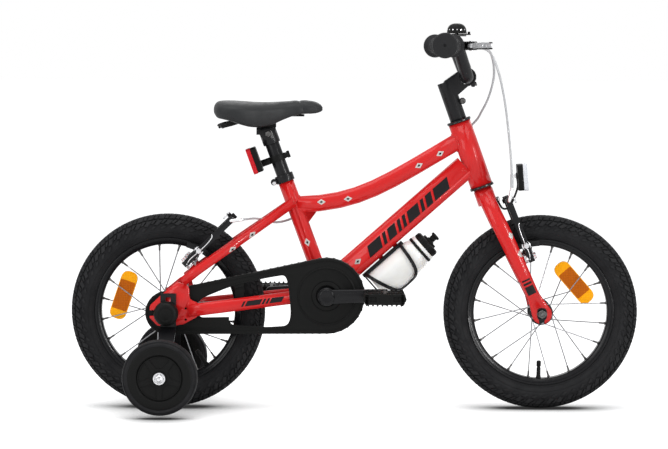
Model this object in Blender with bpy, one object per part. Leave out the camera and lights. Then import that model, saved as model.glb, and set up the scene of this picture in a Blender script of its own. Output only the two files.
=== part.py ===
"""Child's 14-inch bicycle with stabilisers, as separate named pieces.

World frame, in metres: +X is forward, +Y is the rider's left, +Z is up. The origin is on the
ground, midway between the two axles. The drive side, with the chain, is the -Y side.
"""
import math

import bmesh
import bpy
import numpy as np
from mathutils import Matrix, Vector

# General
GAP = 0.0003                      # room between two pieces that touch

# Wheels
WHEELBASE = 0.6714
TYRE_RADIUS = 0.176
TYRE_WIDTH = 0.049
TREAD_STEP = 0.0016               # how far the shoulder blocks stand out
RIM_INNER_RADIUS = 0.120
RIM_DEPTH = 0.0115
RIM_WIDTH = 0.030
SPOKE_COUNT = 20
SPOKE_RADIUS = 0.0011
HUB_FLANGE_RADIUS = 0.0215
HUB_BODY_RADIUS = 0.013
AXLE_RADIUS = 0.0048
AXLE_CLEARANCE = 0.0004
FRONT_DROPOUT_INSIDE = 0.0455     # half of the room between the fork ends
REAR_DROPOUT_INSIDE = 0.0550      # half of the room between the rear dropouts
DROPOUT_THICKNESS = 0.005
NUT_HEIGHT = 0.008
NUT_RADIUS = 0.0085

# Steering axis and head tube
STEERING_ANGLE = math.radians(70.3)
HEAD_BEHIND_AXLE = 0.1076         # lower end of the head tube behind the front axle
HEAD_LOWER_Z = 0.4032
HEAD_TUBE_LENGTH = 0.1200
HEAD_TUBE_RADIUS = 0.0205
CUP_HEIGHT = 0.0045
CUP_LIP = 0.0017
STEERER_RADIUS = 0.0127
STEERER_CLEARANCE = 0.0006

# Frame tubes
CRANK_AHEAD = 0.2862              # crank axis ahead of the rear axle
BB_Z = 0.2063
BB_SHELL_RADIUS = 0.0200
BB_SHELL_WIDTH = 0.0680
BB_BORE = 0.0170
SEAT_ANGLE = math.radians(69.8)
SEAT_TUBE_LENGTH = 0.2285
SEAT_TUBE_RADIUS = 0.0143
SEAT_TUBE_WALL = 0.0015
TOP_TUBE_HEIGHT = 0.0305
TOP_TUBE_WIDTH = 0.0290
TOP_TUBE_DROP = 0.0570            # seat tube's upper end down to the top tube's centre
DOWN_TUBE_HEIGHT = 0.0440
DOWN_TUBE_WIDTH = 0.0360
DOWN_TUBE_RISE = 0.0077           # how far its line passes above the crank axis
DOWN_TUBE_UP_HEAD = 0.04124       # its upper end: up the head tube from its lower end
DOWN_TUBE_SHORT = 0.01583         # and short of the head tube's centre line
SEAT_STAY_RADIUS = 0.0092
CHAIN_STAY_HEIGHT = 0.0240
CHAIN_STAY_WIDTH = 0.0125
STAY_OUT = 0.0590                 # half the distance between the stays at the rear wheel
BOSS_RADIUS = 0.0065

# Fork
FORK_RAKE_ANGLE = math.radians(5.9)    # how far the legs lean forward of the steering axis
FORK_LEG_WIDTH_TOP = 0.0290
FORK_LEG_WIDTH_END = 0.0225
FORK_LEG_THICKNESS = 0.0210
FORK_LEG_OUT = 0.0435
FORK_END_RADIUS = 0.0180

# Chain drive
CHAIN_PITCH = 0.0127
CHAINRING_TEETH = 32
COG_TEETH = 17
CHAIN_LINKS = 70
CHAIN_PLANE = 0.0405              # distance of the chain from the bicycle's centre plane
CHAIN_HALF_WIDTH = 0.0042
PLATE_HALF_HEIGHT = 0.0043
SPROCKET_THICKNESS = 0.0023
GUARD_INSET = 0.0012              # the chain stands this much proud of the guard's edge
GUARD_FACE = 0.0500
GUARD_WALL = 0.0022

# Cranks and pedals
CRANK_LENGTH = 0.1025
CRANK_INSIDE = 0.0620             # inner face of each arm
CRANK_THICKNESS = 0.0110
PEDAL_LENGTH = 0.0730
PEDAL_WIDTH = 0.0800
PEDAL_HEIGHT = 0.0250
PEDAL_SPINDLE_RADIUS = 0.0060
BB_AXLE_RADIUS = 0.0085

# Stabilisers
STABILISER_RADIUS = 0.0665
STABILISER_WIDTH = 0.0360
STABILISER_OUT = 0.1700           # centre of each small wheel
STABILISER_LIFT = 0.0060          # its tread's height above the ground
STABILISER_BEHIND = 0.0045        # its axle behind the rear axle
BRACKET_THICKNESS = 0.0040
BRACKET_WIDTH = 0.0280
STABILISER_BOLT_RADIUS = 0.0050

# Seat
POST_RADIUS = 0.0127
POST_EXPOSED = 0.0800
POST_INSERTED = 0.1200
COLLAR_HEIGHT = 0.0130
COLLAR_WALL = 0.0024

# Handlebar
STEM_RADIUS = 0.0152
STEM_REACH = 0.0394               # bar clamp ahead of the steering axis, square to it
STEM_HEIGHT = 0.0680              # bar clamp above the top cup, along the axis
CLAMP_BAR_RADIUS = 0.0127
BAR_RADIUS = 0.0111
BAR_RISE = 0.0590
BAR_WIDTH = 0.5400
BAR_SWEEP = math.radians(9.0)
GRIP_RADIUS = 0.0150
GRIP_LENGTH = 0.1120
GRIP_END_RADIUS = 0.0220
LEVER_FROM_END = 0.1430           # brake lever clamps, distance in from each end of the bar
BELL_FROM_LEVER = 0.0270
BELL_RADIUS = 0.0180

# Brakes
PAD_GAP = 0.0024
BRAKE_ARM_LENGTH = 0.1070
FRONT_PIVOT_BEHIND = 0.0207       # where the pivot axis crosses the front brake arms, from the axle
FRONT_PIVOT_UP = 0.10167
REAR_PIVOT_AHEAD = 0.0368
REAR_PIVOT_UP = 0.09157
FRONT_ARM_OUT = 0.0420
REAR_ARM_OUT = 0.0540
ARM_THICKNESS = 0.0110
HOUSING_RADIUS = 0.0021

# Bottle
BOTTLE_RADIUS = 0.0295
BOTTLE_LENGTH = 0.1120
BOTTLE_GAP = 0.0072               # between the down tube and the bottle
BOTTLE_PLACE = 0.0763             # bottle's foot along the down tube, from the crank's foot point
CAGE_WIRE = 0.0026

AXLE_HEIGHT = TYRE_RADIUS
REAR = Vector((-WHEELBASE / 2, 0.0, AXLE_HEIGHT))
FRONT = Vector((WHEELBASE / 2, 0.0, AXLE_HEIGHT))
CRANK = Vector((REAR.x + CRANK_AHEAD, 0.0, BB_Z))
RIM_OUTER_RADIUS = RIM_INNER_RADIUS + RIM_DEPTH
BRAKE_TRACK_RADIUS = RIM_INNER_RADIUS + RIM_DEPTH * 0.5

STEER_UP = Vector((-math.cos(STEERING_ANGLE), 0.0, math.sin(STEERING_ANGLE)))
STEER_AHEAD = Vector((math.sin(STEERING_ANGLE), 0.0, math.cos(STEERING_ANGLE)))
HEAD_LOWER = Vector((FRONT.x - HEAD_BEHIND_AXLE, 0.0, HEAD_LOWER_Z))
HEAD_UPPER = HEAD_LOWER + STEER_UP * HEAD_TUBE_LENGTH
SEAT_UP = Vector((-math.cos(SEAT_ANGLE), 0.0, math.sin(SEAT_ANGLE)))
SEAT_BACK = Vector((-math.sin(SEAT_ANGLE), 0.0, -math.cos(SEAT_ANGLE)))
SEAT_TOP = CRANK + SEAT_UP * SEAT_TUBE_LENGTH
DOWN_END = HEAD_LOWER + STEER_UP * DOWN_TUBE_UP_HEAD - STEER_AHEAD * DOWN_TUBE_SHORT
DOWN_SPAN = (DOWN_END - CRANK).length
DOWN_TUBE_ANGLE = (math.atan2(DOWN_END.z - CRANK.z, DOWN_END.x - CRANK.x)
                   - math.asin(DOWN_TUBE_RISE / DOWN_SPAN))
DOWN_DIR = Vector((math.cos(DOWN_TUBE_ANGLE), 0.0, math.sin(DOWN_TUBE_ANGLE)))
DOWN_UP = Vector((-math.sin(DOWN_TUBE_ANGLE), 0.0, math.cos(DOWN_TUBE_ANGLE)))
DOWN_FOOT = CRANK + DOWN_UP * DOWN_TUBE_RISE
LEVER_PLACE = BAR_WIDTH / 2 - LEVER_FROM_END
BELL_PLACE = LEVER_PLACE - BELL_FROM_LEVER
Y_AXIS = Vector((0.0, 1.0, 0.0))
UP = Vector((0.0, 0.0, 1.0))
LEFT = Y_AXIS.y
RIGHT = -LEFT

for old in list(bpy.data.objects):
    bpy.data.objects.remove(old, do_unlink=True)


# Materials
def material(name, colour, roughness, metallic=0.0):
    made = bpy.data.materials.new(name)
    made.use_nodes = True
    shader = made.node_tree.nodes["Principled BSDF"]
    shader.inputs["Base Color"].default_value = (*colour, 1.0)
    shader.inputs["Roughness"].default_value = roughness
    shader.inputs["Metallic"].default_value = metallic
    return made


RED = material("red_paint", (0.62, 0.02, 0.02), 0.25)
BLACK = material("black_paint", (0.012, 0.012, 0.013), 0.35)
PLASTIC = material("black_plastic", (0.015, 0.015, 0.016), 0.5)
RUBBER = material("tyre_rubber", (0.02, 0.02, 0.021), 0.8)
STEEL = material("steel", (0.6, 0.6, 0.62), 0.3, 1.0)
HOUSING = material("grey_housing", (0.55, 0.55, 0.56), 0.4)
AMBER = material("amber", (0.9, 0.35, 0.02), 0.2)
CLEAR = material("clear_lens", (0.85, 0.86, 0.88), 0.1)
RED_LENS = material("red_lens", (0.6, 0.02, 0.04), 0.15)
MILK = material("milky_bottle", (0.82, 0.81, 0.78), 0.35)
SADDLE_COVER = material("saddle_cover", (0.03, 0.03, 0.033), 0.55)


# Mesh helpers
def frame_at(origin, axis, side=Y_AXIS):
    """A matrix with its local Z along axis and its local Y as near side as it can be."""
    z = Vector(axis).normalized()
    x = Vector(side).cross(z).normalized()
    y = z.cross(x)
    turn = Matrix((x, y, z)).transposed().to_4x4()
    return Matrix.Translation(origin) @ turn


def new_object(name, mesh, colour):
    made = bpy.data.objects.new(name, mesh)
    bpy.context.collection.objects.link(made)
    made.data.materials.clear()
    made.data.materials.append(colour)
    return made


def from_bmesh(bm, name, colour, matrix=None):
    bmesh.ops.remove_doubles(bm, verts=bm.verts, dist=1e-6)
    bmesh.ops.recalc_face_normals(bm, faces=bm.faces)
    if bm.calc_volume(signed=True) < 0:
        bmesh.ops.reverse_faces(bm, faces=bm.faces)
    mesh = bpy.data.meshes.new(name)
    bm.to_mesh(mesh)
    bm.free()
    if matrix is not None:
        mesh.transform(matrix)
    return new_object(name, mesh, colour)


def lathe(name, profile, segments, colour, matrix=None, swell=None):
    """Turn a closed (radius, height) outline round Z. A point on the axis becomes a pole.

    swell(index, segment) may add to the radius of one outline point at one segment.
    """
    bm = bmesh.new()
    rings = []
    for index, (radius, height) in enumerate(profile):
        if radius < 1e-7:
            rings.append([bm.verts.new((0.0, 0.0, height))] * segments)
            continue
        ring = []
        for step in range(segments):
            angle = 2.0 * math.pi * (step + 0.5) / segments
            r = radius + (swell(index, step) if swell else 0.0)
            ring.append(bm.verts.new((r * math.cos(angle), r * math.sin(angle), height)))
        rings.append(ring)
    for a, b in zip(rings, rings[1:] + rings[:1]):
        for step in range(segments):
            nxt = (step + 1) % segments
            corners = []
            for vert in (a[step], a[nxt], b[nxt], b[step]):
                if vert not in corners:
                    corners.append(vert)
            if len(corners) > 2:
                bm.faces.new(corners)
    return from_bmesh(bm, name, colour, matrix)


def rod(name, start, end, radius, colour, sides=16, end_radius=None):
    """A solid round bar from start to end, tapering to end_radius."""
    start = Vector(start)
    end = Vector(end)
    far = radius if end_radius is None else end_radius
    length = (end - start).length
    side = Y_AXIS if abs((end - start).normalized().y) < 0.9 else Vector((1.0, 0.0, 0.0))
    bm = bmesh.new()
    low = [bm.verts.new((u, v, 0.0)) for u, v in circle(0.0, 0.0, radius, sides)]
    high = [bm.verts.new((u, v, length)) for u, v in circle(0.0, 0.0, far, sides)]
    bm.faces.new(low)
    bm.faces.new(high)
    for step in range(sides):
        bm.faces.new((low[step - 1], low[step], high[step], high[step - 1]))
    return from_bmesh(bm, name, colour, frame_at(start, end - start, side))


def bore_for(radius, sides):
    """The radius of a faceted hole that a round bar of the given radius fits with a gap all round."""
    return (radius + GAP) / math.cos(math.pi / sides)


def prism(name, outline, low, high, colour, matrix=None, holes=()):
    """Extrude a closed outline of (u, v) points from height low to high, with holes through it."""
    bm = bmesh.new()
    bottom = [bm.verts.new((u, v, low)) for u, v in outline]
    face = bm.faces.new(bottom)
    made = bmesh.ops.extrude_face_region(bm, geom=[face])
    tops = [item for item in made["geom"] if isinstance(item, bmesh.types.BMVert)]
    bmesh.ops.translate(bm, verts=tops, vec=(0.0, 0.0, high - low))
    solid = from_bmesh(bm, name, colour)
    for hole in holes:
        solid = cut(solid, prism("cutter", hole, low - 0.01, high + 0.01, colour))
    if matrix is not None:
        solid.data.transform(matrix)
    return solid


def flat_to_side(y_plane, sign):
    """Local (u, v, h) to world (X, Z) at y_plane, with h running outwards on that side."""
    columns = Matrix(((1.0, 0.0, 0.0), (0.0, 0.0, sign), (0.0, 1.0, 0.0)))
    return Matrix.Translation((0.0, sign * y_plane, 0.0)) @ columns.to_4x4()


def side_plate(name, outline, inner, outer, sign, colour, holes=()):
    """A flat plate seen true in the side view, from distance inner to outer off the centre plane."""
    plate = prism(name, outline, 0.0, outer - inner, colour, None, holes)
    plate.data.transform(flat_to_side(inner, sign))
    return upright(plate)


def upright(obj):
    """Turn an object's faces outwards after a mirroring placement."""
    bm = bmesh.new()
    bm.from_mesh(obj.data)
    if bm.calc_volume(signed=True) < 0:
        bmesh.ops.reverse_faces(bm, faces=bm.faces)
    bm.to_mesh(obj.data)
    bm.free()
    return obj


def sweep(name, points, sections, colour, side=Y_AXIS):
    """Loft closed sections along points. Each section is a list of (across, upward) offsets."""
    points = [Vector(point) for point in points]
    bm = bmesh.new()
    rings = []
    for index, point in enumerate(points):
        before = points[max(index - 1, 0)]
        after = points[min(index + 1, len(points) - 1)]
        along = (after - before).normalized()
        lift = along.cross(side).normalized()
        across = lift.cross(along).normalized()
        section = sections[index] if isinstance(sections[0][0], (list, tuple)) else sections
        rings.append([bm.verts.new(point + across * a + lift * b) for a, b in section])
    for a, b in zip(rings, rings[1:]):
        count = len(a)
        for step in range(count):
            nxt = (step + 1) % count
            bm.faces.new((a[step], a[nxt], b[nxt], b[step]))
    bm.faces.new(rings[0])
    bm.faces.new(rings[-1])
    return from_bmesh(bm, name, colour)


def oval(half_across, half_up, sides, power=2.0):
    """A section: an ellipse, or squarer where power is above 2."""
    made = []
    for step in range(sides):
        angle = 2.0 * math.pi * (step + 0.5) / sides
        c = math.cos(angle)
        s = math.sin(angle)
        across = half_across * math.copysign(abs(c) ** (2.0 / power), c)
        upward = half_up * math.copysign(abs(s) ** (2.0 / power), s)
        made.append((across, upward))
    return made


def circle(cx, cy, radius, sides):
    made = []
    for step in range(sides):
        angle = 2.0 * math.pi * (step + 0.5) / sides
        made.append((cx + radius * math.cos(angle), cy + radius * math.sin(angle)))
    return made


def rounded(corners, radius, steps=4):
    """Round a polygon's corners with arcs, of one radius or of one radius each."""
    radii = radius if isinstance(radius, (list, tuple)) else [radius] * len(corners)
    made = []
    for index, corner in enumerate(corners):
        here = Vector(corner)
        back = (Vector(corners[index - 1]) - here).normalized()
        ahead = (Vector(corners[(index + 1) % len(corners)]) - here).normalized()
        if radii[index] <= 0.0:
            made.append((here.x, here.y))
            continue
        half = math.acos(max(-1.0, min(1.0, back.dot(ahead)))) / 2.0
        reach = radii[index] / math.tan(half)
        centre = here + (back + ahead).normalized() * (radii[index] / math.sin(half))
        first = here + back * reach - centre
        turn = math.pi - 2.0 * half
        sense = 1.0 if back.x * ahead.y - back.y * ahead.x < 0 else -1.0
        for step in range(steps + 1):
            angle = sense * turn * step / steps
            c = math.cos(angle)
            s = math.sin(angle)
            made.append((centre.x + first.x * c - first.y * s, centre.y + first.x * s + first.y * c))
    return made


def evaluated(obj):
    """Apply an object's modifiers to its mesh."""
    graph = bpy.context.evaluated_depsgraph_get()
    mesh = bpy.data.meshes.new_from_object(obj.evaluated_get(graph))
    obj.modifiers.clear()
    old = obj.data
    obj.data = mesh
    bpy.data.meshes.remove(old)
    return obj


def combine(obj, other, operation):
    step = obj.modifiers.new("combine", "BOOLEAN")
    step.operation = operation
    step.solver = "EXACT"
    step.object = other
    bpy.context.view_layer.update()
    evaluated(obj)
    bpy.data.objects.remove(other, do_unlink=True)
    return obj


def join(obj, *others):
    for other in others:
        combine(obj, other, "UNION")
    obj.data.materials.clear()
    return obj


def cut(obj, *others):
    for other in others:
        combine(obj, other, "DIFFERENCE")
    return obj


def smooth_path(points, count):
    """Read count points, evenly spread, from a smooth curve through the given ones."""
    knots = [Vector(point) for point in points]
    ends = [2 * knots[0] - knots[1]] + knots + [2 * knots[-1] - knots[-2]]
    fine = []
    for a, b, c, d in zip(ends, ends[1:], ends[2:], ends[3:]):
        for step in range(24):
            t = step / 24.0
            fine.append(0.5 * (2 * b + (c - a) * t + (2 * a - 5 * b + 4 * c - d) * t * t
                               + (3 * b - a - 3 * c + d) * t ** 3))
    fine.append(knots[-1])
    lengths = [0.0]
    for a, b in zip(fine, fine[1:]):
        lengths.append(lengths[-1] + (b - a).length)
    made = []
    for step in range(count):
        want = lengths[-1] * step / (count - 1)
        index = min(int(np.searchsorted(lengths, want)), len(fine) - 1)
        if index == 0:
            made.append(fine[0].copy())
            continue
        share = (want - lengths[index - 1]) / (lengths[index] - lengths[index - 1])
        made.append(fine[index - 1].lerp(fine[index], share))
    return made


def cord(name, points, radius, colour, count):
    """A round cable along a smooth path: a bevelled curve with filled ends."""
    curve = bpy.data.curves.new(name, "CURVE")
    curve.dimensions = "3D"
    spline = curve.splines.new("POLY")
    path = smooth_path(points, count)
    spline.points.add(len(path) - 1)
    for slot, point in zip(spline.points, path):
        slot.co = (*point, 1.0)
    curve.bevel_depth = radius
    curve.bevel_resolution = 1
    curve.use_fill_caps = True
    return new_object(name, curve, colour)


def finish(obj, name, colour):
    """Give a made solid its name, its one material and smooth shading with sharp edges."""
    obj.name = name
    obj.data.name = name
    obj.data.materials.clear()
    obj.data.materials.append(colour)
    if obj.type == "MESH":
        obj.data.shade_smooth()
        obj.data.set_sharp_from_angle(angle=math.radians(38))
    return obj


def joint_empty(name, place):
    made = bpy.data.objects.new(name, None)
    made.empty_display_size = 0.02
    made.location = place
    bpy.context.collection.objects.link(made)
    return made


def carry(empty, *pieces):
    """Parent pieces to the empty on their joint's axis, leaving them where they are."""
    offset = Matrix.Translation(-Vector(empty.location))
    for piece in pieces:
        piece.data.transform(offset)
        piece.parent = empty


# Wheels
TYRE_SEGMENTS = 36
HUB_FLANGE = 0.0040
RIM_INSIDE = RIM_INNER_RADIUS * math.cos(math.pi / TYRE_SEGMENTS)
WHEEL_SIDE = Vector((1.0, 0.0, 0.0))
REAR.z = FRONT.z = AXLE_HEIGHT * math.cos(math.pi / TYRE_SEGMENTS)   # the lowest facet lies flat


def polar(centre, radius, angle, across):
    return centre + Vector((radius * math.cos(angle), across, radius * math.sin(angle)))


def spoke_line(centre, flange_out, index):
    """Hub end and rim end of one spoke: sides alternate, and each crosses its neighbour."""
    side = LEFT if index % 2 else RIGHT
    lean = math.radians(52) * (1 if index % 4 < 2 else -1)
    angle = 2.0 * math.pi * index / SPOKE_COUNT + math.radians(8)
    outside = index % 4 < 2
    hub_out = flange_out - (0.0006 if outside else HUB_FLANGE - 0.0006)
    hub_end = polar(centre, HUB_FLANGE_RADIUS - 0.0030, angle + lean, side * hub_out)
    rim_end = polar(centre, RIM_INSIDE - GAP, angle, side * (0.0065 if outside else 0.0025))
    return hub_end, rim_end


def wheel(prefix, centre, hub_half, reflector_angle, reflector_radius):
    place = frame_at(centre, Y_AXIS, WHEEL_SIDE)
    lip = RIM_WIDTH / 2
    wall = 0.0022
    rim_half = [(RIM_INNER_RADIUS, lip * 0.7), (RIM_OUTER_RADIUS, lip), (RIM_OUTER_RADIUS, lip - wall),
                (RIM_OUTER_RADIUS - 0.006, lip - wall)]
    rim = lathe(prefix + "_rim", rim_half + [(r, -h) for r, h in reversed(rim_half)], TYRE_SEGMENTS, BLACK,
                place)

    bead = lip - wall - GAP
    half = TYRE_WIDTH / 2
    crown = TYRE_RADIUS - RIM_OUTER_RADIUS
    tyre_half = [(RIM_OUTER_RADIUS - 0.0055, bead), (RIM_OUTER_RADIUS + 0.0010, bead),
                 (RIM_OUTER_RADIUS + crown * 0.40, half),
                 (RIM_OUTER_RADIUS + crown * 0.76, half * 0.86),
                 (TYRE_RADIUS, half * 0.28)]
    outline = tyre_half + [(r, -h) for r, h in reversed(tyre_half)]
    shoulders = (3, len(outline) - 4)

    def blocks(index, step):
        return -TREAD_STEP if index in shoulders and step % 2 else 0.0

    tyre = lathe(prefix + "_tyre", outline, TYRE_SEGMENTS, RUBBER, place, blocks)

    bore = AXLE_RADIUS + AXLE_CLEARANCE
    hub_outline = [(bore, hub_half), (HUB_BODY_RADIUS * 0.8, hub_half), (HUB_BODY_RADIUS, hub_half - 0.002),
                   (HUB_FLANGE_RADIUS, hub_half - 0.002), (HUB_FLANGE_RADIUS, hub_half - 0.002 - HUB_FLANGE),
                   (HUB_BODY_RADIUS, hub_half - 0.004 - HUB_FLANGE)]
    hub = lathe(prefix + "_hub", hub_outline + [(r, -h) for r, h in reversed(hub_outline)], 14, BLACK, place)
    flange_out = hub_half - 0.002
    for index in range(SPOKE_COUNT):
        hub_end, rim_end = spoke_line(centre, flange_out, index)
        hub = join(hub, rod("spoke", hub_end, rim_end, SPOKE_RADIUS, STEEL, 3))

    reflector = spoke_reflector(prefix, centre, flange_out, reflector_angle, reflector_radius)
    finish(tyre, prefix + "_tyre", RUBBER)
    finish(rim, prefix + "_rim", BLACK)
    finish(hub, prefix + "_hub", BLACK)
    return [tyre, rim, hub, reflector]


def spoke_reflector(prefix, centre, flange_out, angle, radius):
    """An amber strip between the two rows of spokes, with a clip that reaches a spoke each side."""
    length = 0.090
    width = 0.031
    thick = 0.0075
    outline = rounded([(-length / 2, -width / 2), (length / 2, -width / 2),
                       (length / 2, width / 2), (-length / 2, width / 2)], 0.0105, 2)
    body = prism("strip", outline, -thick / 2, thick / 2, AMBER)
    outward = Vector((math.cos(angle), 0.0, math.sin(angle)))
    along = Vector((-math.sin(angle), 0.0, math.cos(angle)))
    turn = Matrix((along, outward, along.cross(outward))).transposed().to_4x4()
    middle = centre + outward * radius
    body.data.transform(Matrix.Translation(middle) @ turn)
    for side in (LEFT, RIGHT):
        spot = nearest_on_spokes(centre, flange_out, side, middle + along * side * length * 0.3)
        inner = Vector((spot.x, side * (thick / 2 - 0.001), spot.z))
        outer = Vector((spot.x, spot.y - side * (SPOKE_RADIUS + 0.0014), spot.z))
        body = join(body, rod("clip", inner, outer, 0.0035, AMBER, 6))
    return finish(body, prefix + "_spoke_reflector", AMBER)


def nearest_on_spokes(centre, flange_out, side, near):
    """The point on one side's spokes that lies nearest to a place, seen from the side."""
    best = None
    for index in range(SPOKE_COUNT):
        hub_end, rim_end = spoke_line(centre, flange_out, index)
        if hub_end.y * side < 0:
            continue
        for share in range(20, 96):
            spot = hub_end.lerp(rim_end, share / 100.0)
            away = math.hypot(spot.x - near.x, spot.z - near.z)
            if best is None or away < best[0]:
                best = (away, spot)
    return best[1]


FRONT_HUB_HALF = 0.0340
REAR_HUB_HALF = 0.0330
front_wheel = wheel("front", FRONT, FRONT_HUB_HALF, math.radians(41), RIM_INNER_RADIUS - 0.0395)
rear_wheel = wheel("rear", REAR, REAR_HUB_HALF, math.radians(161.5), RIM_INNER_RADIUS - 0.0350)
carry(joint_empty("front_wheel_spin", FRONT), *front_wheel)
carry(joint_empty("rear_wheel_spin", REAR), *rear_wheel)


def axle(name, centre, dropout_inside, cones, outer_end):
    """A spindle with a cone each side of the hub, right then left, and a nut outside each dropout."""
    inside = dropout_inside - GAP
    outside = dropout_inside + DROPOUT_THICKNESS + outer_end + GAP

    def end(cone):
        return [(AXLE_RADIUS, cone), (NUT_RADIUS, cone), (NUT_RADIUS, inside), (AXLE_RADIUS, inside),
                (AXLE_RADIUS, outside), (NUT_RADIUS, outside), (NUT_RADIUS, outside + NUT_HEIGHT),
                (AXLE_RADIUS, outside + NUT_HEIGHT), (AXLE_RADIUS, outside + NUT_HEIGHT + 0.003)]

    right, left = end(cones[0] + GAP), end(cones[1] + GAP)
    outline = left + [(0.0, left[-1][1]), (0.0, -right[-1][1])] + [(r, -h) for r, h in reversed(right)]
    made = lathe(name, outline, 8, STEEL, frame_at(centre, Y_AXIS, WHEEL_SIDE))
    return finish(made, name, STEEL)


COG_HUB_END = CHAIN_PLANE + 0.0065
front_axle = axle("front_axle", FRONT, FRONT_DROPOUT_INSIDE, (FRONT_HUB_HALF, FRONT_HUB_HALF), 0.0)
rear_axle = axle("rear_axle", REAR, REAR_DROPOUT_INSIDE, (COG_HUB_END, REAR_HUB_HALF),
                 BRACKET_THICKNESS + GAP)


# Frame
def tube(name, start, end, radius, colour=RED, sides=14, end_radius=None):
    return rod(name, start, end, radius, colour, sides, end_radius)


def on_seat_tube(height):
    """A point on the seat tube's line, at a distance below its upper end."""
    return SEAT_TOP - SEAT_UP * height


def bezier(p0, p1, p2, p3, count):
    made = []
    for step in range(count):
        t = step / (count - 1)
        u = 1.0 - t
        made.append(p0 * u ** 3 + p1 * 3 * u * u * t + p2 * 3 * u * t * t + p3 * t ** 3)
    return made


DROPOUT_PLANE = REAR_DROPOUT_INSIDE
EYELET_AHEAD = 0.0345             # the two small eyelets, ahead of and above the axle
EYELET_UPS = (0.0085, -0.0115)
POST_BORE_SPARE = 0.0300          # depth of the seat tube's bore below the post
SEAT_STAY_TOP = on_seat_tube(0.0520)


def seat_stay_path(side):
    """Down from the seat tube, out past the tyre, then straight along the dropout."""
    lower = REAR + Vector((0.0290, side * STAY_OUT, 0.0560))
    bend = lower + Vector((0.0290, 0.0, 0.0230))
    upper = SEAT_STAY_TOP + Vector((0.0, side * SEAT_TUBE_RADIUS * 0.95, 0.0))
    return [upper, bend, lower]


def chain_stay_path(side):
    start = CRANK + Vector((-BB_SHELL_RADIUS * 0.7, side * 0.0225, 0.0010))
    bend = Vector((REAR.x + 0.0780, side * STAY_OUT, REAR.z + 0.0095))
    end = Vector((REAR.x + 0.0400, side * STAY_OUT, REAR.z + 0.0045))
    return [start, bend, end]


def dropout(side):
    """The red track end: a plate with a slot that opens rearwards and two small eyelets."""
    c = Vector((REAR.x, REAR.z))
    corners = [(c.x - 0.0300, c.y - 0.0080), (c.x - 0.0300, c.y + 0.0080), (c.x - 0.0290, c.y + 0.0140),
               (c.x - 0.0090, c.y + 0.0330), (c.x + 0.0190, c.y + 0.0560), (c.x + 0.0420, c.y + 0.0500),
               (c.x + 0.0400, c.y + 0.0250), (c.x + 0.0560, c.y + 0.0190), (c.x + 0.0560, c.y - 0.0060),
               (c.x + 0.0300, c.y - 0.0200), (c.x + 0.0080, c.y - 0.0230), (c.x - 0.0160, c.y - 0.0230)]
    radii = [0.002, 0.002, 0.006, 0.004, 0.004, 0.010, 0.010, 0.004, 0.006, 0.010, 0.008, 0.008]
    slot = AXLE_RADIUS + AXLE_CLEARANCE
    track = [(c.x - 0.0500, c.y - slot), (c.x, c.y - slot)]
    track += [(c.x + slot * math.sin(a), c.y - slot * math.cos(a))
              for a in np.linspace(0.4, math.pi - 0.4, 5)]
    track += [(c.x, c.y + slot), (c.x - 0.0500, c.y + slot)]
    eyelets = [circle(c.x + EYELET_AHEAD, c.y + up, 0.0024, 6) for up in EYELET_UPS]
    return side_plate("dropout", rounded(corners, radii, 2), DROPOUT_PLANE,
                      DROPOUT_PLANE + DROPOUT_THICKNESS, side, RED, [track] + eyelets)


def brake_boss(pivot, normal, behind, side, out):
    """The stub that carries one brake arm, welded to the leg or stay behind it."""
    centre = Vector((pivot.x, side * out, pivot.z))
    return tube("boss", centre - normal * behind, centre - normal * (ARM_THICKNESS / 2 + GAP), BOSS_RADIUS,
                RED, 8)


REAR_NORMAL = Vector((-0.6914, 0.0, 0.7225)).normalized()
FRONT_NORMAL = Vector((0.929, 0.0, 0.370)).normalized()
REAR_PIVOT = REAR + Vector((REAR_PIVOT_AHEAD, 0.0, REAR_PIVOT_UP))
FRONT_PIVOT = FRONT + Vector((-FRONT_PIVOT_BEHIND, 0.0, FRONT_PIVOT_UP))


def top_tube():
    start = on_seat_tube(TOP_TUBE_DROP) + Vector((0.0060, 0.0, 0.0))
    end = HEAD_UPPER - STEER_UP * 0.0280
    path = bezier(start, start + Vector((0.1150, 0.0, 0.0040)), end - Vector((0.1460, 0.0, 0.0867)), end, 9)
    return sweep("top_tube", path, oval(TOP_TUBE_WIDTH / 2, TOP_TUBE_HEIGHT / 2, 12, 2.3), RED)


def down_tube():
    section = oval(DOWN_TUBE_WIDTH / 2, DOWN_TUBE_HEIGHT / 2, 12, 2.8)
    path = [DOWN_FOOT + DOWN_DIR * 0.0040, DOWN_END]
    return sweep("down_tube", path, section, RED)


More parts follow.
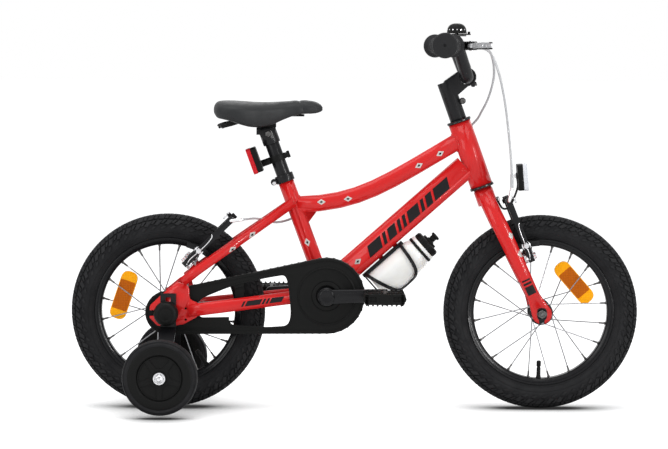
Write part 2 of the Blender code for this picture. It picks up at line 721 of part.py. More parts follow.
def main_frame():
    head = tube("head_tube", HEAD_LOWER, HEAD_UPPER, HEAD_TUBE_RADIUS, RED, 16)
    seat = tube("seat_tube", CRANK, SEAT_TOP, SEAT_TUBE_RADIUS, RED, 14)
    half = Vector((0.0, BB_SHELL_WIDTH / 2, 0.0))
    shell = tube("shell", CRANK - half, CRANK + half, BB_SHELL_RADIUS, RED, 16)
    frame = join(head, top_tube(), down_tube(), seat, shell)
    gusset = [(0.0, 0.0), (0.034, 0.004), (0.006, -0.034)]
    corner = on_seat_tube(TOP_TUBE_DROP + 0.0120) + Vector((0.0060, 0.0, 0.0))
    frame = join(frame, side_plate("gusset", [(corner.x + u, corner.z + v) for u, v in gusset],
                                   -0.0025, 0.0025, LEFT, RED))
    for side in (LEFT, RIGHT):
        upper, bend, lower = seat_stay_path(side)
        path = [upper, upper.lerp(bend, 0.93), bend.lerp(lower, 0.12), lower]
        frame = join(frame, sweep("seat_stay", path, oval(SEAT_STAY_RADIUS * 0.8, SEAT_STAY_RADIUS, 8), RED))
        start, bend, end = chain_stay_path(side)
        path = [start, start.lerp(bend, 0.95), bend.lerp(end, 0.2), end]
        section = oval(CHAIN_STAY_WIDTH / 2, CHAIN_STAY_HEIGHT / 2, 8, 2.4)
        frame = join(frame, sweep("chain_stay", path, section, RED), dropout(side))
        frame = join(frame, brake_boss(REAR_PIVOT, REAR_NORMAL, 0.0300, side, REAR_ARM_OUT))
    bridge = seat_stay_path(LEFT)[0].lerp(seat_stay_path(LEFT)[1], 0.34)
    frame = join(frame, tube("bridge", bridge, Vector((bridge.x, -bridge.y, bridge.z)), 0.0060, RED, 8))
    for share in (0.36, 0.66):
        spot = DOWN_FOOT + DOWN_DIR * (BOTTLE_PLACE + BOTTLE_LENGTH * share)
        base = spot - DOWN_UP * (DOWN_TUBE_HEIGHT / 2 - 0.003)
        frame = join(frame, tube("cage_boss", base, base - DOWN_UP * 0.0050, 0.0050, RED, 8))
    for place, side_way in cable_guides():
        inside, outside = place - side_way * 0.0035, place + side_way * 0.0040
        frame = join(frame, tube("guide", inside, outside, 0.0030, RED, 8))
    down = -STEER_UP
    steerer_bore = STEERER_RADIUS + STEERER_CLEARANCE + 0.0030
    frame = cut(frame,
                rod("cutter", HEAD_UPPER - down * 0.01, HEAD_LOWER + down * 0.01, steerer_bore, RED, 16),
                rod("cutter", CRANK - half * 1.2, CRANK + half * 1.2, BB_BORE, RED, 14),
                rod("cutter", on_seat_tube(POST_INSERTED + POST_BORE_SPARE), SEAT_TOP + SEAT_UP * 0.01,
                    SEAT_TUBE_RADIUS - SEAT_TUBE_WALL, RED, 16))
    return finish(frame, "main_frame", RED)


# Brake cables: each is one housing from its lever to the bent pipe on a brake arm
def top_tube_point(share):
    start = on_seat_tube(TOP_TUBE_DROP) + Vector((0.0060, 0.0, 0.0))
    end = HEAD_UPPER - STEER_UP * 0.0280
    path = bezier(start, start + Vector((0.1150, 0.0, 0.0040)), end - Vector((0.1460, 0.0, 0.0867)), end, 41)
    return path[round(share * 40)]


def cable_guides():
    side = Y_AXIS * TOP_TUBE_WIDTH / 2
    return [(top_tube_point(share) + side, Y_AXIS) for share in (0.45, 0.80)]


CABLE_OUT = TOP_TUBE_WIDTH / 2 + 0.0040 + HOUSING_RADIUS + 2 * GAP
REAR_NOODLE_END = REAR_PIVOT + Vector((0.0989, -0.0600, 0.0766))
FRONT_NOODLE_END = FRONT_PIVOT + Vector((-0.0350, -0.0500, 0.1230))


def rear_cable_route():
    guides = [top_tube_point(share) + Y_AXIS * CABLE_OUT for share in (0.80, 0.45)]
    return [(0.1990, -LEVER_PLACE + 0.0240, 0.6520), (0.2240, -0.0880, 0.6515), (0.2410, -0.0500, 0.6400),
            (0.2485, -0.0200, 0.6060), (0.2430, 0.0060, 0.5700), (0.2300, 0.0240, 0.5380),
            (0.2080, 0.0330, 0.5080), guides[0], guides[1], (-0.0550, 0.0215, 0.3680),
            (-0.0950, 0.0210, 0.3500), (-0.1210, 0.0200, 0.3380), (-0.1430, 0.0080, 0.3345),
            (-0.1600, -0.0090, 0.3400), (-0.1780, -0.0340, 0.3440),
            (-0.1930, -0.0540, 0.3440), REAR_NOODLE_END + Vector((0.0012, 0.0009, 0.0))]


def front_cable_route():
    return [(0.1990, LEVER_PLACE - 0.0240, 0.6520), (0.2240, 0.0880, 0.6515), (0.2450, 0.0450, 0.6410),
            (0.2580, 0.0050, 0.6060), (0.2668, -0.0180, 0.5616), (0.2727, -0.0300, 0.5160),
            (0.2780, -0.0410, 0.4600), (0.2800, -0.0480, 0.4200),
            FRONT_NOODLE_END + Vector((0.0, 0.0005, 0.0013))]


frame = main_frame()
cord("rear_brake_cable", rear_cable_route(), HOUSING_RADIUS, HOUSING, 40)
cord("front_brake_cable", front_cable_route(), HOUSING_RADIUS, HOUSING, 24)


# Headset
def ring(name, centre, axis, inner, outer, height, colour, sides=16):
    outline = [(inner, 0.0), (outer, 0.0), (outer, height), (inner, height)]
    made = lathe(name, outline, sides, colour, frame_at(centre, axis))
    return finish(made, name, colour)


CUP_BORE = STEERER_RADIUS + STEERER_CLEARANCE
CUP_OUTER = HEAD_TUBE_RADIUS + CUP_LIP
ring("headset_top_cup", HEAD_UPPER + STEER_UP * GAP, STEER_UP, CUP_BORE, CUP_OUTER, CUP_HEIGHT, BLACK)
ring("headset_bottom_cup", HEAD_LOWER - STEER_UP * GAP, -STEER_UP, CUP_BORE, CUP_OUTER,
                  CUP_HEIGHT, BLACK)
RACE_HEIGHT = 0.0035
race_top = HEAD_LOWER - STEER_UP * (CUP_HEIGHT + 2 * GAP)
FORK_TOP = race_top - STEER_UP * RACE_HEIGHT
STEM_BASE = HEAD_UPPER + STEER_UP * (CUP_HEIGHT + 2 * GAP)


# Fork
def fork_leg(side):
    """One leg: it leaves the crown sideways, then runs straight to the fork end."""
    end = FRONT + Vector((0.0, side * (FRONT_DROPOUT_INSIDE + DROPOUT_THICKNESS / 2), 0.0))
    lean = STEERING_ANGLE - FORK_RAKE_ANGLE
    down = Vector((math.cos(lean), 0.0, -math.sin(lean)))
    low = end - down * (FORK_END_RADIUS * 0.75)
    straight = 0.1550
    high = Vector((low.x, side * FORK_LEG_OUT, low.z)) - down * straight
    crown = FORK_TOP - STEER_UP * 0.0120 + Vector((0.0, side * 0.0080, 0.0))
    elbow = crown.lerp(high, 0.42)
    elbow.y = side * FORK_LEG_OUT * 0.80
    path = [crown, crown.lerp(elbow, 0.5) + Vector((0.0, side * 0.0040, 0.0)), elbow, high,
            high.lerp(low, 0.5), low]
    widths = [0.5, 0.5, 0.5, 0.5, 0.46, FORK_LEG_WIDTH_END / FORK_LEG_WIDTH_TOP / 2]
    sections = []
    for index, share in enumerate(widths):
        flat = 0.5 if index < 5 else 0.30
        sections.append(oval(FORK_LEG_WIDTH_TOP * share, FORK_LEG_THICKNESS * flat, 10, 2.2))
    leg = sweep("leg", path, sections, RED, Vector((-down.z, 0.0, down.x)))
    c = (FRONT.x, FRONT.z)
    tongue = [(c[0] + FORK_END_RADIUS * math.cos(a), c[1] + FORK_END_RADIUS * math.sin(a))
              for a in np.linspace(math.radians(-155), math.radians(25), 9)]
    up = Vector((-down.x, 0.0, -down.z)) * 0.034
    wide = Vector((down.z, 0.0, -down.x)) * FORK_LEG_WIDTH_END * 0.5
    tongue += [(c[0] + up.x - wide.x, c[1] + up.z - wide.z), (c[0] + up.x + wide.x, c[1] + up.z + wide.z)]
    slot = AXLE_RADIUS + AXLE_CLEARANCE
    open_end = [(c[0] + slot * math.cos(a), c[1] + slot * math.sin(a))
                for a in np.linspace(0.0, math.pi, 5)]
    open_end += [(c[0] - slot, c[1] - 0.030), (c[0] + slot, c[1] - 0.030)]
    plate = side_plate("fork_end", tongue, FRONT_DROPOUT_INSIDE, FRONT_DROPOUT_INSIDE + DROPOUT_THICKNESS,
                       side, RED, [open_end])
    boss = brake_boss(FRONT_PIVOT, FRONT_NORMAL, 0.0270, side, FRONT_ARM_OUT)
    return join(leg, plate, boss)


def boss_pin(pivot, normal, side, out):
    """The bolt that a brake arm turns on, and its head."""
    centre = Vector((pivot.x, side * out, pivot.z))
    front = ARM_THICKNESS / 2 + GAP
    pin = rod("pin", centre - normal * (front + 0.002), centre + normal * (front + 0.001), PIN_RADIUS, RED, 8)
    near, far = centre + normal * front, centre + normal * (front + 0.0035)
    head = rod("head", near, far, BOSS_RADIUS * 0.85, RED, 6)
    return join(pin, head)


PIN_RADIUS = 0.0036
PIN_CLEARANCE = 0.0005


def make_fork():
    top = STEM_BASE + STEER_UP * (STEM_HEIGHT - 0.010)
    fork = rod("steerer", FORK_TOP - STEER_UP * 0.020, top, STEERER_RADIUS, RED, 16)
    fork = join(fork, rod("crown", FORK_TOP - STEER_UP * 0.0260, FORK_TOP, HEAD_TUBE_RADIUS * 0.86, RED, 16))
    fork = join(fork, rod("race", FORK_TOP - STEER_UP * 0.001, race_top, HEAD_TUBE_RADIUS * 0.80, RED, 16))
    for side in (LEFT, RIGHT):
        fork = join(fork, fork_leg(side), boss_pin(FRONT_PIVOT, FRONT_NORMAL, side, FRONT_ARM_OUT))
    return finish(fork, "fork", RED)


fork = make_fork()
for side in (LEFT, RIGHT):
    frame = join(frame, boss_pin(REAR_PIVOT, REAR_NORMAL, side, REAR_ARM_OUT))
finish(frame, "main_frame", RED)


# Stem and handlebar
CLAMP = STEM_BASE + STEER_UP * STEM_HEIGHT + STEER_AHEAD * STEM_REACH
CLAMP_RADIUS = CLAMP_BAR_RADIUS + 0.0042


def in_stem(ahead, up):
    """A side-view point, given ahead of and above the middle of the bar clamp."""
    spot = CLAMP + STEER_AHEAD * ahead + STEER_UP * up
    return (spot.x, spot.z)


def make_stem():
    height = STEM_HEIGHT + 0.0040
    sleeve = rod("sleeve", STEM_BASE, STEM_BASE + STEER_UP * height, STEM_RADIUS, BLACK, 16)
    back = -STEM_REACH
    outline = rounded([in_stem(back - 0.013, -0.012), in_stem(back - 0.002, height - STEM_HEIGHT + 0.002),
                       in_stem(-0.004, CLAMP_RADIUS * 0.97), in_stem(0.0, CLAMP_RADIUS * 0.9),
                       in_stem(0.0, -CLAMP_RADIUS * 0.9), in_stem(back + 0.012, -0.0260)],
                      [0.004, 0.006, 0.003, 0.0, 0.0, 0.004], 2)
    arm = side_plate("arm", outline, -0.0140, 0.0140, RIGHT, BLACK)
    wide = Vector((0.0, 0.0200, 0.0))
    barrel = rod("barrel", CLAMP - wide, CLAMP + wide, CLAMP_RADIUS, BLACK, 16)
    pinch = STEM_BASE + STEER_UP * (STEM_HEIGHT * 0.44) + STEER_AHEAD * (STEM_RADIUS + 0.0030)
    lug = Vector((0.0, 0.0090, 0.0))
    stem = join(sleeve, arm, barrel, rod("pinch", pinch - lug, pinch + lug, 0.0060, BLACK, 8))
    bore = bore_for(STEERER_RADIUS, 16)
    steerer_room = rod("cutter", STEM_BASE - STEER_UP * 0.01, STEM_BASE + STEER_UP * (STEM_HEIGHT - 0.008),
                       bore, BLACK, 16)
    bore = bore_for(CLAMP_BAR_RADIUS, 12)
    bar_room = rod("cutter", CLAMP - wide * 1.5, CLAMP + wide * 1.5, bore, BLACK, 12)
    split = [in_stem(0.0020, 0.05), in_stem(0.0020, -0.05), in_stem(0.05, -0.05), in_stem(0.05, 0.05)]
    half = side_plate("cutter", split, -0.03, 0.03, RIGHT, BLACK)
    stem = cut(stem, steerer_room, bar_room, half)
    face = rod("face", CLAMP - wide, CLAMP + wide, CLAMP_RADIUS, BLACK, 16)
    for up in (1.0, -1.0):
        lug_at = CLAMP + STEER_UP * up * (CLAMP_RADIUS + 0.0005) + STEER_AHEAD * 0.0060
        face = join(face, rod("lug", lug_at - wide * 0.9, lug_at + wide * 0.9, 0.0042, BLACK, 6))
    keep = [in_stem(0.0026, 0.05), in_stem(0.0026, -0.05), in_stem(-0.05, -0.05), in_stem(-0.05, 0.05)]
    bore = bore_for(CLAMP_BAR_RADIUS, 12)
    face = cut(face, rod("cutter", CLAMP - wide * 1.5, CLAMP + wide * 1.5, bore, BLACK, 12),
               side_plate("cutter", keep, -0.03, 0.03, RIGHT, BLACK))
    return finish(stem, "stem", BLACK), finish(face, "stem_faceplate", BLACK)


stem, faceplate = make_stem()

BAR_BEND_OUT = LEVER_PLACE - 0.0410
GRIP_CAP = 0.0040


CLAMP_BAR_HALF = 0.0235           # half the width of the thick middle, which the stem clamps
BAR_RISE_FROM = 0.0340


def bar_point(out, side):
    """The bar's centre line, at a distance out from the middle."""
    if out <= BAR_BEND_OUT:
        rise = max(0.0, min(1.0, (out - BAR_RISE_FROM) / (BAR_BEND_OUT - 0.0060 - BAR_RISE_FROM)))
        spot = CLAMP + STEER_UP * BAR_RISE * rise
    else:
        spot = CLAMP + STEER_UP * BAR_RISE
        spot.x -= math.tan(BAR_SWEEP) * (out - BAR_BEND_OUT)
    return Vector((spot.x, side * out, spot.z))


def bar_along(side):
    return Vector((-math.sin(BAR_SWEEP), side * math.cos(BAR_SWEEP), 0.0))


def make_bar():
    outs = [0.0, CLAMP_BAR_HALF / 2, CLAMP_BAR_HALF, CLAMP_BAR_HALF + 0.0005, BAR_RISE_FROM - 0.0010,
            BAR_RISE_FROM + 0.0060, BAR_BEND_OUT - 0.0120, BAR_BEND_OUT - 0.0055, BAR_BEND_OUT,
            BAR_BEND_OUT + 0.0055, BAR_WIDTH / 2 - GRIP_CAP]
    half = [bar_point(out, LEFT) for out in outs]
    half[4] = half[4] + STEER_UP * 0.0010
    path = [Vector((p.x, -p.y, p.z)) for p in reversed(half[1:])] + half
    sections = []
    for point in path:
        radius = CLAMP_BAR_RADIUS if abs(point.y) < CLAMP_BAR_HALF + 0.0003 else BAR_RADIUS
        sections.append(oval(radius, radius, 10))
    bar = sweep("handlebar", path, sections, BLACK, Vector((1.0, 0.0, 0.0)))
    return finish(bar, "handlebar", BLACK)


handlebar = make_bar()


def grip(side):
    name = "grip_left" if side == LEFT else "grip_right"
    start = bar_point(BAR_WIDTH / 2 - GRIP_LENGTH, side)
    length = GRIP_LENGTH / math.cos(BAR_SWEEP)
    bore = bore_for(BAR_RADIUS, 14)
    depth = length - GRIP_CAP / math.cos(BAR_SWEEP) + 2 * GAP
    outline = [(bore, 0.0), (GRIP_END_RADIUS * 0.92, 0.0), (GRIP_END_RADIUS * 0.95, 0.0035),
               (GRIP_RADIUS + 0.001, 0.0060), (GRIP_RADIUS, 0.012), (GRIP_RADIUS * 0.93, length * 0.5),
               (GRIP_RADIUS, length - 0.016), (GRIP_END_RADIUS * 0.97, length - 0.0085),
               (GRIP_END_RADIUS, length - 0.0045), (GRIP_END_RADIUS * 0.9, length), (0.0, length),
               (0.0, depth), (bore, depth)]
    made = lathe(name, outline, 14, RUBBER, frame_at(start, bar_along(side), UP))
    return finish(made, name, RUBBER)


# Brake levers
LEVER_PIVOT_AHEAD = 0.0290
LEVER_SLOT = 0.0086
LEVER_PIN = 0.0025


def lever_frame(side):
    """Local X runs ahead of the bar, local Y out along it, local Z up."""
    along = bar_along(side)
    ahead = Vector((math.cos(BAR_SWEEP), side * math.sin(BAR_SWEEP), 0.0))
    turn = Matrix((ahead, along, UP)).transposed().to_4x4()
    return Matrix.Translation(bar_point(LEVER_PLACE, side)) @ turn


def placed(obj, matrix):
    obj.data.transform(matrix)
    return upright(obj)


def lever_clamp(side):
    """The black clamp: a ring on the bar, and a fork ahead of it that holds the lever."""
    name = "lever_clamp_left" if side == LEFT else "lever_clamp_right"
    made = rod("ring", (0.0, -0.0110, 0.0), (0.0, 0.0110, 0.0), BAR_RADIUS + 0.0042, PLASTIC, 12)
    body = rounded([(0.004, -0.0130), (0.030, -0.0200), (0.038, -0.0120), (0.036, 0.0050),
                    (0.024, 0.0100), (0.004, 0.0100)], [0.0, 0.004, 0.005, 0.006, 0.004, 0.0], 2)
    made = join(made, prism("body", body, -0.0075, 0.0075, PLASTIC))
    made = join(made, rod("barrel", (0.022, -0.0140, 0.0), (0.0262, -0.0232, 0.0), 0.0045, PLASTIC, 8))
    room = [(0.0155, -0.0130), (0.050, -0.0130), (0.050, 0.020), (0.0155, 0.020)]
    made = cut(made, rod("cutter", (0, -0.02, 0), (0, 0.02, 0), bore_for(BAR_RADIUS, 12), PLASTIC, 12),
               prism("cutter", room, -LEVER_SLOT / 2, LEVER_SLOT / 2, PLASTIC))
    pin = rod("pin", (LEVER_PIVOT_AHEAD, 0.0, -0.0070), (LEVER_PIVOT_AHEAD, 0.0, 0.0070), LEVER_PIN, STEEL, 8)
    made = join(made, pin)
    return finish(placed(made, lever_frame(side)), name, PLASTIC)


def brake_lever(side):
    """The blade: an eye round the pin, then a bar that runs out and ahead to a ball end."""
    name = "brake_lever_left" if side == LEFT else "brake_lever_right"
    thick = LEVER_SLOT / 2 - GAP
    eye = prism("eye", circle(LEVER_PIVOT_AHEAD, 0.0, 0.0070, 10), -thick, thick, STEEL)
    path = [(LEVER_PIVOT_AHEAD + 0.001, 0.003, 0.0), (0.0385, 0.0170, 0.0), (0.0500, 0.0330, -0.0002),
            (0.0600, 0.0520, -0.0004), (0.0715, 0.0760, -0.0006)]
    tall = [thick, 0.0052, 0.0060, 0.0056, 0.0046]
    sections = [oval(0.0026, height, 8, 2.6) for height in tall]
    blade = sweep("blade", path, sections, STEEL, Vector((1.0, 0.0, 0.0)))
    ball = lathe("ball", [(0.0, -0.0058), (0.0045, -0.0036), (0.0058, 0.0), (0.0045, 0.0036), (0.0, 0.0058)],
                 8, STEEL, Matrix.Translation((0.0728, 0.0790, -0.0006)))
    made = join(blade, eye, ball)
    made = cut(made, rod("cutter", (LEVER_PIVOT_AHEAD, 0, -0.02), (LEVER_PIVOT_AHEAD, 0, 0.02),
                         LEVER_PIN + PIN_CLEARANCE, STEEL, 8))
    return finish(placed(made, lever_frame(side)), name, STEEL)


for side in (LEFT, RIGHT):
    grip(side)
    lever_clamp(side)
    brake_lever(side)


# Bell
BELL_AT = bar_point(BELL_PLACE, RIGHT)
BELL_BASE_UP = BAR_RADIUS + 0.0075
BELL_LEVER_THICKNESS = 0.0022
BELL_HEIGHT = 0.0180


def make_bell():
    along = bar_along(RIGHT)
    band = rod("band", BELL_AT - along * 0.006, BELL_AT + along * 0.006, BAR_RADIUS + 0.0032, PLASTIC, 12)
    post = rod("post", BELL_AT + UP * (BAR_RADIUS + 0.0010), BELL_AT + UP * (BELL_BASE_UP - 0.001), 0.0070,
               PLASTIC, 8)
    floor = rod("floor", BELL_AT + UP * (BELL_BASE_UP - 0.0020), BELL_AT + UP * BELL_BASE_UP, BELL_RADIUS * 0.95,
                PLASTIC, 14)
    top = BELL_BASE_UP + BELL_LEVER_THICKNESS + 2 * GAP
    pin = rod("pin", BELL_AT + UP * (BELL_BASE_UP - 0.0010), BELL_AT + UP * (top + 0.010), 0.0030, STEEL, 8)
    base = join(band, post, floor, pin)
    bore = bore_for(BAR_RADIUS, 12)
    base = cut(base, rod("cutter", BELL_AT - along * 0.02, BELL_AT + along * 0.02, bore, PLASTIC, 12))
    lever_at = BELL_AT + UP * (BELL_BASE_UP + GAP)
    tab = rounded([(-0.0070, -0.0065), (0.0150, -0.0060), (0.0245, -0.0045), (0.0245, 0.0045),
                   (0.0150, 0.0060), (-0.0070, 0.0065)], 0.0025, 2)
    lever = prism("lever", tab, 0.0, BELL_LEVER_THICKNESS, PLASTIC)
    lever = join(lever, rod("thumb", (0.0214, 0.0, 0.0010), (0.0214, 0.0, 0.0060), 0.0025, PLASTIC, 6))
    lever = cut(lever, rod("cutter", (0, 0, -0.01), (0, 0, 0.01), 0.0030 + PIN_CLEARANCE, PLASTIC, 10))
    lever.data.transform(Matrix.Translation(lever_at))
    wall = 0.0016
    r = BELL_RADIUS
    h = BELL_HEIGHT
    outline = [(r, 0.0), (r, h * 0.34), (r * 0.90, h * 0.66), (r * 0.62, h * 0.90), (r * 0.25, h), (0.0, h),
               (0.0, h - wall), (r * 0.25, h - wall), (r * 0.60, h * 0.90 - wall * 1.3),
               (r * 0.90 - wall, h * 0.62), (r - wall, h * 0.32), (r - wall, 0.0)]
    dome = lathe("dome", outline, 14, BLACK, Matrix.Translation(BELL_AT + UP * top))
    post_room = rod("cutter", BELL_AT + UP * top, BELL_AT + UP * (top + 0.010 + GAP), 0.0030 + GAP, BLACK, 8)
    boss = rod("boss", BELL_AT + UP * (top + 0.006), BELL_AT + UP * (top + h - wall * 0.5), 0.0050, BLACK, 8)
    dome = cut(join(dome, boss), post_room)
    return (finish(base, "bell_base", PLASTIC), finish(dome, "bell_dome", BLACK),
            finish(lever, "bell_thumb_lever", PLASTIC))


bell_base, bell_dome, bell_lever = make_bell()


# Brake arms
FRONT_ARM_DIR = Vector((-FRONT_NORMAL.z, 0.0, FRONT_NORMAL.x))
REAR_ARM_DIR = Vector((REAR_NORMAL.z, 0.0, -REAR_NORMAL.x))
PAD_HALF_HEIGHT = 0.0050
PAD_LENGTH = 0.0500
PAD_THICKNESS = 0.0100
NOODLE_RADIUS = 0.0030


def pad_place(pivot, direction, wheel_centre):
    """Distance up the arm at which it crosses the middle of the rim's side."""
    offset = pivot - wheel_centre
    along = offset.dot(direction)
    return -along + math.sqrt(along ** 2 - offset.length_squared + BRAKE_TRACK_RADIUS ** 2)


def brake_arm(name, pivot, direction, normal, out, side, wheel_centre, noodle):
    """One arm: eye, tapering body, pad on its post, and the bent cable pipe on the right-hand arms."""
    reach = pad_place(pivot, direction, wheel_centre)
    half = ARM_THICKNESS / 2
    outward = Y_AXIS * side
    origin = pivot + outward * out
    turn = Matrix((outward, direction, normal)).transposed().to_4x4()
    place = Matrix.Translation(origin) @ turn
    body = rounded([(-0.0105, -0.0090), (0.0090, -0.0090), (0.0085, 0.0120), (0.0062, 0.0580),
                    (0.0058, BRAKE_ARM_LENGTH + 0.006), (-0.0052, BRAKE_ARM_LENGTH + 0.006),
                    (-0.0058, 0.0580), (-0.0100, 0.0160)], [0.008, 0.008, 0.01, 0.02, 0.004, 0.004, 0.02, 0.01], 1)
    arm = prism("arm", body, -half, half, BLACK)
    bore = rod("cutter", (0, 0, -0.02), (0, 0, 0.02), PIN_RADIUS + PIN_CLEARANCE, BLACK, 10)
    arm = cut(arm, bore)
    arm.data.transform(place)
    upright(arm)
    centre = pivot + direction * reach
    radial = (centre - wheel_centre).normalized()
    pad_inner = RIM_WIDTH / 2 + PAD_GAP
    turned = math.atan2(radial.z, radial.x)
    spread = PAD_LENGTH / 2 / BRAKE_TRACK_RADIUS
    outline = []
    edges = ((BRAKE_TRACK_RADIUS + PAD_HALF_HEIGHT, 1), (BRAKE_TRACK_RADIUS - PAD_HALF_HEIGHT, -1))
    for radius, order in edges:
        for share in (-1.0, -0.33, 0.33, 1.0):
            angle = turned + spread * share * order
            outline.append((wheel_centre.x + radius * math.cos(angle),
                            wheel_centre.z + radius * math.sin(angle)))
    pad = side_plate("pad", outline, pad_inner, pad_inner + PAD_THICKNESS, side, RUBBER)
    post_inner = centre + outward * (pad_inner + PAD_THICKNESS - 0.001)
    post_outer = centre + outward * (out + 0.0130)
    arm = join(arm, pad, rod("post", post_inner, post_outer, 0.0035, STEEL, 6))
    arm = join(arm, rod("washer", centre + outward * (pad_inner + PAD_THICKNESS - 0.0005),
                        centre + outward * (out - 0.0040), 0.0065, BLACK, 8))
    arm = join(arm, rod("nut", centre + outward * (out + 0.0040), centre + outward * (out + 0.0105), 0.0055,
                        STEEL, 6))
    if noodle:
        sections = oval(NOODLE_RADIUS, NOODLE_RADIUS, 6)
        arm = join(arm, sweep("noodle", noodle, sections, STEEL, (noodle[1] - noodle[0]).orthogonal()))
    else:
        tip = pivot + direction * (BRAKE_ARM_LENGTH - 0.002) + outward * out
        arm = join(arm, rod("anchor", tip - normal * 0.008, tip + normal * 0.010, 0.0045, STEEL, 6))
    return finish(arm, name, BLACK)


def noodle_path(start, pivot, direction, out, lift):
    """From the cable's end, over to the arm's outer side, then in through its top."""
    tip = pivot + direction * BRAKE_ARM_LENGTH
    outer = Vector((tip.x, -(out + 0.0085), tip.z))
    inner = Vector((tip.x, -(out - 0.0200), tip.z))
    bend = start.lerp(outer, 0.60)
    bend.y = outer.y - 0.0010
    over = outer + (bend - outer) * 0.15
    return [start, start.lerp(bend, 0.5) + lift, bend, over, outer.lerp(inner, 0.35), inner]


NOODLE_BOW = Vector((0.0, -0.0020, 0.0))
front_noodle = noodle_path(FRONT_NOODLE_END, FRONT_PIVOT, FRONT_ARM_DIR, FRONT_ARM_OUT, NOODLE_BOW)
rear_noodle = noodle_path(REAR_NOODLE_END, REAR_PIVOT, REAR_ARM_DIR, REAR_ARM_OUT, NOODLE_BOW)
brake_arm("front_brake_arm_right", FRONT_PIVOT, FRONT_ARM_DIR, FRONT_NORMAL, FRONT_ARM_OUT, RIGHT, FRONT,
          front_noodle)
brake_arm("front_brake_arm_left", FRONT_PIVOT, FRONT_ARM_DIR, FRONT_NORMAL, FRONT_ARM_OUT, LEFT, FRONT, None)
brake_arm("rear_brake_arm_right", REAR_PIVOT, REAR_ARM_DIR, REAR_NORMAL, REAR_ARM_OUT, RIGHT, REAR,
          rear_noodle)
brake_arm("rear_brake_arm_left", REAR_PIVOT, REAR_ARM_DIR, REAR_NORMAL, REAR_ARM_OUT, LEFT, REAR, None)


# Chain drive
def pitch_radius(teeth):
    return CHAIN_PITCH / (2.0 * math.sin(math.pi / teeth))


CRANK_ANGLE = math.radians(2.0)   # the right-hand crank arm points forward, this far above level
RING_RADIUS = pitch_radius(CHAINRING_TEETH)
COG_RADIUS = pitch_radius(COG_TEETH)
TOOTH_TIP = 0.0036
TOOTH_ROOT = 0.0048


def tooth_outline(centre, teeth, first):
    """A sprocket's edge: one tooth on each side of every roller seat, which starts at angle first."""
    radius = pitch_radius(teeth)
    step = 2.0 * math.pi / teeth
    points = []
    for index in range(teeth):
        seat = first + index * step
        for share, r in ((-0.22, radius - TOOTH_ROOT), (0.22, radius - TOOTH_ROOT),
                         (0.50, radius + TOOTH_TIP)):
            angle = seat + share * step
            points.append((centre.x + r * math.cos(angle), centre.z + r * math.sin(angle)))
    return points


def chain_path():
    """The closed line that the chain's pins follow, as a function of the distance along it."""
    span = CRANK - REAR
    line = math.atan2(span.z, span.x)
    turn = math.asin((RING_RADIUS - COG_RADIUS) / span.length)
    top = line + math.pi / 2 + turn
    bottom = line - math.pi / 2 - turn
    straight = span.length * math.cos(turn)
    ring_arc = RING_RADIUS * (top - bottom)
    cog_arc = COG_RADIUS * (2.0 * math.pi - (top - bottom))
    total = 2.0 * straight + ring_arc + cog_arc

    def on(centre, radius, angle):
        return Vector((centre.x + radius * math.cos(angle), 0.0, centre.z + radius * math.sin(angle)))

    def at(distance):
        d = distance % total
        if d < ring_arc:
            angle = bottom + d / RING_RADIUS
            return on(CRANK, RING_RADIUS, angle)
        d -= ring_arc
        if d < straight:
            return on(CRANK, RING_RADIUS, top).lerp(on(REAR, COG_RADIUS, top), d / straight)
        d -= straight
        if d < cog_arc:
            return on(REAR, COG_RADIUS, top + d / COG_RADIUS)
        d -= cog_arc
        return on(REAR, COG_RADIUS, bottom).lerp(on(CRANK, RING_RADIUS, bottom), d / straight)

    return at, total, bottom, ring_arc + straight + cog_arc * 0.0, top


chain_at, CHAIN_TOTAL, CHAIN_BOTTOM_ANGLE, COG_START, CHAIN_TOP_ANGLE = chain_path()
LINK_STEP = CHAIN_TOTAL / CHAIN_LINKS


def make_chain():
    """Two bands of plates with a bar across at every second roller."""
    bm = bmesh.new()
    ring_half = 0.0024
    inner = 0.0021
    outer = CHAIN_HALF_WIDTH
    stations = []
    for link in range(CHAIN_LINKS):
        for offset in ((-ring_half, ring_half) if link % 2 == 0 else (0.0,)):
            distance = link * LINK_STEP + offset
            here = chain_at(distance)
            along = (chain_at(distance + 0.0015) - chain_at(distance - 0.0015)).normalized()
            out = Vector((along.z, 0.0, -along.x))
            rows = []
            for y in (-outer, -inner, inner, outer):
                centre = here + Vector((0.0, -CHAIN_PLANE + y, 0.0))
                rows.append((bm.verts.new(centre - out * PLATE_HALF_HEIGHT),
                             bm.verts.new(centre + out * PLATE_HALF_HEIGHT)))
            stations.append(rows)
    for index, a in enumerate(stations):
        b = stations[(index + 1) % len(stations)]
        across = index % 3 == 0
        for low, high in ((0, 1), (2, 3)):
            bm.faces.new((a[low][1], a[high][1], b[high][1], b[low][1]))
            bm.faces.new((a[low][0], b[low][0], b[high][0], a[high][0]))
        bm.faces.new((a[0][0], a[0][1], b[0][1], b[0][0]))
        bm.faces.new((a[3][1], a[3][0], b[3][0], b[3][1]))
        if across:
            bm.faces.new((a[1][1], a[2][1], b[2][1], b[1][1]))
            bm.faces.new((a[1][0], b[1][0], b[2][0], a[2][0]))
            bm.faces.new((a[1][0], a[1][1], a[2][1], a[2][0]))
            bm.faces.new((b[1][0], b[2][0], b[2][1], b[1][1]))
        else:
            bm.faces.new((a[1][1], a[1][0], b[1][0], b[1][1]))
            bm.faces.new((a[2][0], a[2][1], b[2][1], b[2][0]))
    return finish(from_bmesh(bm, "chain", STEEL), "chain", STEEL)


chain = make_chain()


def ring_seat():
    """The angle of the first roller on the chainring: the one at the chain's start."""
    return CHAIN_BOTTOM_ANGLE


def cog_seat():
    """The angle of the first roller that lies wholly on the cog."""
    first = math.ceil((COG_START + 0.002) / LINK_STEP)
    return CHAIN_TOP_ANGLE + (first * LINK_STEP - COG_START) / COG_RADIUS


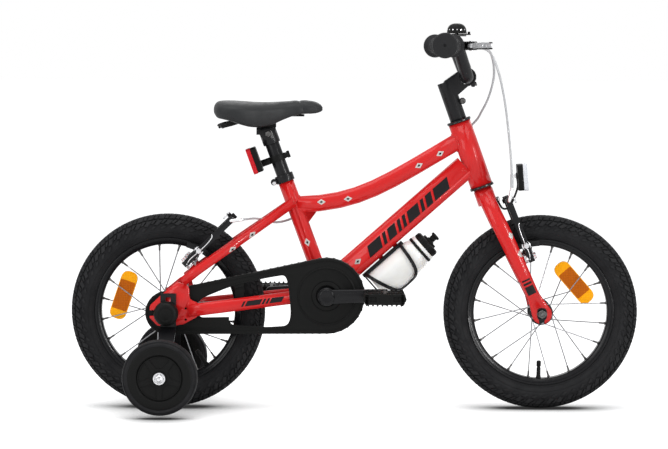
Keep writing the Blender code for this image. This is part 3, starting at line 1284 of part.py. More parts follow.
half_plate = SPROCKET_THICKNESS / 2
holes = [circle(CRANK.x, CRANK.z, BB_AXLE_RADIUS + GAP * 2, 14)]
for index in range(5):
    spot = CRANK_ANGLE + math.radians(36 + 72 * index)
    holes.append(circle(CRANK.x + 0.0370 * math.cos(spot), CRANK.z + 0.0370 * math.sin(spot), 0.0125, 8))
chainring = side_plate("chainring", tooth_outline(CRANK, CHAINRING_TEETH, ring_seat()), CHAIN_PLANE - half_plate,
                       CHAIN_PLANE + half_plate, RIGHT, BLACK, holes)
finish(chainring, "chainring", BLACK)

cog = side_plate("cog", tooth_outline(REAR, COG_TEETH, cog_seat()), CHAIN_PLANE - half_plate,
                 CHAIN_PLANE + half_plate, RIGHT, STEEL)
COG_BODY_RADIUS = 0.0185
cog_inner, cog_outer = REAR - Y_AXIS * (REAR_HUB_HALF + GAP), REAR - Y_AXIS * COG_HUB_END
cog = join(cog, rod("body", cog_inner, cog_outer, COG_BODY_RADIUS, STEEL, 14))
cog_bore = AXLE_RADIUS + AXLE_CLEARANCE
cog = cut(cog, rod("cutter", REAR - Y_AXIS * 0.02, REAR - Y_AXIS * 0.06, cog_bore, STEEL, 10))
finish(cog, "rear_sprocket", STEEL)


# Chain guard
def guard_hull(grow):
    """The guard's outline: two circles and the straight edges that touch both."""
    front = RING_RADIUS + PLATE_HALF_HEIGHT - GUARD_INSET + grow
    back = COG_RADIUS + PLATE_HALF_HEIGHT - GUARD_INSET + 0.0010 + grow
    span = CRANK - REAR
    line = math.atan2(span.z, span.x)
    turn = math.asin((front - back) / span.length)
    top = line + math.pi / 2 + turn
    bottom = line - math.pi / 2 - turn
    points = [(CRANK.x + front * math.cos(a), CRANK.z + front * math.sin(a))
              for a in np.linspace(bottom, top, 18)]
    points += [(REAR.x + back * math.cos(a), REAR.z + back * math.sin(a))
               for a in np.linspace(top, bottom + 2.0 * math.pi, 11)]
    return points


# The window, from the rear axle: (ahead, up) of each corner, and the corners' radii
WINDOW_CORNERS = [(0.0507, 0.0147), (0.0662, 0.0277), (0.1137, 0.0474), (0.1707, 0.0617),
                  (0.2117, 0.0687), (0.2172, 0.0527), (0.2227, -0.0033), (0.2167, -0.0228),
                  (0.1777, -0.0253), (0.1167, -0.0213), (0.1117, -0.0143), (0.1117, -0.0073),
                  (0.0597, -0.0083)]
WINDOW_RADII = [0.004, 0.006, 0.02, 0.02, 0.008, 0.012, 0.02, 0.010, 0.01, 0.004, 0.001, 0.0015, 0.006]
GUARD_WINDOW = rounded([(REAR.x + ahead, REAR.z + up) for ahead, up in WINDOW_CORNERS], WINDOW_RADII, 1)
GUARD_HOLE = 0.0180
GUARD_DISH = 0.0525               # radius of the raised disc round the crank
STRAP_AHEAD = 0.1217              # the guard's strap behind the chain stay, from the rear axle
STRAP_WIDTH = 0.0160
GUARD_SKIRT = CHAIN_PLANE + CHAIN_HALF_WIDTH + 0.0008
GUARD_PLATE = GUARD_FACE - GUARD_WALL


def make_guard():
    face = side_plate("face", guard_hull(0.0), GUARD_SKIRT, GUARD_FACE, RIGHT, BLACK)
    hollow = side_plate("cutter", guard_hull(-0.0030), GUARD_SKIRT - 0.01, GUARD_PLATE, RIGHT, BLACK)
    guard = cut(face, hollow)
    dish = [(GUARD_HOLE, GUARD_PLATE + 0.0004), (GUARD_DISH, GUARD_PLATE + 0.0004), (GUARD_DISH, GUARD_FACE),
            (GUARD_DISH - 0.0025, GUARD_FACE + 0.0022), (GUARD_HOLE + 0.004, GUARD_FACE + 0.0022),
            (GUARD_HOLE, GUARD_FACE)]
    guard = join(guard, lathe("dish", dish, 24, BLACK, frame_at(CRANK, -Y_AXIS, WHEEL_SIDE)))
    window = side_plate("cutter", GUARD_WINDOW, GUARD_SKIRT - 0.01, GUARD_FACE + 0.01, RIGHT, BLACK)
    guard = cut(guard, window,
                side_plate("cutter", circle(CRANK.x, CRANK.z, GUARD_HOLE, 16), 0.03, 0.07, RIGHT, BLACK),
                side_plate("cutter", circle(REAR.x, REAR.z, 0.0125, 12), 0.03, 0.07, RIGHT, BLACK))
    strap_inner = stay_inner_face(REAR.x + 0.1407) - GAP
    back, fore = REAR.x + STRAP_AHEAD, REAR.x + STRAP_AHEAD + STRAP_WIDTH
    strap = [(back, REAR.z + 0.0027), (fore, REAR.z + 0.0027), (fore, REAR.z + 0.0517),
             (back, REAR.z + 0.0477)]
    guard = join(guard, side_plate("strap", strap, strap_inner - 0.0022, strap_inner, RIGHT, BLACK))
    foot = [(back, REAR.z + 0.0442), (fore, REAR.z + 0.0482), (fore, REAR.z + 0.0557),
            (back, REAR.z + 0.0512)]
    guard = join(guard, side_plate("foot", foot, strap_inner - 0.0022, GUARD_PLATE + 0.001, RIGHT, BLACK))
    for up in EYELET_UPS:
        boss = [Vector((REAR.x + EYELET_AHEAD, -y, REAR.z + up))
                for y in (GUARD_FACE - 0.001, REAR_DROPOUT_INSIDE - GAP)]
        guard = join(guard, rod("boss", boss[0], boss[1], 0.0040, BLACK, 6))
    return finish(guard, "chain_guard", BLACK)


def stay_inner_face(x):
    """How far out the right chain stay's inner face is at a place along it."""
    start, bend, end = chain_stay_path(RIGHT)
    share = (x - start.x) / (bend.x - start.x)
    return abs(start.y + (bend.y - start.y) * share) - CHAIN_STAY_WIDTH / 2 - 0.0010


guard = make_guard()


# Cranks and pedals
SLEEVE_RADIUS = BB_BORE - 0.0008
PEDAL_OUT = 0.1200                # middle of each pedal
PEDAL_BARREL = 0.0105


def bearing_sleeve():
    half = BB_SHELL_WIDTH / 2
    outline = [(BB_AXLE_RADIUS + AXLE_CLEARANCE, -half), (SLEEVE_RADIUS, -half), (SLEEVE_RADIUS, half + GAP),
               (BB_SHELL_RADIUS, half + GAP), (BB_SHELL_RADIUS - 0.001, half + 0.0026),
               (BB_AXLE_RADIUS + AXLE_CLEARANCE, half + 0.0026)]
    made = lathe("bottom_bracket", outline, 14, STEEL, frame_at(CRANK, -Y_AXIS, WHEEL_SIDE))
    return finish(made, "bottom_bracket", STEEL)


def crank_arm(side):
    """A forged arm with a domed cap at the crank axis; the pedal's spindle is fixed in its far end."""
    name = "crank_arm_right" if side == RIGHT else "crank_arm_left"
    angle = CRANK_ANGLE if side == RIGHT else CRANK_ANGLE + math.pi
    along = Vector((math.cos(angle), 0.0, math.sin(angle)))
    tip = CRANK + along * CRANK_LENGTH
    square = Vector((-along.z, 0.0, along.x))
    outline = []
    for centre, radius, start in ((CRANK, 0.0165, math.pi / 2), (tip, 0.0125, -math.pi / 2)):
        for step in range(7):
            a = start + math.pi * step / 6
            p = centre + along * radius * math.cos(a) + square * radius * math.sin(a)
            outline.append((p.x, p.z))
    arm = side_plate("arm", outline, CRANK_INSIDE, CRANK_INSIDE + CRANK_THICKNESS, side, BLACK)
    out = Y_AXIS * side
    inner = CHAIN_PLANE + half_plate + GAP if side == RIGHT else BB_SHELL_WIDTH / 2 + 0.006
    arm = join(arm, rod("boss", CRANK + out * inner, CRANK + out * (CRANK_INSIDE + 0.002), 0.0135, BLACK, 12))
    cap_at = CRANK_INSIDE + CRANK_THICKNESS
    arm = join(arm, rod("cap", CRANK + out * (cap_at - 0.001), CRANK + out * (cap_at + 0.0035), 0.0125, BLACK, 12,
                        0.0100))
    arm = join(arm, rod("spindle", tip + out * (CRANK_INSIDE + 0.004), tip + out * (PEDAL_OUT + 0.034),
                        PEDAL_SPINDLE_RADIUS, BLACK, 10))
    bore = rod("cutter", CRANK + out * (inner - 0.01), CRANK + out * (CRANK_INSIDE + 0.006),
               (BB_AXLE_RADIUS + GAP) / math.cos(math.pi / 12), BLACK, 12)
    return finish(cut(arm, bore), name, BLACK), tip


def pedal(side, tip):
    """A plastic pedal: a barrel on the spindle, a rounded frame and three bars either side."""
    name = "pedal_right" if side == RIGHT else "pedal_left"
    long = PEDAL_LENGTH / 2
    wide = PEDAL_WIDTH / 2
    rim = 0.0075
    outer = rounded([(-long, -wide), (long, -wide), (long, wide), (-long, wide)], 0.012, 2)
    windows = []
    for ahead in (-1, 1):
        for low, high in ((-wide + rim, -0.0035), (0.0035, wide - rim)):
            a = ahead * (PEDAL_BARREL - 0.001)
            b = ahead * (long - rim)
            windows.append([(min(a, b), low), (max(a, b), low), (max(a, b), high), (min(a, b), high)])
    half = PEDAL_HEIGHT / 2
    body = prism("frame", outer, -half, half, PLASTIC, None, windows)
    body = join(body, rod("barrel", (0, -wide, 0), (0, wide, 0), PEDAL_BARREL, PLASTIC, 10))
    body = cut(body, rod("cutter", (0, -side * (wide + 0.01), 0), (0, side * (wide - 0.0045), 0),
                         PEDAL_SPINDLE_RADIUS + PIN_CLEARANCE + 0.0003, PLASTIC, 8))
    spot = tip + Y_AXIS * side * PEDAL_OUT
    body.data.transform(Matrix.Translation(spot))
    return finish(body, name, PLASTIC)


sleeve = bearing_sleeve()
crank_right, tip_right = crank_arm(RIGHT)
crank_left, tip_left = crank_arm(LEFT)
spindle = rod("bottom_bracket_axle", CRANK - Y_AXIS * (CRANK_INSIDE + 0.0055),
              CRANK + Y_AXIS * (CRANK_INSIDE + 0.0055), BB_AXLE_RADIUS, STEEL, 12)
finish(spindle, "bottom_bracket_axle", STEEL)
pedal_right = pedal(RIGHT, tip_right)
pedal_left = pedal(LEFT, tip_left)


# Stabilisers and nut caps
STABILISER_AXLE = Vector((REAR.x - STABILISER_BEHIND, 0.0, STABILISER_LIFT + STABILISER_RADIUS))
BRACKET_INNER = REAR_DROPOUT_INSIDE + DROPOUT_THICKNESS + GAP
BRACKET_FOOT_OUT = STABILISER_OUT - STABILISER_WIDTH / 2 - 0.0080
BRACKET_TOP = 0.2110
NUT_CAP_RADIUS = 0.0220
NUT_CAP_DEPTH = 0.0210
NUT_CAP_WALL = 0.0022


def bracket(side):
    """Bent steel strip: flat on the dropout, sloping down and out, then flat beside the small wheel."""
    name = "stabiliser_bracket_left" if side == LEFT else "stabiliser_bracket_right"
    inner = BRACKET_INNER + BRACKET_THICKNESS / 2
    foot = BRACKET_FOOT_OUT + BRACKET_THICKNESS / 2
    path = [(REAR.x + 0.0035, side * inner, BRACKET_TOP), (REAR.x + 0.0035, side * inner, REAR.z - 0.0253),
            (REAR.x - 0.0005, side * foot, STABILISER_AXLE.z + 0.0235),
            (STABILISER_AXLE.x, side * foot, STABILISER_AXLE.z - 0.0165)]
    section = [(-BRACKET_WIDTH / 2, -BRACKET_THICKNESS / 2), (BRACKET_WIDTH / 2, -BRACKET_THICKNESS / 2),
               (BRACKET_WIDTH / 2, BRACKET_THICKNESS / 2), (-BRACKET_WIDTH / 2, BRACKET_THICKNESS / 2)]
    strip = sweep("strip", path, section, BLACK, Vector((1.0, 0.0, 0.0)))
    wide = 0.02
    cuts = [rod("cutter", REAR + Y_AXIS * side * (inner - wide), REAR + Y_AXIS * side * (inner + wide),
                AXLE_RADIUS + AXLE_CLEARANCE, BLACK, 12)]
    window = [(REAR.x - 0.0010, 0.1960), (REAR.x + 0.0080, 0.1960), (REAR.x + 0.0080, 0.2040),
              (REAR.x - 0.0010, 0.2040)]
    cuts.append(side_plate("cutter", window, inner - wide, inner + wide, side, BLACK))
    return finish(join(cut(strip, *cuts), stabiliser_bolt(side)), name, BLACK)


def nut_cap(side):
    """The black plastic cap over the axle nut, open on the side of the wheel."""
    name = "axle_nut_cap_left" if side == LEFT else "axle_nut_cap_right"
    r = NUT_CAP_RADIUS
    d = NUT_CAP_DEPTH
    w = NUT_CAP_WALL
    outline = [(r - w, 0.0), (r, 0.0), (r, d * 0.55), (r * 0.88, d * 0.86), (r * 0.60, d), (0.0, d),
               (0.0, d - w), (r * 0.55, d - w), (r * 0.84 - w, d * 0.80), (r - w, d * 0.50)]
    start = REAR + Y_AXIS * side * (BRACKET_INNER + BRACKET_THICKNESS + GAP)
    made = lathe(name, outline, 16, PLASTIC, frame_at(start, Y_AXIS * side, WHEEL_SIDE))
    return finish(made, name, PLASTIC)


def stabiliser_bolt(side):
    """Head inside the bracket, washer between bracket and wheel, nut outside the wheel."""
    r = STABILISER_BOLT_RADIUS
    face = BRACKET_FOOT_OUT + 0.001
    washer = BRACKET_FOOT_OUT + BRACKET_THICKNESS - 0.001
    hub_in = STABILISER_OUT - STABILISER_WIDTH / 2
    hub_out = STABILISER_OUT + STABILISER_WIDTH / 2 + GAP
    outline = [(0.0, face - 0.0045), (0.0085, face - 0.0045), (0.0085, face), (r, face), (r, washer),
               (0.0090, washer), (0.0090, hub_in - GAP), (r, hub_in - GAP), (r, hub_out), (0.0080, hub_out),
               (0.0080, hub_out + 0.0055), (r * 0.9, hub_out + 0.0060), (r * 0.9, hub_out + 0.0085),
               (0.0, hub_out + 0.0085)]
    return lathe("bolt", outline, 10, STEEL, frame_at(STABILISER_AXLE, Y_AXIS * side, WHEEL_SIDE))


def stabiliser_wheel(side):
    """A solid plastic wheel with a rubber-like tread and five pockets in its outer face."""
    name = "stabiliser_wheel_left" if side == LEFT else "stabiliser_wheel_right"
    h = STABILISER_WIDTH / 2
    R = STABILISER_RADIUS
    bore = bore_for(STABILISER_BOLT_RADIUS, 22)
    outline = [(bore, h), (0.0130, h), (0.0150, h * 0.55), (R - 0.0160, h * 0.55), (R - 0.0110, h * 0.92),
               (R - 0.0045, h * 0.85), (R, h * 0.40), (R, -h * 0.40), (R - 0.0045, -h * 0.85),
               (R - 0.0110, -h * 0.92), (R - 0.0160, -h * 0.30), (0.0140, -h * 0.30), (0.0130, -h), (bore, -h)]
    made = lathe(name, outline, 22, PLASTIC, frame_at(Vector((0.0, 0.0, 0.0)), Y_AXIS * side, WHEEL_SIDE))
    for index in range(5):
        middle = math.radians(90 + 72 * index)
        corners = []
        for radius, spread in ((0.0185, 0.42), (0.0430, 0.50)):
            for sign in (-1, 1):
                a = middle + spread * sign * (1 if radius < 0.03 else -1)
                corners.append((radius * math.cos(a), radius * math.sin(a)))
        pocket = side_plate("cutter", corners, 0.0, 0.02, side, PLASTIC)
        pocket.data.transform(Matrix.Translation((0.0, side * h * 0.15, 0.0)))
        made = cut(made, pocket)
    made.data.transform(Matrix.Translation(STABILISER_AXLE + Y_AXIS * side * STABILISER_OUT))
    return finish(made, name, PLASTIC)


for side in (LEFT, RIGHT):
    bracket(side)
    nut_cap(side)
    wheel_obj = stabiliser_wheel(side)
    spot = STABILISER_AXLE + Y_AXIS * side * STABILISER_OUT
    carry(joint_empty(wheel_obj.name + "_spin", spot), wheel_obj)


# Seat
POST_TOP = SEAT_TOP + SEAT_UP * POST_EXPOSED
RING_WALL = 0.0030


def seat_collar():
    """The quick clamp round the seat tube's top, with its pinched ears at the back."""
    inner = bore_for(SEAT_TUBE_RADIUS, 16)
    outer = SEAT_TUBE_RADIUS + COLLAR_WALL + GAP
    low = SEAT_TOP - SEAT_UP * COLLAR_HEIGHT
    collar = rod("ring", low, SEAT_TOP, outer, BLACK, 16)
    ear = SEAT_TOP + SEAT_BACK * (outer + 0.0035) - SEAT_UP * COLLAR_HEIGHT * 0.5
    wide = Y_AXIS * 0.0095
    collar = join(collar, rod("ear", ear - wide, ear + wide, 0.0060, BLACK, 10))
    collar = cut(collar, rod("cutter", low - SEAT_UP * 0.01, SEAT_TOP + SEAT_UP * 0.01, inner, BLACK, 16))
    return finish(collar, "seat_clamp", BLACK)


seat_collar()
seat_post = rod("seat_post", SEAT_TOP - SEAT_UP * POST_INSERTED, POST_TOP, POST_RADIUS, BLACK, 16)
finish(seat_post, "seat_post", BLACK)


# Saddle: stations from tail to nose, from the top of the post: (ahead, top, lower edge, half width)
SADDLE_STATIONS = [
    (-0.0967, 0.0487, 0.0387, 0.0330), (-0.0945, 0.0532, 0.0342, 0.0470), (-0.0890, 0.0572, 0.0282, 0.0580),
    (-0.0790, 0.0585, 0.0257, 0.0665), (-0.0640, 0.0585, 0.0222, 0.0705), (-0.0470, 0.0576, 0.0192, 0.0690),
    (-0.0290, 0.0564, 0.0137, 0.0620), (-0.0110, 0.0558, 0.0132, 0.0520), (0.0080, 0.0562, 0.0172, 0.0420),
    (0.0260, 0.0572, 0.0247, 0.0330), (0.0434, 0.0584, 0.0312, 0.0275), (0.0580, 0.0592, 0.0347, 0.0250),
    (0.0720, 0.0590, 0.0357, 0.0230), (0.0850, 0.0567, 0.0362, 0.0195), (0.0935, 0.0522, 0.0387, 0.0140),
    (0.0975, 0.0472, 0.0412, 0.0075)]


def seat_point(ahead, out, up):
    """A place under the saddle, from the top of the post."""
    return Vector((POST_TOP.x + ahead, out, POST_TOP.z + up))


def saddle_section(top, low, half_width):
    """Crowned on top, drawn in at the sides, and flat underneath."""
    crown = min(0.0090, (top - low) * 0.35)
    shape = [(0.0, 1.0), (0.32, 0.985), (0.60, 0.90), (0.82, 0.72), (0.96, 0.40), (1.0, 0.0)]
    upper = []
    for across, lift in shape:
        upper.append((across * half_width, top - crown * 1.9 * (1.0 - lift) * (0.55 + 0.45 * across)))
    side_low = low + (top - low) * 0.12
    right = upper + [(half_width * 0.975, (upper[-1][1] + side_low) / 2), (half_width * 0.90, side_low),
                     (half_width * 0.80, low), (half_width * 0.40, low + (top - low) * 0.04)]
    full = right + [(0.0, low + (top - low) * 0.06)] + [(-y, z) for y, z in reversed(right[1:])]
    return full


def make_saddle():
    bm = bmesh.new()
    rings = []
    for ahead, top, low, half_width in SADDLE_STATIONS:
        rings.append([bm.verts.new(seat_point(ahead, y, z)) for y, z in saddle_section(top, low, half_width)])
    for a, b in zip(rings, rings[1:]):
        count = len(a)
        for step in range(count):
            nxt = (step + 1) % count
            bm.faces.new((a[step], a[nxt], b[nxt], b[step]))
    bm.faces.new(rings[0])
    bm.faces.new(rings[-1])
    return from_bmesh(bm, "saddle", SADDLE_COVER)


CLAMP_RISE = 0.0102               # the clamp's flat top above the post
CLAMP_BACK = 0.0040
CLAMP_HALF = 0.0170
TUNNEL_RISE = 0.0342              # roof of the hollow under the saddle, above the post
CLAMP_TOP = POST_TOP.z + CLAMP_RISE
CLAMP_X = POST_TOP.x - CLAMP_BACK
TUNNEL_TOP = POST_TOP.z + TUNNEL_RISE
PAN_THICKNESS = 0.0035
HOLLOW_LEFT = [(-0.0820, 0.0400), (-0.0340, 0.0400), (0.0110, 0.0220), (0.0660, 0.0120)]


def make_saddle_parts():
    """The padded cover with a hollow below it, and the plastic pan that fills the hollow."""
    cover = make_saddle()
    full = [(x, -y) for x, y in HOLLOW_LEFT] + list(reversed(HOLLOW_LEFT))
    hollow = rounded([(POST_TOP.x + x, y) for x, y in full], 0.004, 1)
    cover = cut(cover, prism("cutter", hollow, POST_TOP.z, TUNNEL_TOP, SADDLE_COVER))
    middle = sum(x for x, y in hollow) / len(hollow)
    inset = [(middle + (x - middle) * 0.985, y * 0.972) for x, y in hollow]
    pan = prism("pan", inset, TUNNEL_TOP - PAN_THICKNESS - GAP, TUNNEL_TOP - GAP, PLASTIC)
    loop = [seat_point(-0.0490, 0.0330, TUNNEL_RISE - 0.0020), seat_point(-0.0520, 0.0330, 0.0212),
            seat_point(-0.0660, 0.0320, 0.0172), seat_point(-0.0800, 0.0230, 0.0137),
            seat_point(-0.0840, 0.0, 0.0127)]
    path = loop + [Vector((p.x, -p.y, p.z)) for p in reversed(loop[:-1])]
    handle = sweep("handle", path, oval(0.0045, 0.0045, 8), PLASTIC, UP)
    leg = CLAMP_HALF + 0.0010
    legs = [(CLAMP_X - leg, -0.0130), (CLAMP_X + leg, -0.0130), (CLAMP_X + leg, 0.0130),
            (CLAMP_X - leg, 0.0130)]
    bracket_legs = prism("legs", legs, CLAMP_TOP + GAP, TUNNEL_TOP - PAN_THICKNESS + 0.0005, PLASTIC)
    pan = join(pan, bracket_legs, handle)
    finish(cover, "saddle", SADDLE_COVER)
    finish(pan, "saddle_pan", PLASTIC)


make_saddle_parts()


def saddle_clamp():
    """The clamp at the top of the post: a sleeve, a cross bolt with its washers, and a flat top."""
    low = POST_TOP - SEAT_UP * 0.0200
    sleeve = rod("sleeve", low, POST_TOP + SEAT_UP * 0.0040, POST_RADIUS + 0.0032, BLACK, 16)
    barrel_at = Vector((CLAMP_X, 0.0, CLAMP_TOP - 0.0110))
    wide = Y_AXIS * 0.0200
    made = join(sleeve, rod("barrel", barrel_at - wide, barrel_at + wide, 0.0105, BLACK, 12))
    half = CLAMP_HALF
    top = [(CLAMP_X - half, -0.0120), (CLAMP_X + half, -0.0120), (CLAMP_X + half, 0.0120),
           (CLAMP_X - half, 0.0120)]
    made = join(made, prism("top", top, CLAMP_TOP - 0.0130, CLAMP_TOP, BLACK))
    bore = rod("cutter", low - SEAT_UP * 0.01, POST_TOP + SEAT_UP * GAP, bore_for(POST_RADIUS, 16), BLACK, 16)
    made = cut(made, bore)
    return finish(made, "saddle_clamp", BLACK)


saddle_clamp()


# Rear reflector on the seat post
REFLECTOR_RING = SEAT_TOP + SEAT_UP * 0.0322
REFLECTOR_HALF_DEPTH = 0.0095


def rear_reflector():
    middle = REFLECTOR_RING + SEAT_BACK * 0.0398 + SEAT_UP * 0.0104
    turn = Matrix((SEAT_BACK, Y_AXIS, SEAT_UP)).transposed().to_4x4()
    place = Matrix.Translation(middle) @ turn
    shape = rounded([(-0.0250, -0.0240), (0.0250, -0.0240), (0.0250, 0.0240), (-0.0250, 0.0240)], 0.0080, 2)
    lift = Matrix.Rotation(math.pi / 2, 4, Y_AXIS) @ Matrix.Rotation(math.pi / 2, 4, UP)
    shell = prism("shell", shape, -REFLECTOR_HALF_DEPTH, REFLECTOR_HALF_DEPTH, RED_LENS)
    shell.data.transform(place @ lift)
    shell = upright(shell)
    return finish(shell, "rear_reflector", RED_LENS)


def rear_reflector_bracket():
    centre = REFLECTOR_RING
    height = SEAT_UP * 0.0055
    made = rod("ring", centre - height, centre + height, POST_RADIUS + RING_WALL, PLASTIC, 16)
    arm = centre + SEAT_BACK * 0.0090
    back = centre + SEAT_BACK * 0.0300
    made = join(made, rod("arm", arm, back, 0.0065, PLASTIC, 10))
    bolt = centre - SEAT_BACK * (POST_RADIUS + 0.0045)
    wide = Y_AXIS * 0.0080
    made = join(made, rod("ears", bolt - wide, bolt + wide, 0.0050, PLASTIC, 8))
    bore = bore_for(POST_RADIUS, 16)
    made = cut(made, rod("cutter", centre - height * 2, centre + height * 2, bore, PLASTIC, 16))
    return finish(made, "rear_reflector_bracket", PLASTIC)


rear_reflector()
rear_reflector_bracket()


# Front reflector on the fork crown
FRONT_REFLECTOR_LEAN = math.radians(94.32)


def front_reflector():
    lean = FRONT_REFLECTOR_LEAN
    middle = HEAD_LOWER + Vector((0.0737, 0.0, 0.0153))
    along = Vector((math.cos(lean), 0.0, math.sin(lean)))
    ahead = Vector((along.z, 0.0, -along.x))
    turn = Matrix((Y_AXIS, along, Y_AXIS.cross(along))).transposed().to_4x4()
    shape = rounded([(-0.0245, -0.0245), (0.0245, -0.0245), (0.0245, 0.0245), (-0.0245, 0.0245)], 0.0080, 2)
    body = prism("body", shape, -REFLECTOR_HALF_DEPTH, REFLECTOR_HALF_DEPTH, CLEAR)
    body.data.transform(Matrix.Translation(middle) @ turn)
    upright(body)
    back = middle - ahead * REFLECTOR_HALF_DEPTH
    rest = back - ahead * (0.0012 + GAP)
    crown = [(0.0290, -0.0242), (0.0315, -0.0312), (0.0389, -0.0422), (0.0539, -0.0377)]
    path = [HEAD_LOWER + Vector((ahead_of, 0.0, up)) for ahead_of, up in crown]
    path += [rest - along * 0.0360, rest - along * 0.0180, rest + along * 0.0040]
    section = [(-0.0060, -0.0012), (0.0060, -0.0012), (0.0060, 0.0012), (-0.0060, 0.0012)]
    strip = sweep("strip", path, section, STEEL)
    finish(body, "front_reflector", CLEAR)
    finish(strip, "front_reflector_bracket", STEEL)


front_reflector()


# Bottle and cage
BOTTLE_DROP = DOWN_TUBE_HEIGHT / 2 + BOTTLE_GAP + BOTTLE_RADIUS
BOTTLE_FOOT = DOWN_FOOT + DOWN_DIR * BOTTLE_PLACE - DOWN_UP * BOTTLE_DROP


def make_bottle():
    """Body with a grip band near its neck and a screwed-on cap; the nozzle slides in the cap."""
    r = BOTTLE_RADIUS
    neck = BOTTLE_LENGTH
    outline = [(0.0, 0.0), (r - 0.004, 0.0), (r, 0.004), (r, neck - 0.016), (0.0253, neck - 0.012),
               (0.0253, neck - 0.007), (r * 0.95, neck - 0.004), (0.0245, neck + 0.0005),
               (0.0230, neck + 0.001), (0.0230, neck + 0.0105), (0.0210, neck + 0.013),
               (0.0075, neck + 0.014), (0.0075, neck + 0.017), (0.0050, neck + 0.017),
               (0.0050, neck + 0.012), (0.0, neck + 0.012)]
    made = lathe("water_bottle", outline, 18, MILK, frame_at(BOTTLE_FOOT, DOWN_DIR))
    return finish(made, "water_bottle", MILK)


def make_nozzle():
    neck = BOTTLE_LENGTH
    outline = [(0.0, neck + 0.0126), (0.0045, neck + 0.0126), (0.0045, neck + 0.0174),
               (0.0064, neck + 0.0174), (0.0064, neck + 0.0240), (0.0084, neck + 0.0265),
               (0.0084, neck + 0.0290), (0.0060, neck + 0.0300), (0.0, neck + 0.0300)]
    made = lathe("bottle_nozzle", outline, 14, PLASTIC, frame_at(BOTTLE_FOOT, DOWN_DIR))
    return finish(made, "bottle_nozzle", PLASTIC)


CAGE_LOOP = [(15, 82.0), (78, 80.0), (150, 72.0), (176, 62.0), (176, 32.0), (110, 16.0), (54, 2.0), (15, 0.0)]


def make_cage():
    """Wire loops round the bottle from a strip on the down tube, with a foot under the bottle."""
    around = BOTTLE_RADIUS + CAGE_WIRE + 0.0014
    strip_low = DOWN_TUBE_HEIGHT / 2 + 0.0020 + GAP
    cage = None
    for side in (LEFT, RIGHT):
        path = []
        for (a0, d0), (a1, d1) in zip(CAGE_LOOP, CAGE_LOOP[1:]):
            steps = max(1, math.ceil(abs(a1 - a0) / 24.0))
            for step in range(steps):
                t = step / steps
                path.append((a0 + (a1 - a0) * t, d0 + (d1 - d0) * t))
        path.append(CAGE_LOOP[-1])
        points = []
        for angle, distance in path:
            turned = math.radians(angle)
            points.append(BOTTLE_FOOT + DOWN_DIR * distance / 1000.0 + DOWN_UP * around * math.cos(turned)
                          + Y_AXIS * side * around * math.sin(turned))
        loop = cord_solid(points, CAGE_WIRE, 6)
        cage = loop if cage is None else join(cage, loop)
    tangent = Matrix((Y_AXIS, DOWN_DIR, Y_AXIS.cross(DOWN_DIR))).transposed().to_4x4()
    strip = prism("strip", [(-0.0110, -0.0060), (0.0110, -0.0060), (0.0110, 0.0880), (-0.0110, 0.0880)],
                  -0.0012, 0.0018, BLACK)
    spine = BOTTLE_FOOT + DOWN_UP * (BOTTLE_DROP - strip_low - 0.0018)
    strip.data.transform(Matrix.Translation(spine) @ tangent)
    cage = join(cage, upright(strip))
    strip = [(-0.0080, 0.0), (0.0080, 0.0), (0.0080, 0.0420), (-0.0080, 0.0420)]
    foot = prism("foot", strip, 0.0, 0.0025, BLACK)
    axes = Matrix((Y_AXIS, -DOWN_UP, Y_AXIS.cross(-DOWN_UP))).transposed().to_4x4()
    foot.data.transform(Matrix.Translation(spine - DOWN_DIR * 0.0055) @ axes)
    cage = join(cage, upright(foot))
    return finish(cage, "bottle_cage", BLACK)


def cord_solid(points, radius, sides):
    """A round wire through points that may turn any way, its section carried on without twist."""
    bm = bmesh.new()
    rings = []
    lift = None
    for index, point in enumerate(points):
        before = points[max(index - 1, 0)]
        after = points[min(index + 1, len(points) - 1)]
        along = (after - before).normalized()
        start = along.orthogonal() if lift is None else lift - along * lift.dot(along)
        lift = start.normalized()
        across = along.cross(lift)
        rings.append([bm.verts.new(point + across * a + lift * b) for a, b in circle(0.0, 0.0, radius, sides)])
    for a, b in zip(rings, rings[1:]):
        for step in range(sides):
            bm.faces.new((a[step - 1], a[step], b[step], b[step - 1]))
    bm.faces.new(rings[0])
    bm.faces.new(rings[-1])
    return from_bmesh(bm, "wire", BLACK)


water_bottle = make_bottle()
bottle_nozzle = make_nozzle()
bottle_cage = make_cage()
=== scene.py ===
# %% [markdown]
# # A child's bicycle with stabilisers, dressed for its portrait
# The CAD model gives every solid its place and its joints. This lesson adds what the eye wants:
# finishes with fine detail, and finer shapes where the light CAD mesh is too coarse. It begins by
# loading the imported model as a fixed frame, in metres, with +X forward, +Y to the rider's left and
# +Z up. No CAD node is moved. A node either keeps its shape and gets a better finish, or hides
# behind a new piece that stands in the same place.

# %% Load the frame
import math

import bmesh
import bpy
from mathutils import Matrix, Vector
from mathutils.bvhtree import BVHTree


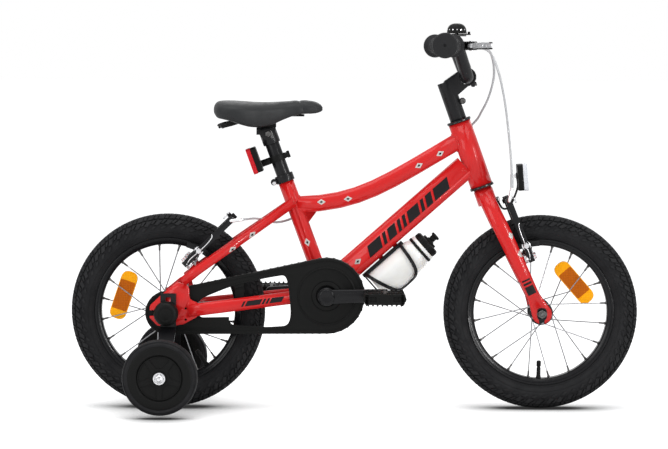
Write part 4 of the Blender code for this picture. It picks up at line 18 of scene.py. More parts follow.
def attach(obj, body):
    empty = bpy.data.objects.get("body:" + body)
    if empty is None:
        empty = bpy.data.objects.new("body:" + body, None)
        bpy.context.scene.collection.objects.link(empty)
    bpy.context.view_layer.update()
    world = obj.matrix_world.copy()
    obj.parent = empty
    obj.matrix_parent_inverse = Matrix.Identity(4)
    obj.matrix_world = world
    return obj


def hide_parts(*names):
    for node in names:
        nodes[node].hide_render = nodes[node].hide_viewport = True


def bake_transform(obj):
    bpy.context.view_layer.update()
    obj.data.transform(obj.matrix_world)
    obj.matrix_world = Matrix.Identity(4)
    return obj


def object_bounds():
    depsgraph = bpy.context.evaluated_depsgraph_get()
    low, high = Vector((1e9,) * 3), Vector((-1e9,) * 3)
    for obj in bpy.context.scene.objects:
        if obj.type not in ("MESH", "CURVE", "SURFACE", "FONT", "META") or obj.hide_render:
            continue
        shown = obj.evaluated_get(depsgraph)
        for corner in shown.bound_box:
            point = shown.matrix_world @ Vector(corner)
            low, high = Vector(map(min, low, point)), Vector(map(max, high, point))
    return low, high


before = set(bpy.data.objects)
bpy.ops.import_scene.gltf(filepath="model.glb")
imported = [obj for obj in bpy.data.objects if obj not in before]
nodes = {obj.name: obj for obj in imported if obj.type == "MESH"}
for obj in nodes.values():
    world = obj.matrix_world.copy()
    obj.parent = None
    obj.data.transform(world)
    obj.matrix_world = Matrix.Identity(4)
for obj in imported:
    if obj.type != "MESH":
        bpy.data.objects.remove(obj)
cad_low, cad_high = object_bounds()
bpy.context.scene.view_settings.view_transform = "Standard"
print("CAD nodes:", len(nodes), "box:", [round(v, 4) for v in (*cad_low, *cad_high)])

# %% [markdown]
# ## The camera
# The photograph was taken from about five metres with a long lens, so the bicycle is seen almost
# flat from its chain side, a little from above. A shorter lens from nearby would make the near
# stabiliser swell. The camera looks slightly down and is turned a touch, as in the photograph.

# %% Camera
PHOTO_WIDTH = 668
MM_PER_PIXEL = 1.8
DISTANCE = 5.0
SENSOR_MM = 36.0
EYE_ALONG, EYE_HEIGHT = -0.0185, 0.646
LOOK_DOWN, ROLL, TURN = 3.60, -0.215, 0.227
camera_data = bpy.data.cameras.new("photo_camera")
camera_data.sensor_width = SENSOR_MM
camera_data.lens = SENSOR_MM * (DISTANCE * 1000.0 / MM_PER_PIXEL) / PHOTO_WIDTH
camera_data.clip_start = 0.1
camera_data.clip_end = 100.0
camera = bpy.data.objects.new("photo_camera", camera_data)
camera.location = (EYE_ALONG, -DISTANCE, EYE_HEIGHT)
camera.rotation_euler = (math.radians(90.0 - LOOK_DOWN), math.radians(ROLL), math.radians(TURN))
bpy.context.scene.collection.objects.link(camera)
bpy.context.scene.camera = camera
print("lens:", round(camera_data.lens, 1), "mm")

# %% [markdown]
# ## Floor, background and light
# A product photograph like this is lit by large soft boxes over a white sweep. The floor is a
# wide plane whose material is part diffuse, so that it keeps the soft contact shadow, and part
# glow, so that it reads as clean white without any more light falling on the bicycle. The world
# shows pure white to the camera and to mirrors, and gives a calm fill to everything else.

# %% Helper: shader nodes
def add_node(tree, kind, values=None, operation=None):
    """A new node of a kind, with the values of its inputs and its operation."""
    node = tree.nodes.new("ShaderNode" + kind)
    if operation:
        node.operation = operation
    for name, value in (values or {}).items():
        node.inputs[name].default_value = value
    return node


def combined(tree, operation, first, second):
    """The output of a maths node that works on two sockets, or on a socket and a number."""
    node = add_node(tree, "Math", operation=operation)
    tree.links.new(first, node.inputs[0])
    if isinstance(second, float):
        node.inputs[1].default_value = second
    else:
        tree.links.new(second, node.inputs[1])
    return node.outputs[0]


def seen_directly(tree):
    """A value that is 1 for rays from the camera, through glass or off a mirror."""
    rays = add_node(tree, "LightPath").outputs
    straight = combined(tree, "MAXIMUM", rays["Is Camera Ray"], rays["Is Transmission Ray"])
    return combined(tree, "MAXIMUM", straight, rays["Is Glossy Ray"])


def mixed_surface(tree, share, first, second, output):
    """Mixes two shaders by a share, into a tree's output node."""
    mix = add_node(tree, "MixShader")
    tree.links.new(share, mix.inputs[0])
    tree.links.new(first.outputs[0], mix.inputs[1])
    tree.links.new(second.outputs[0], mix.inputs[2])
    tree.links.new(mix.outputs[0], add_node(tree, output).inputs["Surface"])


# %% World
WHITE = (1.0, 1.0, 1.0, 1.0)
FILL_COLOUR, FILL_STRENGTH = (0.96, 0.98, 1.0, 1.0), 0.62
world = bpy.data.worlds.new("studio")
bpy.context.scene.world = world
world.use_nodes = True
sky = world.node_tree
sky.nodes.clear()
fill_light = add_node(sky, "Background", {"Color": FILL_COLOUR, "Strength": FILL_STRENGTH})
white_seen = add_node(sky, "Background", {"Color": WHITE, "Strength": 1.0})
mixed_surface(sky, seen_directly(sky), fill_light, white_seen, "OutputWorld")
print("world nodes:", len(sky.nodes))


# %% Helper: one piece at a time
def all_deselected():
    """Leaves edit mode and deselects everything, so that an operator acts on one piece only."""
    if bpy.context.object and bpy.context.object.mode != "OBJECT":
        bpy.ops.object.mode_set(mode="OBJECT")
    bpy.ops.object.select_all(action="DESELECT")


def only_selected(piece):
    """Selects one piece alone and makes it the active one."""
    all_deselected()
    bpy.context.view_layer.objects.active = piece
    piece.select_set(True)


# %% [markdown]
# ## The floor
# White paper darkens close to what stands on it. An ambient occlusion node measures how much of
# the sky a spot of the floor sees. Soft lamps alone would draw such a shadow too, but the floor's
# glow would wash it out, so this measure dims the paper and the glow alike.

# %% Floor
FLOOR_SIZE, FLOOR_BACK = 60.0, 22.0
GLOW_SHARE, CLEAN_GLOW = 0.42, 1.75
SHADOW_REACH = 0.17
DARK_AT, CLEAN_AT, DARKEST = 0.40, 0.92, 0.04
all_deselected()
bpy.ops.mesh.primitive_plane_add(size=1.0, location=(0.0, 0.0, 0.0))
floor = bpy.context.object
floor.name = "studio_floor"
bpy.ops.object.mode_set(mode="EDIT")
bpy.ops.transform.resize(value=(FLOOR_SIZE, FLOOR_SIZE, 1.0))
bpy.ops.transform.translate(value=(0.0, FLOOR_BACK, cad_low.z))
bpy.ops.object.mode_set(mode="OBJECT")
floor_finish = bpy.data.materials.new("floor_white")
floor_finish.use_nodes = True
paper_tree = floor_finish.node_tree
paper_tree.nodes.clear()
paper = add_node(paper_tree, "BsdfDiffuse")
glow = add_node(paper_tree, "Emission", {"Color": WHITE})
contact = add_node(paper_tree, "AmbientOcclusion", {"Distance": SHADOW_REACH})
contact.samples = 16
shade = add_node(paper_tree, "MapRange", {"From Min": DARK_AT, "From Max": CLEAN_AT,
                                          "To Min": DARKEST, "To Max": 1.0})
paper_tree.links.new(contact.outputs["AO"], shade.inputs["Value"])
paper_tree.links.new(shade.outputs["Result"], paper.inputs["Color"])
paper_tree.links.new(combined(paper_tree, "MULTIPLY", shade.outputs["Result"], CLEAN_GLOW),
                     glow.inputs["Strength"])
glow_share = combined(paper_tree, "MULTIPLY", seen_directly(paper_tree), GLOW_SHARE)
mixed_surface(paper_tree, glow_share, paper, glow, "OutputMaterial")
floor.data.materials.append(floor_finish)
print("floor at height", round(cad_low.z, 4))

# %% [markdown]
# ## Soft boxes
# Four broad lamps stand round the bicycle, the brightest overhead. A bare bulb would throw hard
# shadows. A wide rectangle lays a long soft light along each tube.

# %% Soft boxes
def soft_box(name, place, aim, width, height, power):
    """One rectangular studio lamp, turned to face its aim."""
    lamp_data = bpy.data.lights.new(name, "AREA")
    lamp_data.shape = "RECTANGLE"
    lamp_data.size = width
    lamp_data.size_y = height
    lamp_data.energy = power
    lamp = bpy.data.objects.new(name, lamp_data)
    lamp.location = place
    lamp.rotation_euler = (Vector(aim) - Vector(place)).to_track_quat("-Z", "Y").to_euler()
    bpy.context.scene.collection.objects.link(lamp)
    return lamp


soft_box("overhead_box", (-0.2, -0.5, 2.6), (0.0, 0.0, 0.3), 2.6, 1.6, 38.0)
soft_box("left_box", (-2.3, -2.2, 1.4), (0.0, 0.0, 0.35), 1.4, 1.8, 26.0)
soft_box("right_box", (2.5, -1.8, 1.2), (0.0, 0.0, 0.35), 1.2, 1.6, 16.0)
soft_box("rear_box", (0.4, 2.4, 1.9), (0.0, 0.0, 0.3), 2.0, 1.2, 16.0)

# %% [markdown]
# ## A narrow lamp that only shows in glossy skins
# Painted tubes in the photograph carry one thin bright line each, from a tall strip lamp. If it
# lit every skin, it would pale the blacks as well, so it is hidden from the diffuse ones.

# %% Strip lamp
strip = soft_box("highlight_strip", (2.35, -2.25, 1.0), (0.0, 0.0, 0.4), 0.14, 2.4, 60.0)
strip.visible_diffuse = False
print("lamps:", len(bpy.data.lights))

# %% [markdown]
# ## Finishes
# Every finish is procedural. A finish starts from one plain shader and is given what the real
# surface shows up close: the orange peel of sprayed paint, the fine spark-eroded grain of moulded
# plastic, the drawn lines of zinc-plated steel. Numbers that hold for the whole surface sit on
# the shader itself. The patterns read Object coordinates, in metres, so a scale of 2000 gives
# grains of about half a millimetre.

# %% Helper: a plain finish
def plain_finish(name, colour, roughness, metallic=0.0, coat=0.0, specular=0.5):
    """A new material and its shader, with the numbers that are the same all over."""
    made = bpy.data.materials.new(name)
    made.use_nodes = True
    shader = made.node_tree.nodes["Principled BSDF"]
    for socket, value in (("Base Color", (*colour, 1.0)), ("Roughness", roughness), ("Metallic", metallic),
                          ("Specular IOR Level", specular), ("Coat Weight", coat), ("Coat Roughness", 0.06)):
        shader.inputs[socket].default_value = value
    return made, shader


# %% Helper: patterns in a surface's own space
def noise_on(made, scale, detail=3.0, stretch=(1.0, 1.0, 1.0)):
    """The value of a noise in Object coordinates, stretched along the axes if need be."""
    tree = made.node_tree
    turn = add_node(tree, "Mapping", {"Scale": stretch})
    noise = add_node(tree, "TexNoise", {"Scale": scale, "Detail": detail})
    tree.links.new(add_node(tree, "TexCoord").outputs["Object"], turn.inputs["Vector"])
    tree.links.new(turn.outputs["Vector"], noise.inputs["Vector"])
    return noise.outputs["Fac"]


def cells_on(made, scale, randomness=1.0):
    """How far a spot is from the middle of its cell, in a pattern of small cells."""
    cells = add_node(made.node_tree, "TexVoronoi", {"Scale": scale, "Randomness": randomness})
    place = add_node(made.node_tree, "TexCoord")
    made.node_tree.links.new(place.outputs["Object"], cells.inputs["Vector"])
    return cells.outputs["Distance"]


# %% Helper: bump, mottle and wear
def add_bump(made, shader, height_socket, strength, depth):
    """Turns a height pattern into bump on a shader."""
    bump = add_node(made.node_tree, "Bump", {"Strength": strength, "Distance": depth})
    made.node_tree.links.new(height_socket, bump.inputs["Height"])
    made.node_tree.links.new(bump.outputs["Normal"], shader.inputs["Normal"])


def coloured_by(made, shader, socket, low, high, dark, light):
    """Lets a value set the base colour: dark at the value low, light at the value high."""
    ramp = add_node(made.node_tree, "ValToRGB")
    for end, position, colour in zip(ramp.color_ramp.elements, (low, high), (dark, light)):
        end.position = position
        end.color = (*colour, 1.0)
    made.node_tree.links.new(socket, ramp.inputs["Fac"])
    made.node_tree.links.new(ramp.outputs["Color"], shader.inputs["Base Color"])


def uneven_gloss(made, shader, smooth, rough, scale, stretch=(1.0, 1.0, 1.0)):
    """Lets the roughness drift between two values."""
    spread = add_node(made.node_tree, "MapRange", {"From Min": 0.3, "From Max": 0.7,
                                                   "To Min": smooth, "To Max": rough})
    made.node_tree.links.new(noise_on(made, scale, 4.0, stretch), spread.inputs["Value"])
    made.node_tree.links.new(spread.outputs["Result"], shader.inputs["Roughness"])


# %% Helper: a whole finish
def real_finish(name, colour, roughness, drift=None, gloss=None, grain=None, **plain):
    """A plain finish and its patterns, each given as that pattern's numbers.

    drift: dark shade, light shade and scale, as dust and handling mottle a colour. gloss: smooth,
    rough and scale. grain: scale, detail, bump strength and depth, and a stretch if need be.
    """
    made, shader = plain_finish(name, colour, roughness, **plain)
    if drift:
        dark, light, scale = drift
        coloured_by(made, shader, noise_on(made, scale, 4.0), 0.35, 0.65, dark, light)
    if gloss:
        uneven_gloss(made, shader, *gloss)
    if grain:
        scale, detail, strength, depth, *stretch = grain
        add_bump(made, shader, noise_on(made, scale, detail, *stretch), strength, depth)
    return made


# %% [markdown]
# ## Paints
# The frame's red is a wet spray with a little orange peel under a clear coat. The fittings wear a
# satin black powder coat and the rims a thin, glossier anodised skin. A single flat red and black
# would look like plastic, so each has its own peel or grain and an uneven gloss.

# %% Red, satin black and gloss black
red_paint = real_finish("red_gloss_paint", (0.60, 0.012, 0.012), 0.34, coat=0.34, specular=0.10,
                        drift=((0.57, 0.010, 0.010), (0.62, 0.013, 0.013), 18.0),
                        grain=(420.0, 1.0, 0.05, 0.0004))
satin_black = real_finish("satin_black_paint", (0.007, 0.007, 0.008), 0.34, coat=0.12, specular=0.12,
                          gloss=(0.3, 0.42, 60.0), grain=(900.0, 2.0, 0.08, 0.0003))
gloss_black = real_finish("black_anodised", (0.006, 0.006, 0.007), 0.26, coat=0.08, specular=0.14,
                          gloss=(0.2, 0.32, 90.0))

# %% [markdown]
# ## Plastics and rubbers
# Moulded black has the fine grain of a spark-eroded mould. Rubber is duller, and the tread blocks
# are a lighter rubber than the wall. The cable housing is smooth grey plastic. The bottle is a
# milky plastic that lets some light through, which scattering under its skin gives.

# %% Plastics and rubbers
moulded_black = real_finish("moulded_black_plastic", (0.0055, 0.0056, 0.0054), 0.46, specular=0.10,
                            gloss=(0.42, 0.56, 45.0), grain=(2600.0, 2.0, 0.18, 0.0002))
tyre_rubber = real_finish("tyre_rubber", (0.010, 0.010, 0.010), 0.74, specular=0.12,
                          drift=((0.011, 0.011, 0.012), (0.016, 0.016, 0.017), 30.0),
                          gloss=(0.62, 0.84, 70.0), grain=(1800.0, 3.0, 0.2, 0.0003))
tread_rubber = real_finish("tread_rubber", (0.018, 0.018, 0.019), 0.86, specular=0.10,
                           drift=((0.016, 0.016, 0.017), (0.026, 0.026, 0.027), 60.0),
                           grain=(1500.0, 3.0, 0.25, 0.0003))
grip_rubber = real_finish("grip_rubber", (0.013, 0.013, 0.014), 0.66, specular=0.18,
                          gloss=(0.58, 0.74, 120.0), grain=(2200.0, 2.0, 0.22, 0.00025))
grey_housing = real_finish("grey_cable_housing", (0.42, 0.42, 0.43), 0.36, coat=0.2,
                           drift=((0.39, 0.39, 0.40), (0.46, 0.46, 0.47), 60.0))
milky = real_finish("milky_bottle_plastic", (0.83, 0.82, 0.79), 0.34, coat=0.15,
                    drift=((0.80, 0.79, 0.755), (0.86, 0.855, 0.83), 24.0),
                    grain=(900.0, 2.0, 0.06, 0.0002))
milky_skin = milky.node_tree.nodes["Principled BSDF"]
milky_skin.inputs["Subsurface Weight"].default_value = 0.35
milky_skin.inputs["Subsurface Radius"].default_value = (1.0, 0.9, 0.75)
milky_skin.inputs["Subsurface Scale"].default_value = 0.008

# %% [markdown]
# ## Metals
# Bolts and springs are zinc-plated and bright. Spokes are drawn wire, greyer. The chain and the
# nipples are dark with oil. The lever blades are lacquered silver, which is less of a mirror than
# the bare alloy of the brake pipes.

# %% Metals
zinc_steel = real_finish("zinc_plated_steel", (0.62, 0.62, 0.64), 0.28, metallic=1.0,
                         drift=((0.55, 0.55, 0.57), (0.68, 0.68, 0.69), 240.0), gloss=(0.2, 0.36, 300.0))
drawn_steel = real_finish("drawn_spoke_steel", (0.24, 0.24, 0.25), 0.42, metallic=1.0,
                          drift=((0.19, 0.19, 0.20), (0.29, 0.29, 0.30), 240.0), gloss=(0.34, 0.5, 300.0))
dark_steel = real_finish("dark_oiled_steel", (0.10, 0.10, 0.105), 0.38, metallic=1.0,
                         drift=((0.07, 0.068, 0.068), (0.15, 0.148, 0.145), 260.0),
                         gloss=(0.3, 0.5, 260.0))
bright_alloy = real_finish("polished_alloy", (0.72, 0.72, 0.73), 0.24, metallic=1.0,
                           gloss=(0.18, 0.34, 120.0, (1.0, 6.0, 6.0)),
                           grain=(700.0, 2.0, 0.06, 0.0002, (6.0, 0.6, 6.0)))
silver_lacquer = real_finish("silver_lacquer", (0.66, 0.66, 0.67), 0.34, metallic=0.35, coat=0.2,
                             drift=((0.62, 0.62, 0.63), (0.70, 0.70, 0.71), 180.0),
                             gloss=(0.28, 0.42, 240.0))

# %% [markdown]
# ## Lenses and saddle cover
# A reflector is moulded with small raised cells under a clear skin, and the middle of each cell is
# painted brighter than its rim, as a painted glint. The saddle's cover has a fine pebbled grain.
# Both are cell patterns, coarse and even for the lens, fine and loose for the cover.

# %% Lenses and saddle cover
def lens_finish(name, colour, glint_painted_colour):
    """Moulded lens plastic: raised cells under a clear skin, with a painted glint in each cell's middle."""
    made, shader = plain_finish(name, colour, 0.24, coat=0.05, specular=0.06)
    cells = cells_on(made, 330.0, 0.12)
    add_bump(made, shader, cells, 0.6, 0.0009)
    # The cells also set the colour: each is painted brighter in its middle, a painted glint, and darker at
    # its rim.
    coloured_by(made, shader, cells, 0.15, 0.7, glint_painted_colour, colour)
    return made


amber_lens = lens_finish("amber_lens", (0.95, 0.33, 0.004), (1.0, 0.50, 0.010))
amber_deep = lens_finish("amber_lens_panel", (0.38, 0.078, 0.002), (0.58, 0.135, 0.004))
clear_lens = lens_finish("clear_lens", (0.62, 0.63, 0.66), (0.86, 0.87, 0.9))
red_lens = lens_finish("red_lens", (0.44, 0.008, 0.014), (0.72, 0.03, 0.04))
saddle_skin, skin_shader = plain_finish("saddle_cover", (0.016, 0.017, 0.018), 0.55, specular=0.22)
uneven_gloss(saddle_skin, skin_shader, 0.46, 0.6, 70.0)
add_bump(saddle_skin, skin_shader, cells_on(saddle_skin, 900.0), 0.25, 0.0003)
print("finishes:", len(bpy.data.materials))


# %% [markdown]
# ## Finishes on pieces
# Each new piece is given its finish when it is kept.

# %% [markdown]
# ## Shared ways of working
# Round parts are turned, as on a lathe: a circle is drawn round the axis, then extruded and
# scaled from step to step of its outline. An alternative is the Screw modifier on a profile,
# which is live but needs care with its seam. Extruding a ring shows plainly what a lathe does.
# Flat parts are cut from an outline with holes, and wires follow a smooth line through points.

# %% Helper: finish a piece
def keep_piece(piece, name, finish, body, smooth_angle=35.0, replaces=()):
    """Names a mesh, shades it, and gives it its finish and body, or no body if it bends."""
    only_selected(piece)
    piece.name = name
    piece.data.name = name
    bpy.ops.object.transform_apply(location=True, rotation=True, scale=True)
    bpy.ops.object.shade_smooth_by_angle(angle=math.radians(smooth_angle))
    if finish is not None:
        piece.data.materials.clear()
        piece.data.materials.append(finish)
    if replaces:
        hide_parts(*replaces)
    if body:
        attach(piece, body)
    piece.select_set(False)
    print(name, len(piece.data.polygons), "faces")
    return piece


def joined(pieces):
    """Joins meshes into one and returns it, unnamed as yet."""
    all_deselected()
    for piece in pieces:
        piece.select_set(True)
    bpy.context.view_layer.objects.active = pieces[0]
    if len(pieces) > 1:
        bpy.ops.object.join()
    made = bpy.context.object
    bpy.ops.object.transform_apply(location=True, rotation=True, scale=True)
    made.select_set(False)
    return made


# %% Helper: new pieces
def linked(name, data):
    """A new object for a mesh or a curve, in the scene."""
    piece = bpy.data.objects.new(name, data)
    bpy.context.scene.collection.objects.link(piece)
    return piece


def grown_piece(grow, name):
    """An object from a mesh that was built face by face."""
    mesh = bpy.data.meshes.new(name)
    grow.to_mesh(mesh)
    grow.free()
    return linked(name, mesh)


def meshed(curve_piece):
    """Turns a curve into a mesh."""
    only_selected(curve_piece)
    bpy.ops.object.convert(target="MESH")
    return curve_piece


# %% Helper: faces outward
def closed_and_outward(piece, merge=0.00001):
    """Merges doubles and turns every face outward."""
    only_selected(piece)
    bpy.ops.object.mode_set(mode="EDIT")
    bpy.ops.mesh.select_all(action="SELECT")
    bpy.ops.mesh.remove_doubles(threshold=merge)
    bpy.ops.mesh.normals_make_consistent(inside=False)
    bpy.ops.object.mode_set(mode="OBJECT")
    piece.select_set(False)
    return piece


# %% Helper: sizes in millimetres
def mm(rows):
    """Rows of sizes in millimetres, turned into metres."""
    return [tuple(size / 1000.0 for size in row) for row in rows]


# %% Helper: a turned part
TOWARDS_LEFT = (math.radians(-90.0), 0.0, 0.0)


def turned(outline, segments, turn=TOWARDS_LEFT, place=(0.0, 0.0, 0.0), ring=False):
    """A lathe: (radius, height) steps round the local Z axis, which the turn points elsewhere.

    A ring closes back on its first step. Otherwise each end is filled flat, or left as a point
    where its radius is zero.
    """
    all_deselected()
    first_radius, first_height = outline[0]
    bpy.ops.mesh.primitive_circle_add(vertices=segments, radius=max(first_radius, 0.00001),
                                      location=(0.0, 0.0, first_height),
                                      fill_type="NOTHING" if ring else "NGON")
    piece = bpy.context.object
    bpy.ops.object.transform_apply(location=True)
    bpy.ops.object.mode_set(mode="EDIT")
    bpy.ops.mesh.select_mode(type="EDGE")
    bpy.ops.mesh.select_all(action="SELECT")
    if not ring:
        bpy.ops.mesh.select_all(action="DESELECT")
        bpy.ops.mesh.select_non_manifold()
    radius, height = max(first_radius, 0.00001), first_height
    for next_radius, next_height in outline[1:]:
        next_radius = max(next_radius, 0.00001)
        bpy.ops.mesh.extrude_edges_move()
        bpy.ops.transform.resize(value=(next_radius / radius, next_radius / radius, 1.0),
                                 center_override=(0.0, 0.0, height))
        bpy.ops.transform.translate(value=(0.0, 0.0, next_height - height))
        radius, height = next_radius, next_height
    if ring:
        bpy.ops.mesh.select_all(action="DESELECT")
        bpy.ops.mesh.select_non_manifold()
        bpy.ops.mesh.bridge_edge_loops()
    else:
        bpy.ops.mesh.edge_face_add()
    bpy.ops.mesh.select_all(action="SELECT")
    bpy.ops.mesh.remove_doubles(threshold=0.00002)
    bpy.ops.mesh.normals_make_consistent(inside=False)
    bpy.ops.object.mode_set(mode="OBJECT")
    piece.rotation_euler = turn
    piece.location = place
    bpy.ops.object.transform_apply(location=True, rotation=True)
    piece.select_set(False)
    return piece


# %% Helper: a copy set elsewhere
def copy_of(piece, matrix):
    """The same piece again, with its own mesh, moved by a matrix."""
    again = piece.copy()
    again.data = piece.data.copy()
    again.data.transform(matrix)
    if matrix.is_negative:
        again.data.flip_normals()
    bpy.context.scene.collection.objects.link(again)
    return again


# %% Helper: a round bar between two points
def round_bar(start, end, radius, sides=12, end_radius=None):
    """A cylinder or a cone from one point to another."""
    start, end = Vector(start), Vector(end)
    way = end - start
    all_deselected()
    bpy.ops.mesh.primitive_cone_add(vertices=sides, radius1=radius,
                                    radius2=radius if end_radius is None else end_radius,
                                    depth=way.length, location=(start + end) / 2,
                                    rotation=way.to_track_quat("Z", "Y").to_euler())
    piece = bpy.context.object
    bpy.ops.object.transform_apply(location=True, rotation=True)
    piece.select_set(False)
    return piece


# %% Helper: a cut plate
def cut_plate(outlines, near, far, edge=0.0, side=-1.0, steps=2):
    """A plate seen from the side: (x, z) outlines, the first its edge and the others its holes.

    It lies between near and far from the middle of the bicycle, on the right or on the left.
    """
    curve = bpy.data.curves.new("plate", "CURVE")
    curve.dimensions = "2D"
    curve.fill_mode = "BOTH"
    curve.extrude = (far - near) / 2.0 - edge
    curve.bevel_depth = edge
    curve.bevel_resolution = steps
    curve.offset = -edge
    for outline in outlines:
        spline = curve.splines.new("POLY")
        spline.points.add(len(outline) - 1)
        for point, (x, z) in zip(spline.points, outline):
            point.co = (x, z, 0.0, 1.0)
        spline.use_cyclic_u = True
    plate = meshed(linked("plate", curve))
    plate.rotation_euler = (math.radians(90.0), 0.0, 0.0)
    plate.location = (0.0, side * (near + far) / 2.0, 0.0)
    bpy.ops.object.transform_apply(location=True, rotation=True)
    return closed_and_outward(plate)


def round_outline(x, z, radius, steps=32, start=0.0, sweep=2.0 * math.pi):
    """Points of a circle, or of an arc with both its ends, seen from the side."""
    whole = abs(sweep - 2.0 * math.pi) < 1e-9
    count = steps if whole else steps + 1
    angles = [start + sweep * n / steps for n in range(count)]
    return [(x + radius * math.cos(angle), z + radius * math.sin(angle)) for angle in angles]


def rectangle(half_wide, half_high, x=0.0, z=0.0):
    """The four corners of a rectangle round a middle."""
    return [(x - half_wide, z - half_high), (x + half_wide, z - half_high),
            (x + half_wide, z + half_high), (x - half_wide, z + half_high)]


def mirrored(half):
    """A turned outline from its left half. A step on the middle plane isn't repeated."""
    return half + [(radius, -across) for radius, across in reversed(half) if across]


def eased(corners, radii, steps=5):
    """An outline with each corner rounded: the radius is how far the rounding reaches along an edge."""
    made = []
    for n, corner in enumerate(corners):
        radius = radii[n] if isinstance(radii, (list, tuple)) else radii
        here = Vector(corner)
        before, after = Vector(corners[n - 1]) - here, Vector(corners[(n + 1) % len(corners)]) - here
        first = here + before.normalized() * min(radius, before.length * 0.48)
        last = here + after.normalized() * min(radius, after.length * 0.48)
        if radius < 1e-6:
            made.append(tuple(here))
            continue
        for step in range(steps + 1):
            share = step / steps
            made.append(tuple(first.lerp(here, share).lerp(here.lerp(last, share), share)))
    return made


# %% Helper: a bent wire
def smooth_path(points, steps=6):
    """A smooth line through points, as a spring-steel wire or a cable would take."""
    points = [Vector(point) for point in points]
    whole = [points[0] * 2.0 - points[1]] + points + [points[-1] * 2.0 - points[-2]]
    made = []
    for a, b, c, d in zip(whole, whole[1:], whole[2:], whole[3:]):
        for step in range(steps):
            t = step / steps
            made.append(0.5 * ((2.0 * b) + (c - a) * t + (2.0 * a - 5.0 * b + 4.0 * c - d) * t * t
                               + (3.0 * b - a - 3.0 * c + d) * t ** 3))
    return made + [points[-1]]


def wire(points, radius, sides=8, steps=6):
    """A round wire through points: a curve with a round bevel, made a mesh, with closed ends."""
    curve = bpy.data.curves.new("wire", "CURVE")
    curve.dimensions = "3D"
    curve.bevel_depth = radius
    curve.bevel_resolution = max(0, sides // 2 - 2)
    curve.use_fill_caps = True
    path = smooth_path(points, steps) if steps else [Vector(point) for point in points]
    spline = curve.splines.new("POLY")
    spline.points.add(len(path) - 1)
    for point, place in zip(spline.points, path):
        point.co = (*place, 1.0)
    return closed_and_outward(meshed(linked("wire", curve)))


# %% Helper: things along an axis
def turned_at(outline, segments, place, axis, ring=False):
    """A turned part whose heights run from a place along an axis."""
    made = turned(outline, segments, turn=(0.0, 0.0, 0.0), ring=ring)
    turn = Vector(axis).to_track_quat("Z", "Y").to_matrix().to_4x4()
    made.data.transform(Matrix.Translation(place) @ turn)
    return made


def hex_bolt(place, axis, radius, height, washer=0.0):
    """A hexagon head with a chamfer, and a washer below it if it has one."""
    head = turned_at([(0.0, 0.0), (radius, 0.0), (radius, height * 0.85), (radius * 0.88, height),
                      (radius * 0.45, height), (radius * 0.40, height * 0.8), (0.0, height * 0.8)],
                     6, Vector(place), axis)
    if washer <= 0.0:
        return head
    plate = turned_at([(0.0, -0.0012), (washer, -0.0012), (washer, -0.0002), (washer * 0.94, 0.0),
                       (0.0, 0.0)], 24, Vector(place), axis)
    return joined([head, plate])


def socket_bolt(place, axis, radius, height):
    """A round socket head: a plain side, a chamfer and a round recess."""
    return turned_at([(0.0, 0.0), (radius, 0.0), (radius, height * 0.8), (radius * 0.86, height),
                      (radius * 0.52, height), (radius * 0.50, height * 0.45), (0.0, height * 0.45)],
                     20, Vector(place), axis)


# %% [markdown]
# ## The tyres
# A children's tyre of this size is a fat rubber ring with a smooth wall and a tread of low
# slanted blocks that run down onto the shoulder, where the side view shows them as a ragged
# edge. A bump texture could suggest the blocks, but it would leave the outline smooth. So the
# casing is turned, and each block is a real little solid that stands on it.

# %% Wheel sizes
FRONT_AXLE = Vector((0.3357, 0.0, 0.17533))
REAR_AXLE = Vector((-0.3357, 0.0, 0.17533))
WHEEL_RADIUS = 0.1752
SPOKES = 20
SIDES = (("right", -1.0), ("left", 1.0))
CASING = mm([(126.2, 12.2), (131.8, 12.5), (133.6, 15.2), (136.8, 18.4), (140.6, 21.2), (144.8, 23),
             (149.6, 23.7), (154.8, 23.3), (160, 22), (164.6, 19.7), (168.6, 16.1), (171.6, 11.4),
             (173.3, 6), (173.9, 0)])


def wheel_point(angle, radius, across):
    """A point on a wheel at the origin: the angle is measured from +X towards +Z."""
    return Vector((radius * math.cos(angle), across, radius * math.sin(angle)))


# %% Casing
casing = turned(mirrored(CASING), 120, ring=True)
print("casing faces:", len(casing.data.polygons))

# %% Helper: places on the casing
crown_arc = list(reversed(CASING[5:]))
arc_steps = [0.0]
for (r0, a0), (r1, a1) in zip(crown_arc, crown_arc[1:]):
    arc_steps.append(arc_steps[-1] + math.hypot(r1 - r0, a1 - a0))
SHOULDER_LENGTH = arc_steps[-1]


def on_casing(angle, along, lift):
    """A point over the casing: along runs from 0 at the crown to 1 low on either shoulder."""
    wanted = abs(along) * SHOULDER_LENGTH
    for step in range(1, len(arc_steps)):
        if wanted <= arc_steps[step] or step == len(arc_steps) - 1:
            share = (wanted - arc_steps[step - 1]) / (arc_steps[step] - arc_steps[step - 1])
            r0, a0 = crown_arc[step - 1]
            r1, a1 = crown_arc[step]
            break
    radius, across = r0 + (r1 - r0) * share, a0 + (a1 - a0) * share
    out = Vector((a1 - a0, -(r1 - r0))).normalized()
    side = 1.0 if along >= 0.0 else -1.0
    return wheel_point(angle, radius + out.x * lift, side * (across + out.y * lift))


# %% [markdown]
# ## Tread
# Each block is moulded with the tyre, leans forward and gets smaller towards its top. The pattern
# repeats fifty-four times, and the two shoulders are half a step apart. The blocks are written
# once, as shares of one step, and a loop sets them round.

# %% Tread blocks
FOOT_DEPTH = 0.0006
TOP_INSET = 0.08


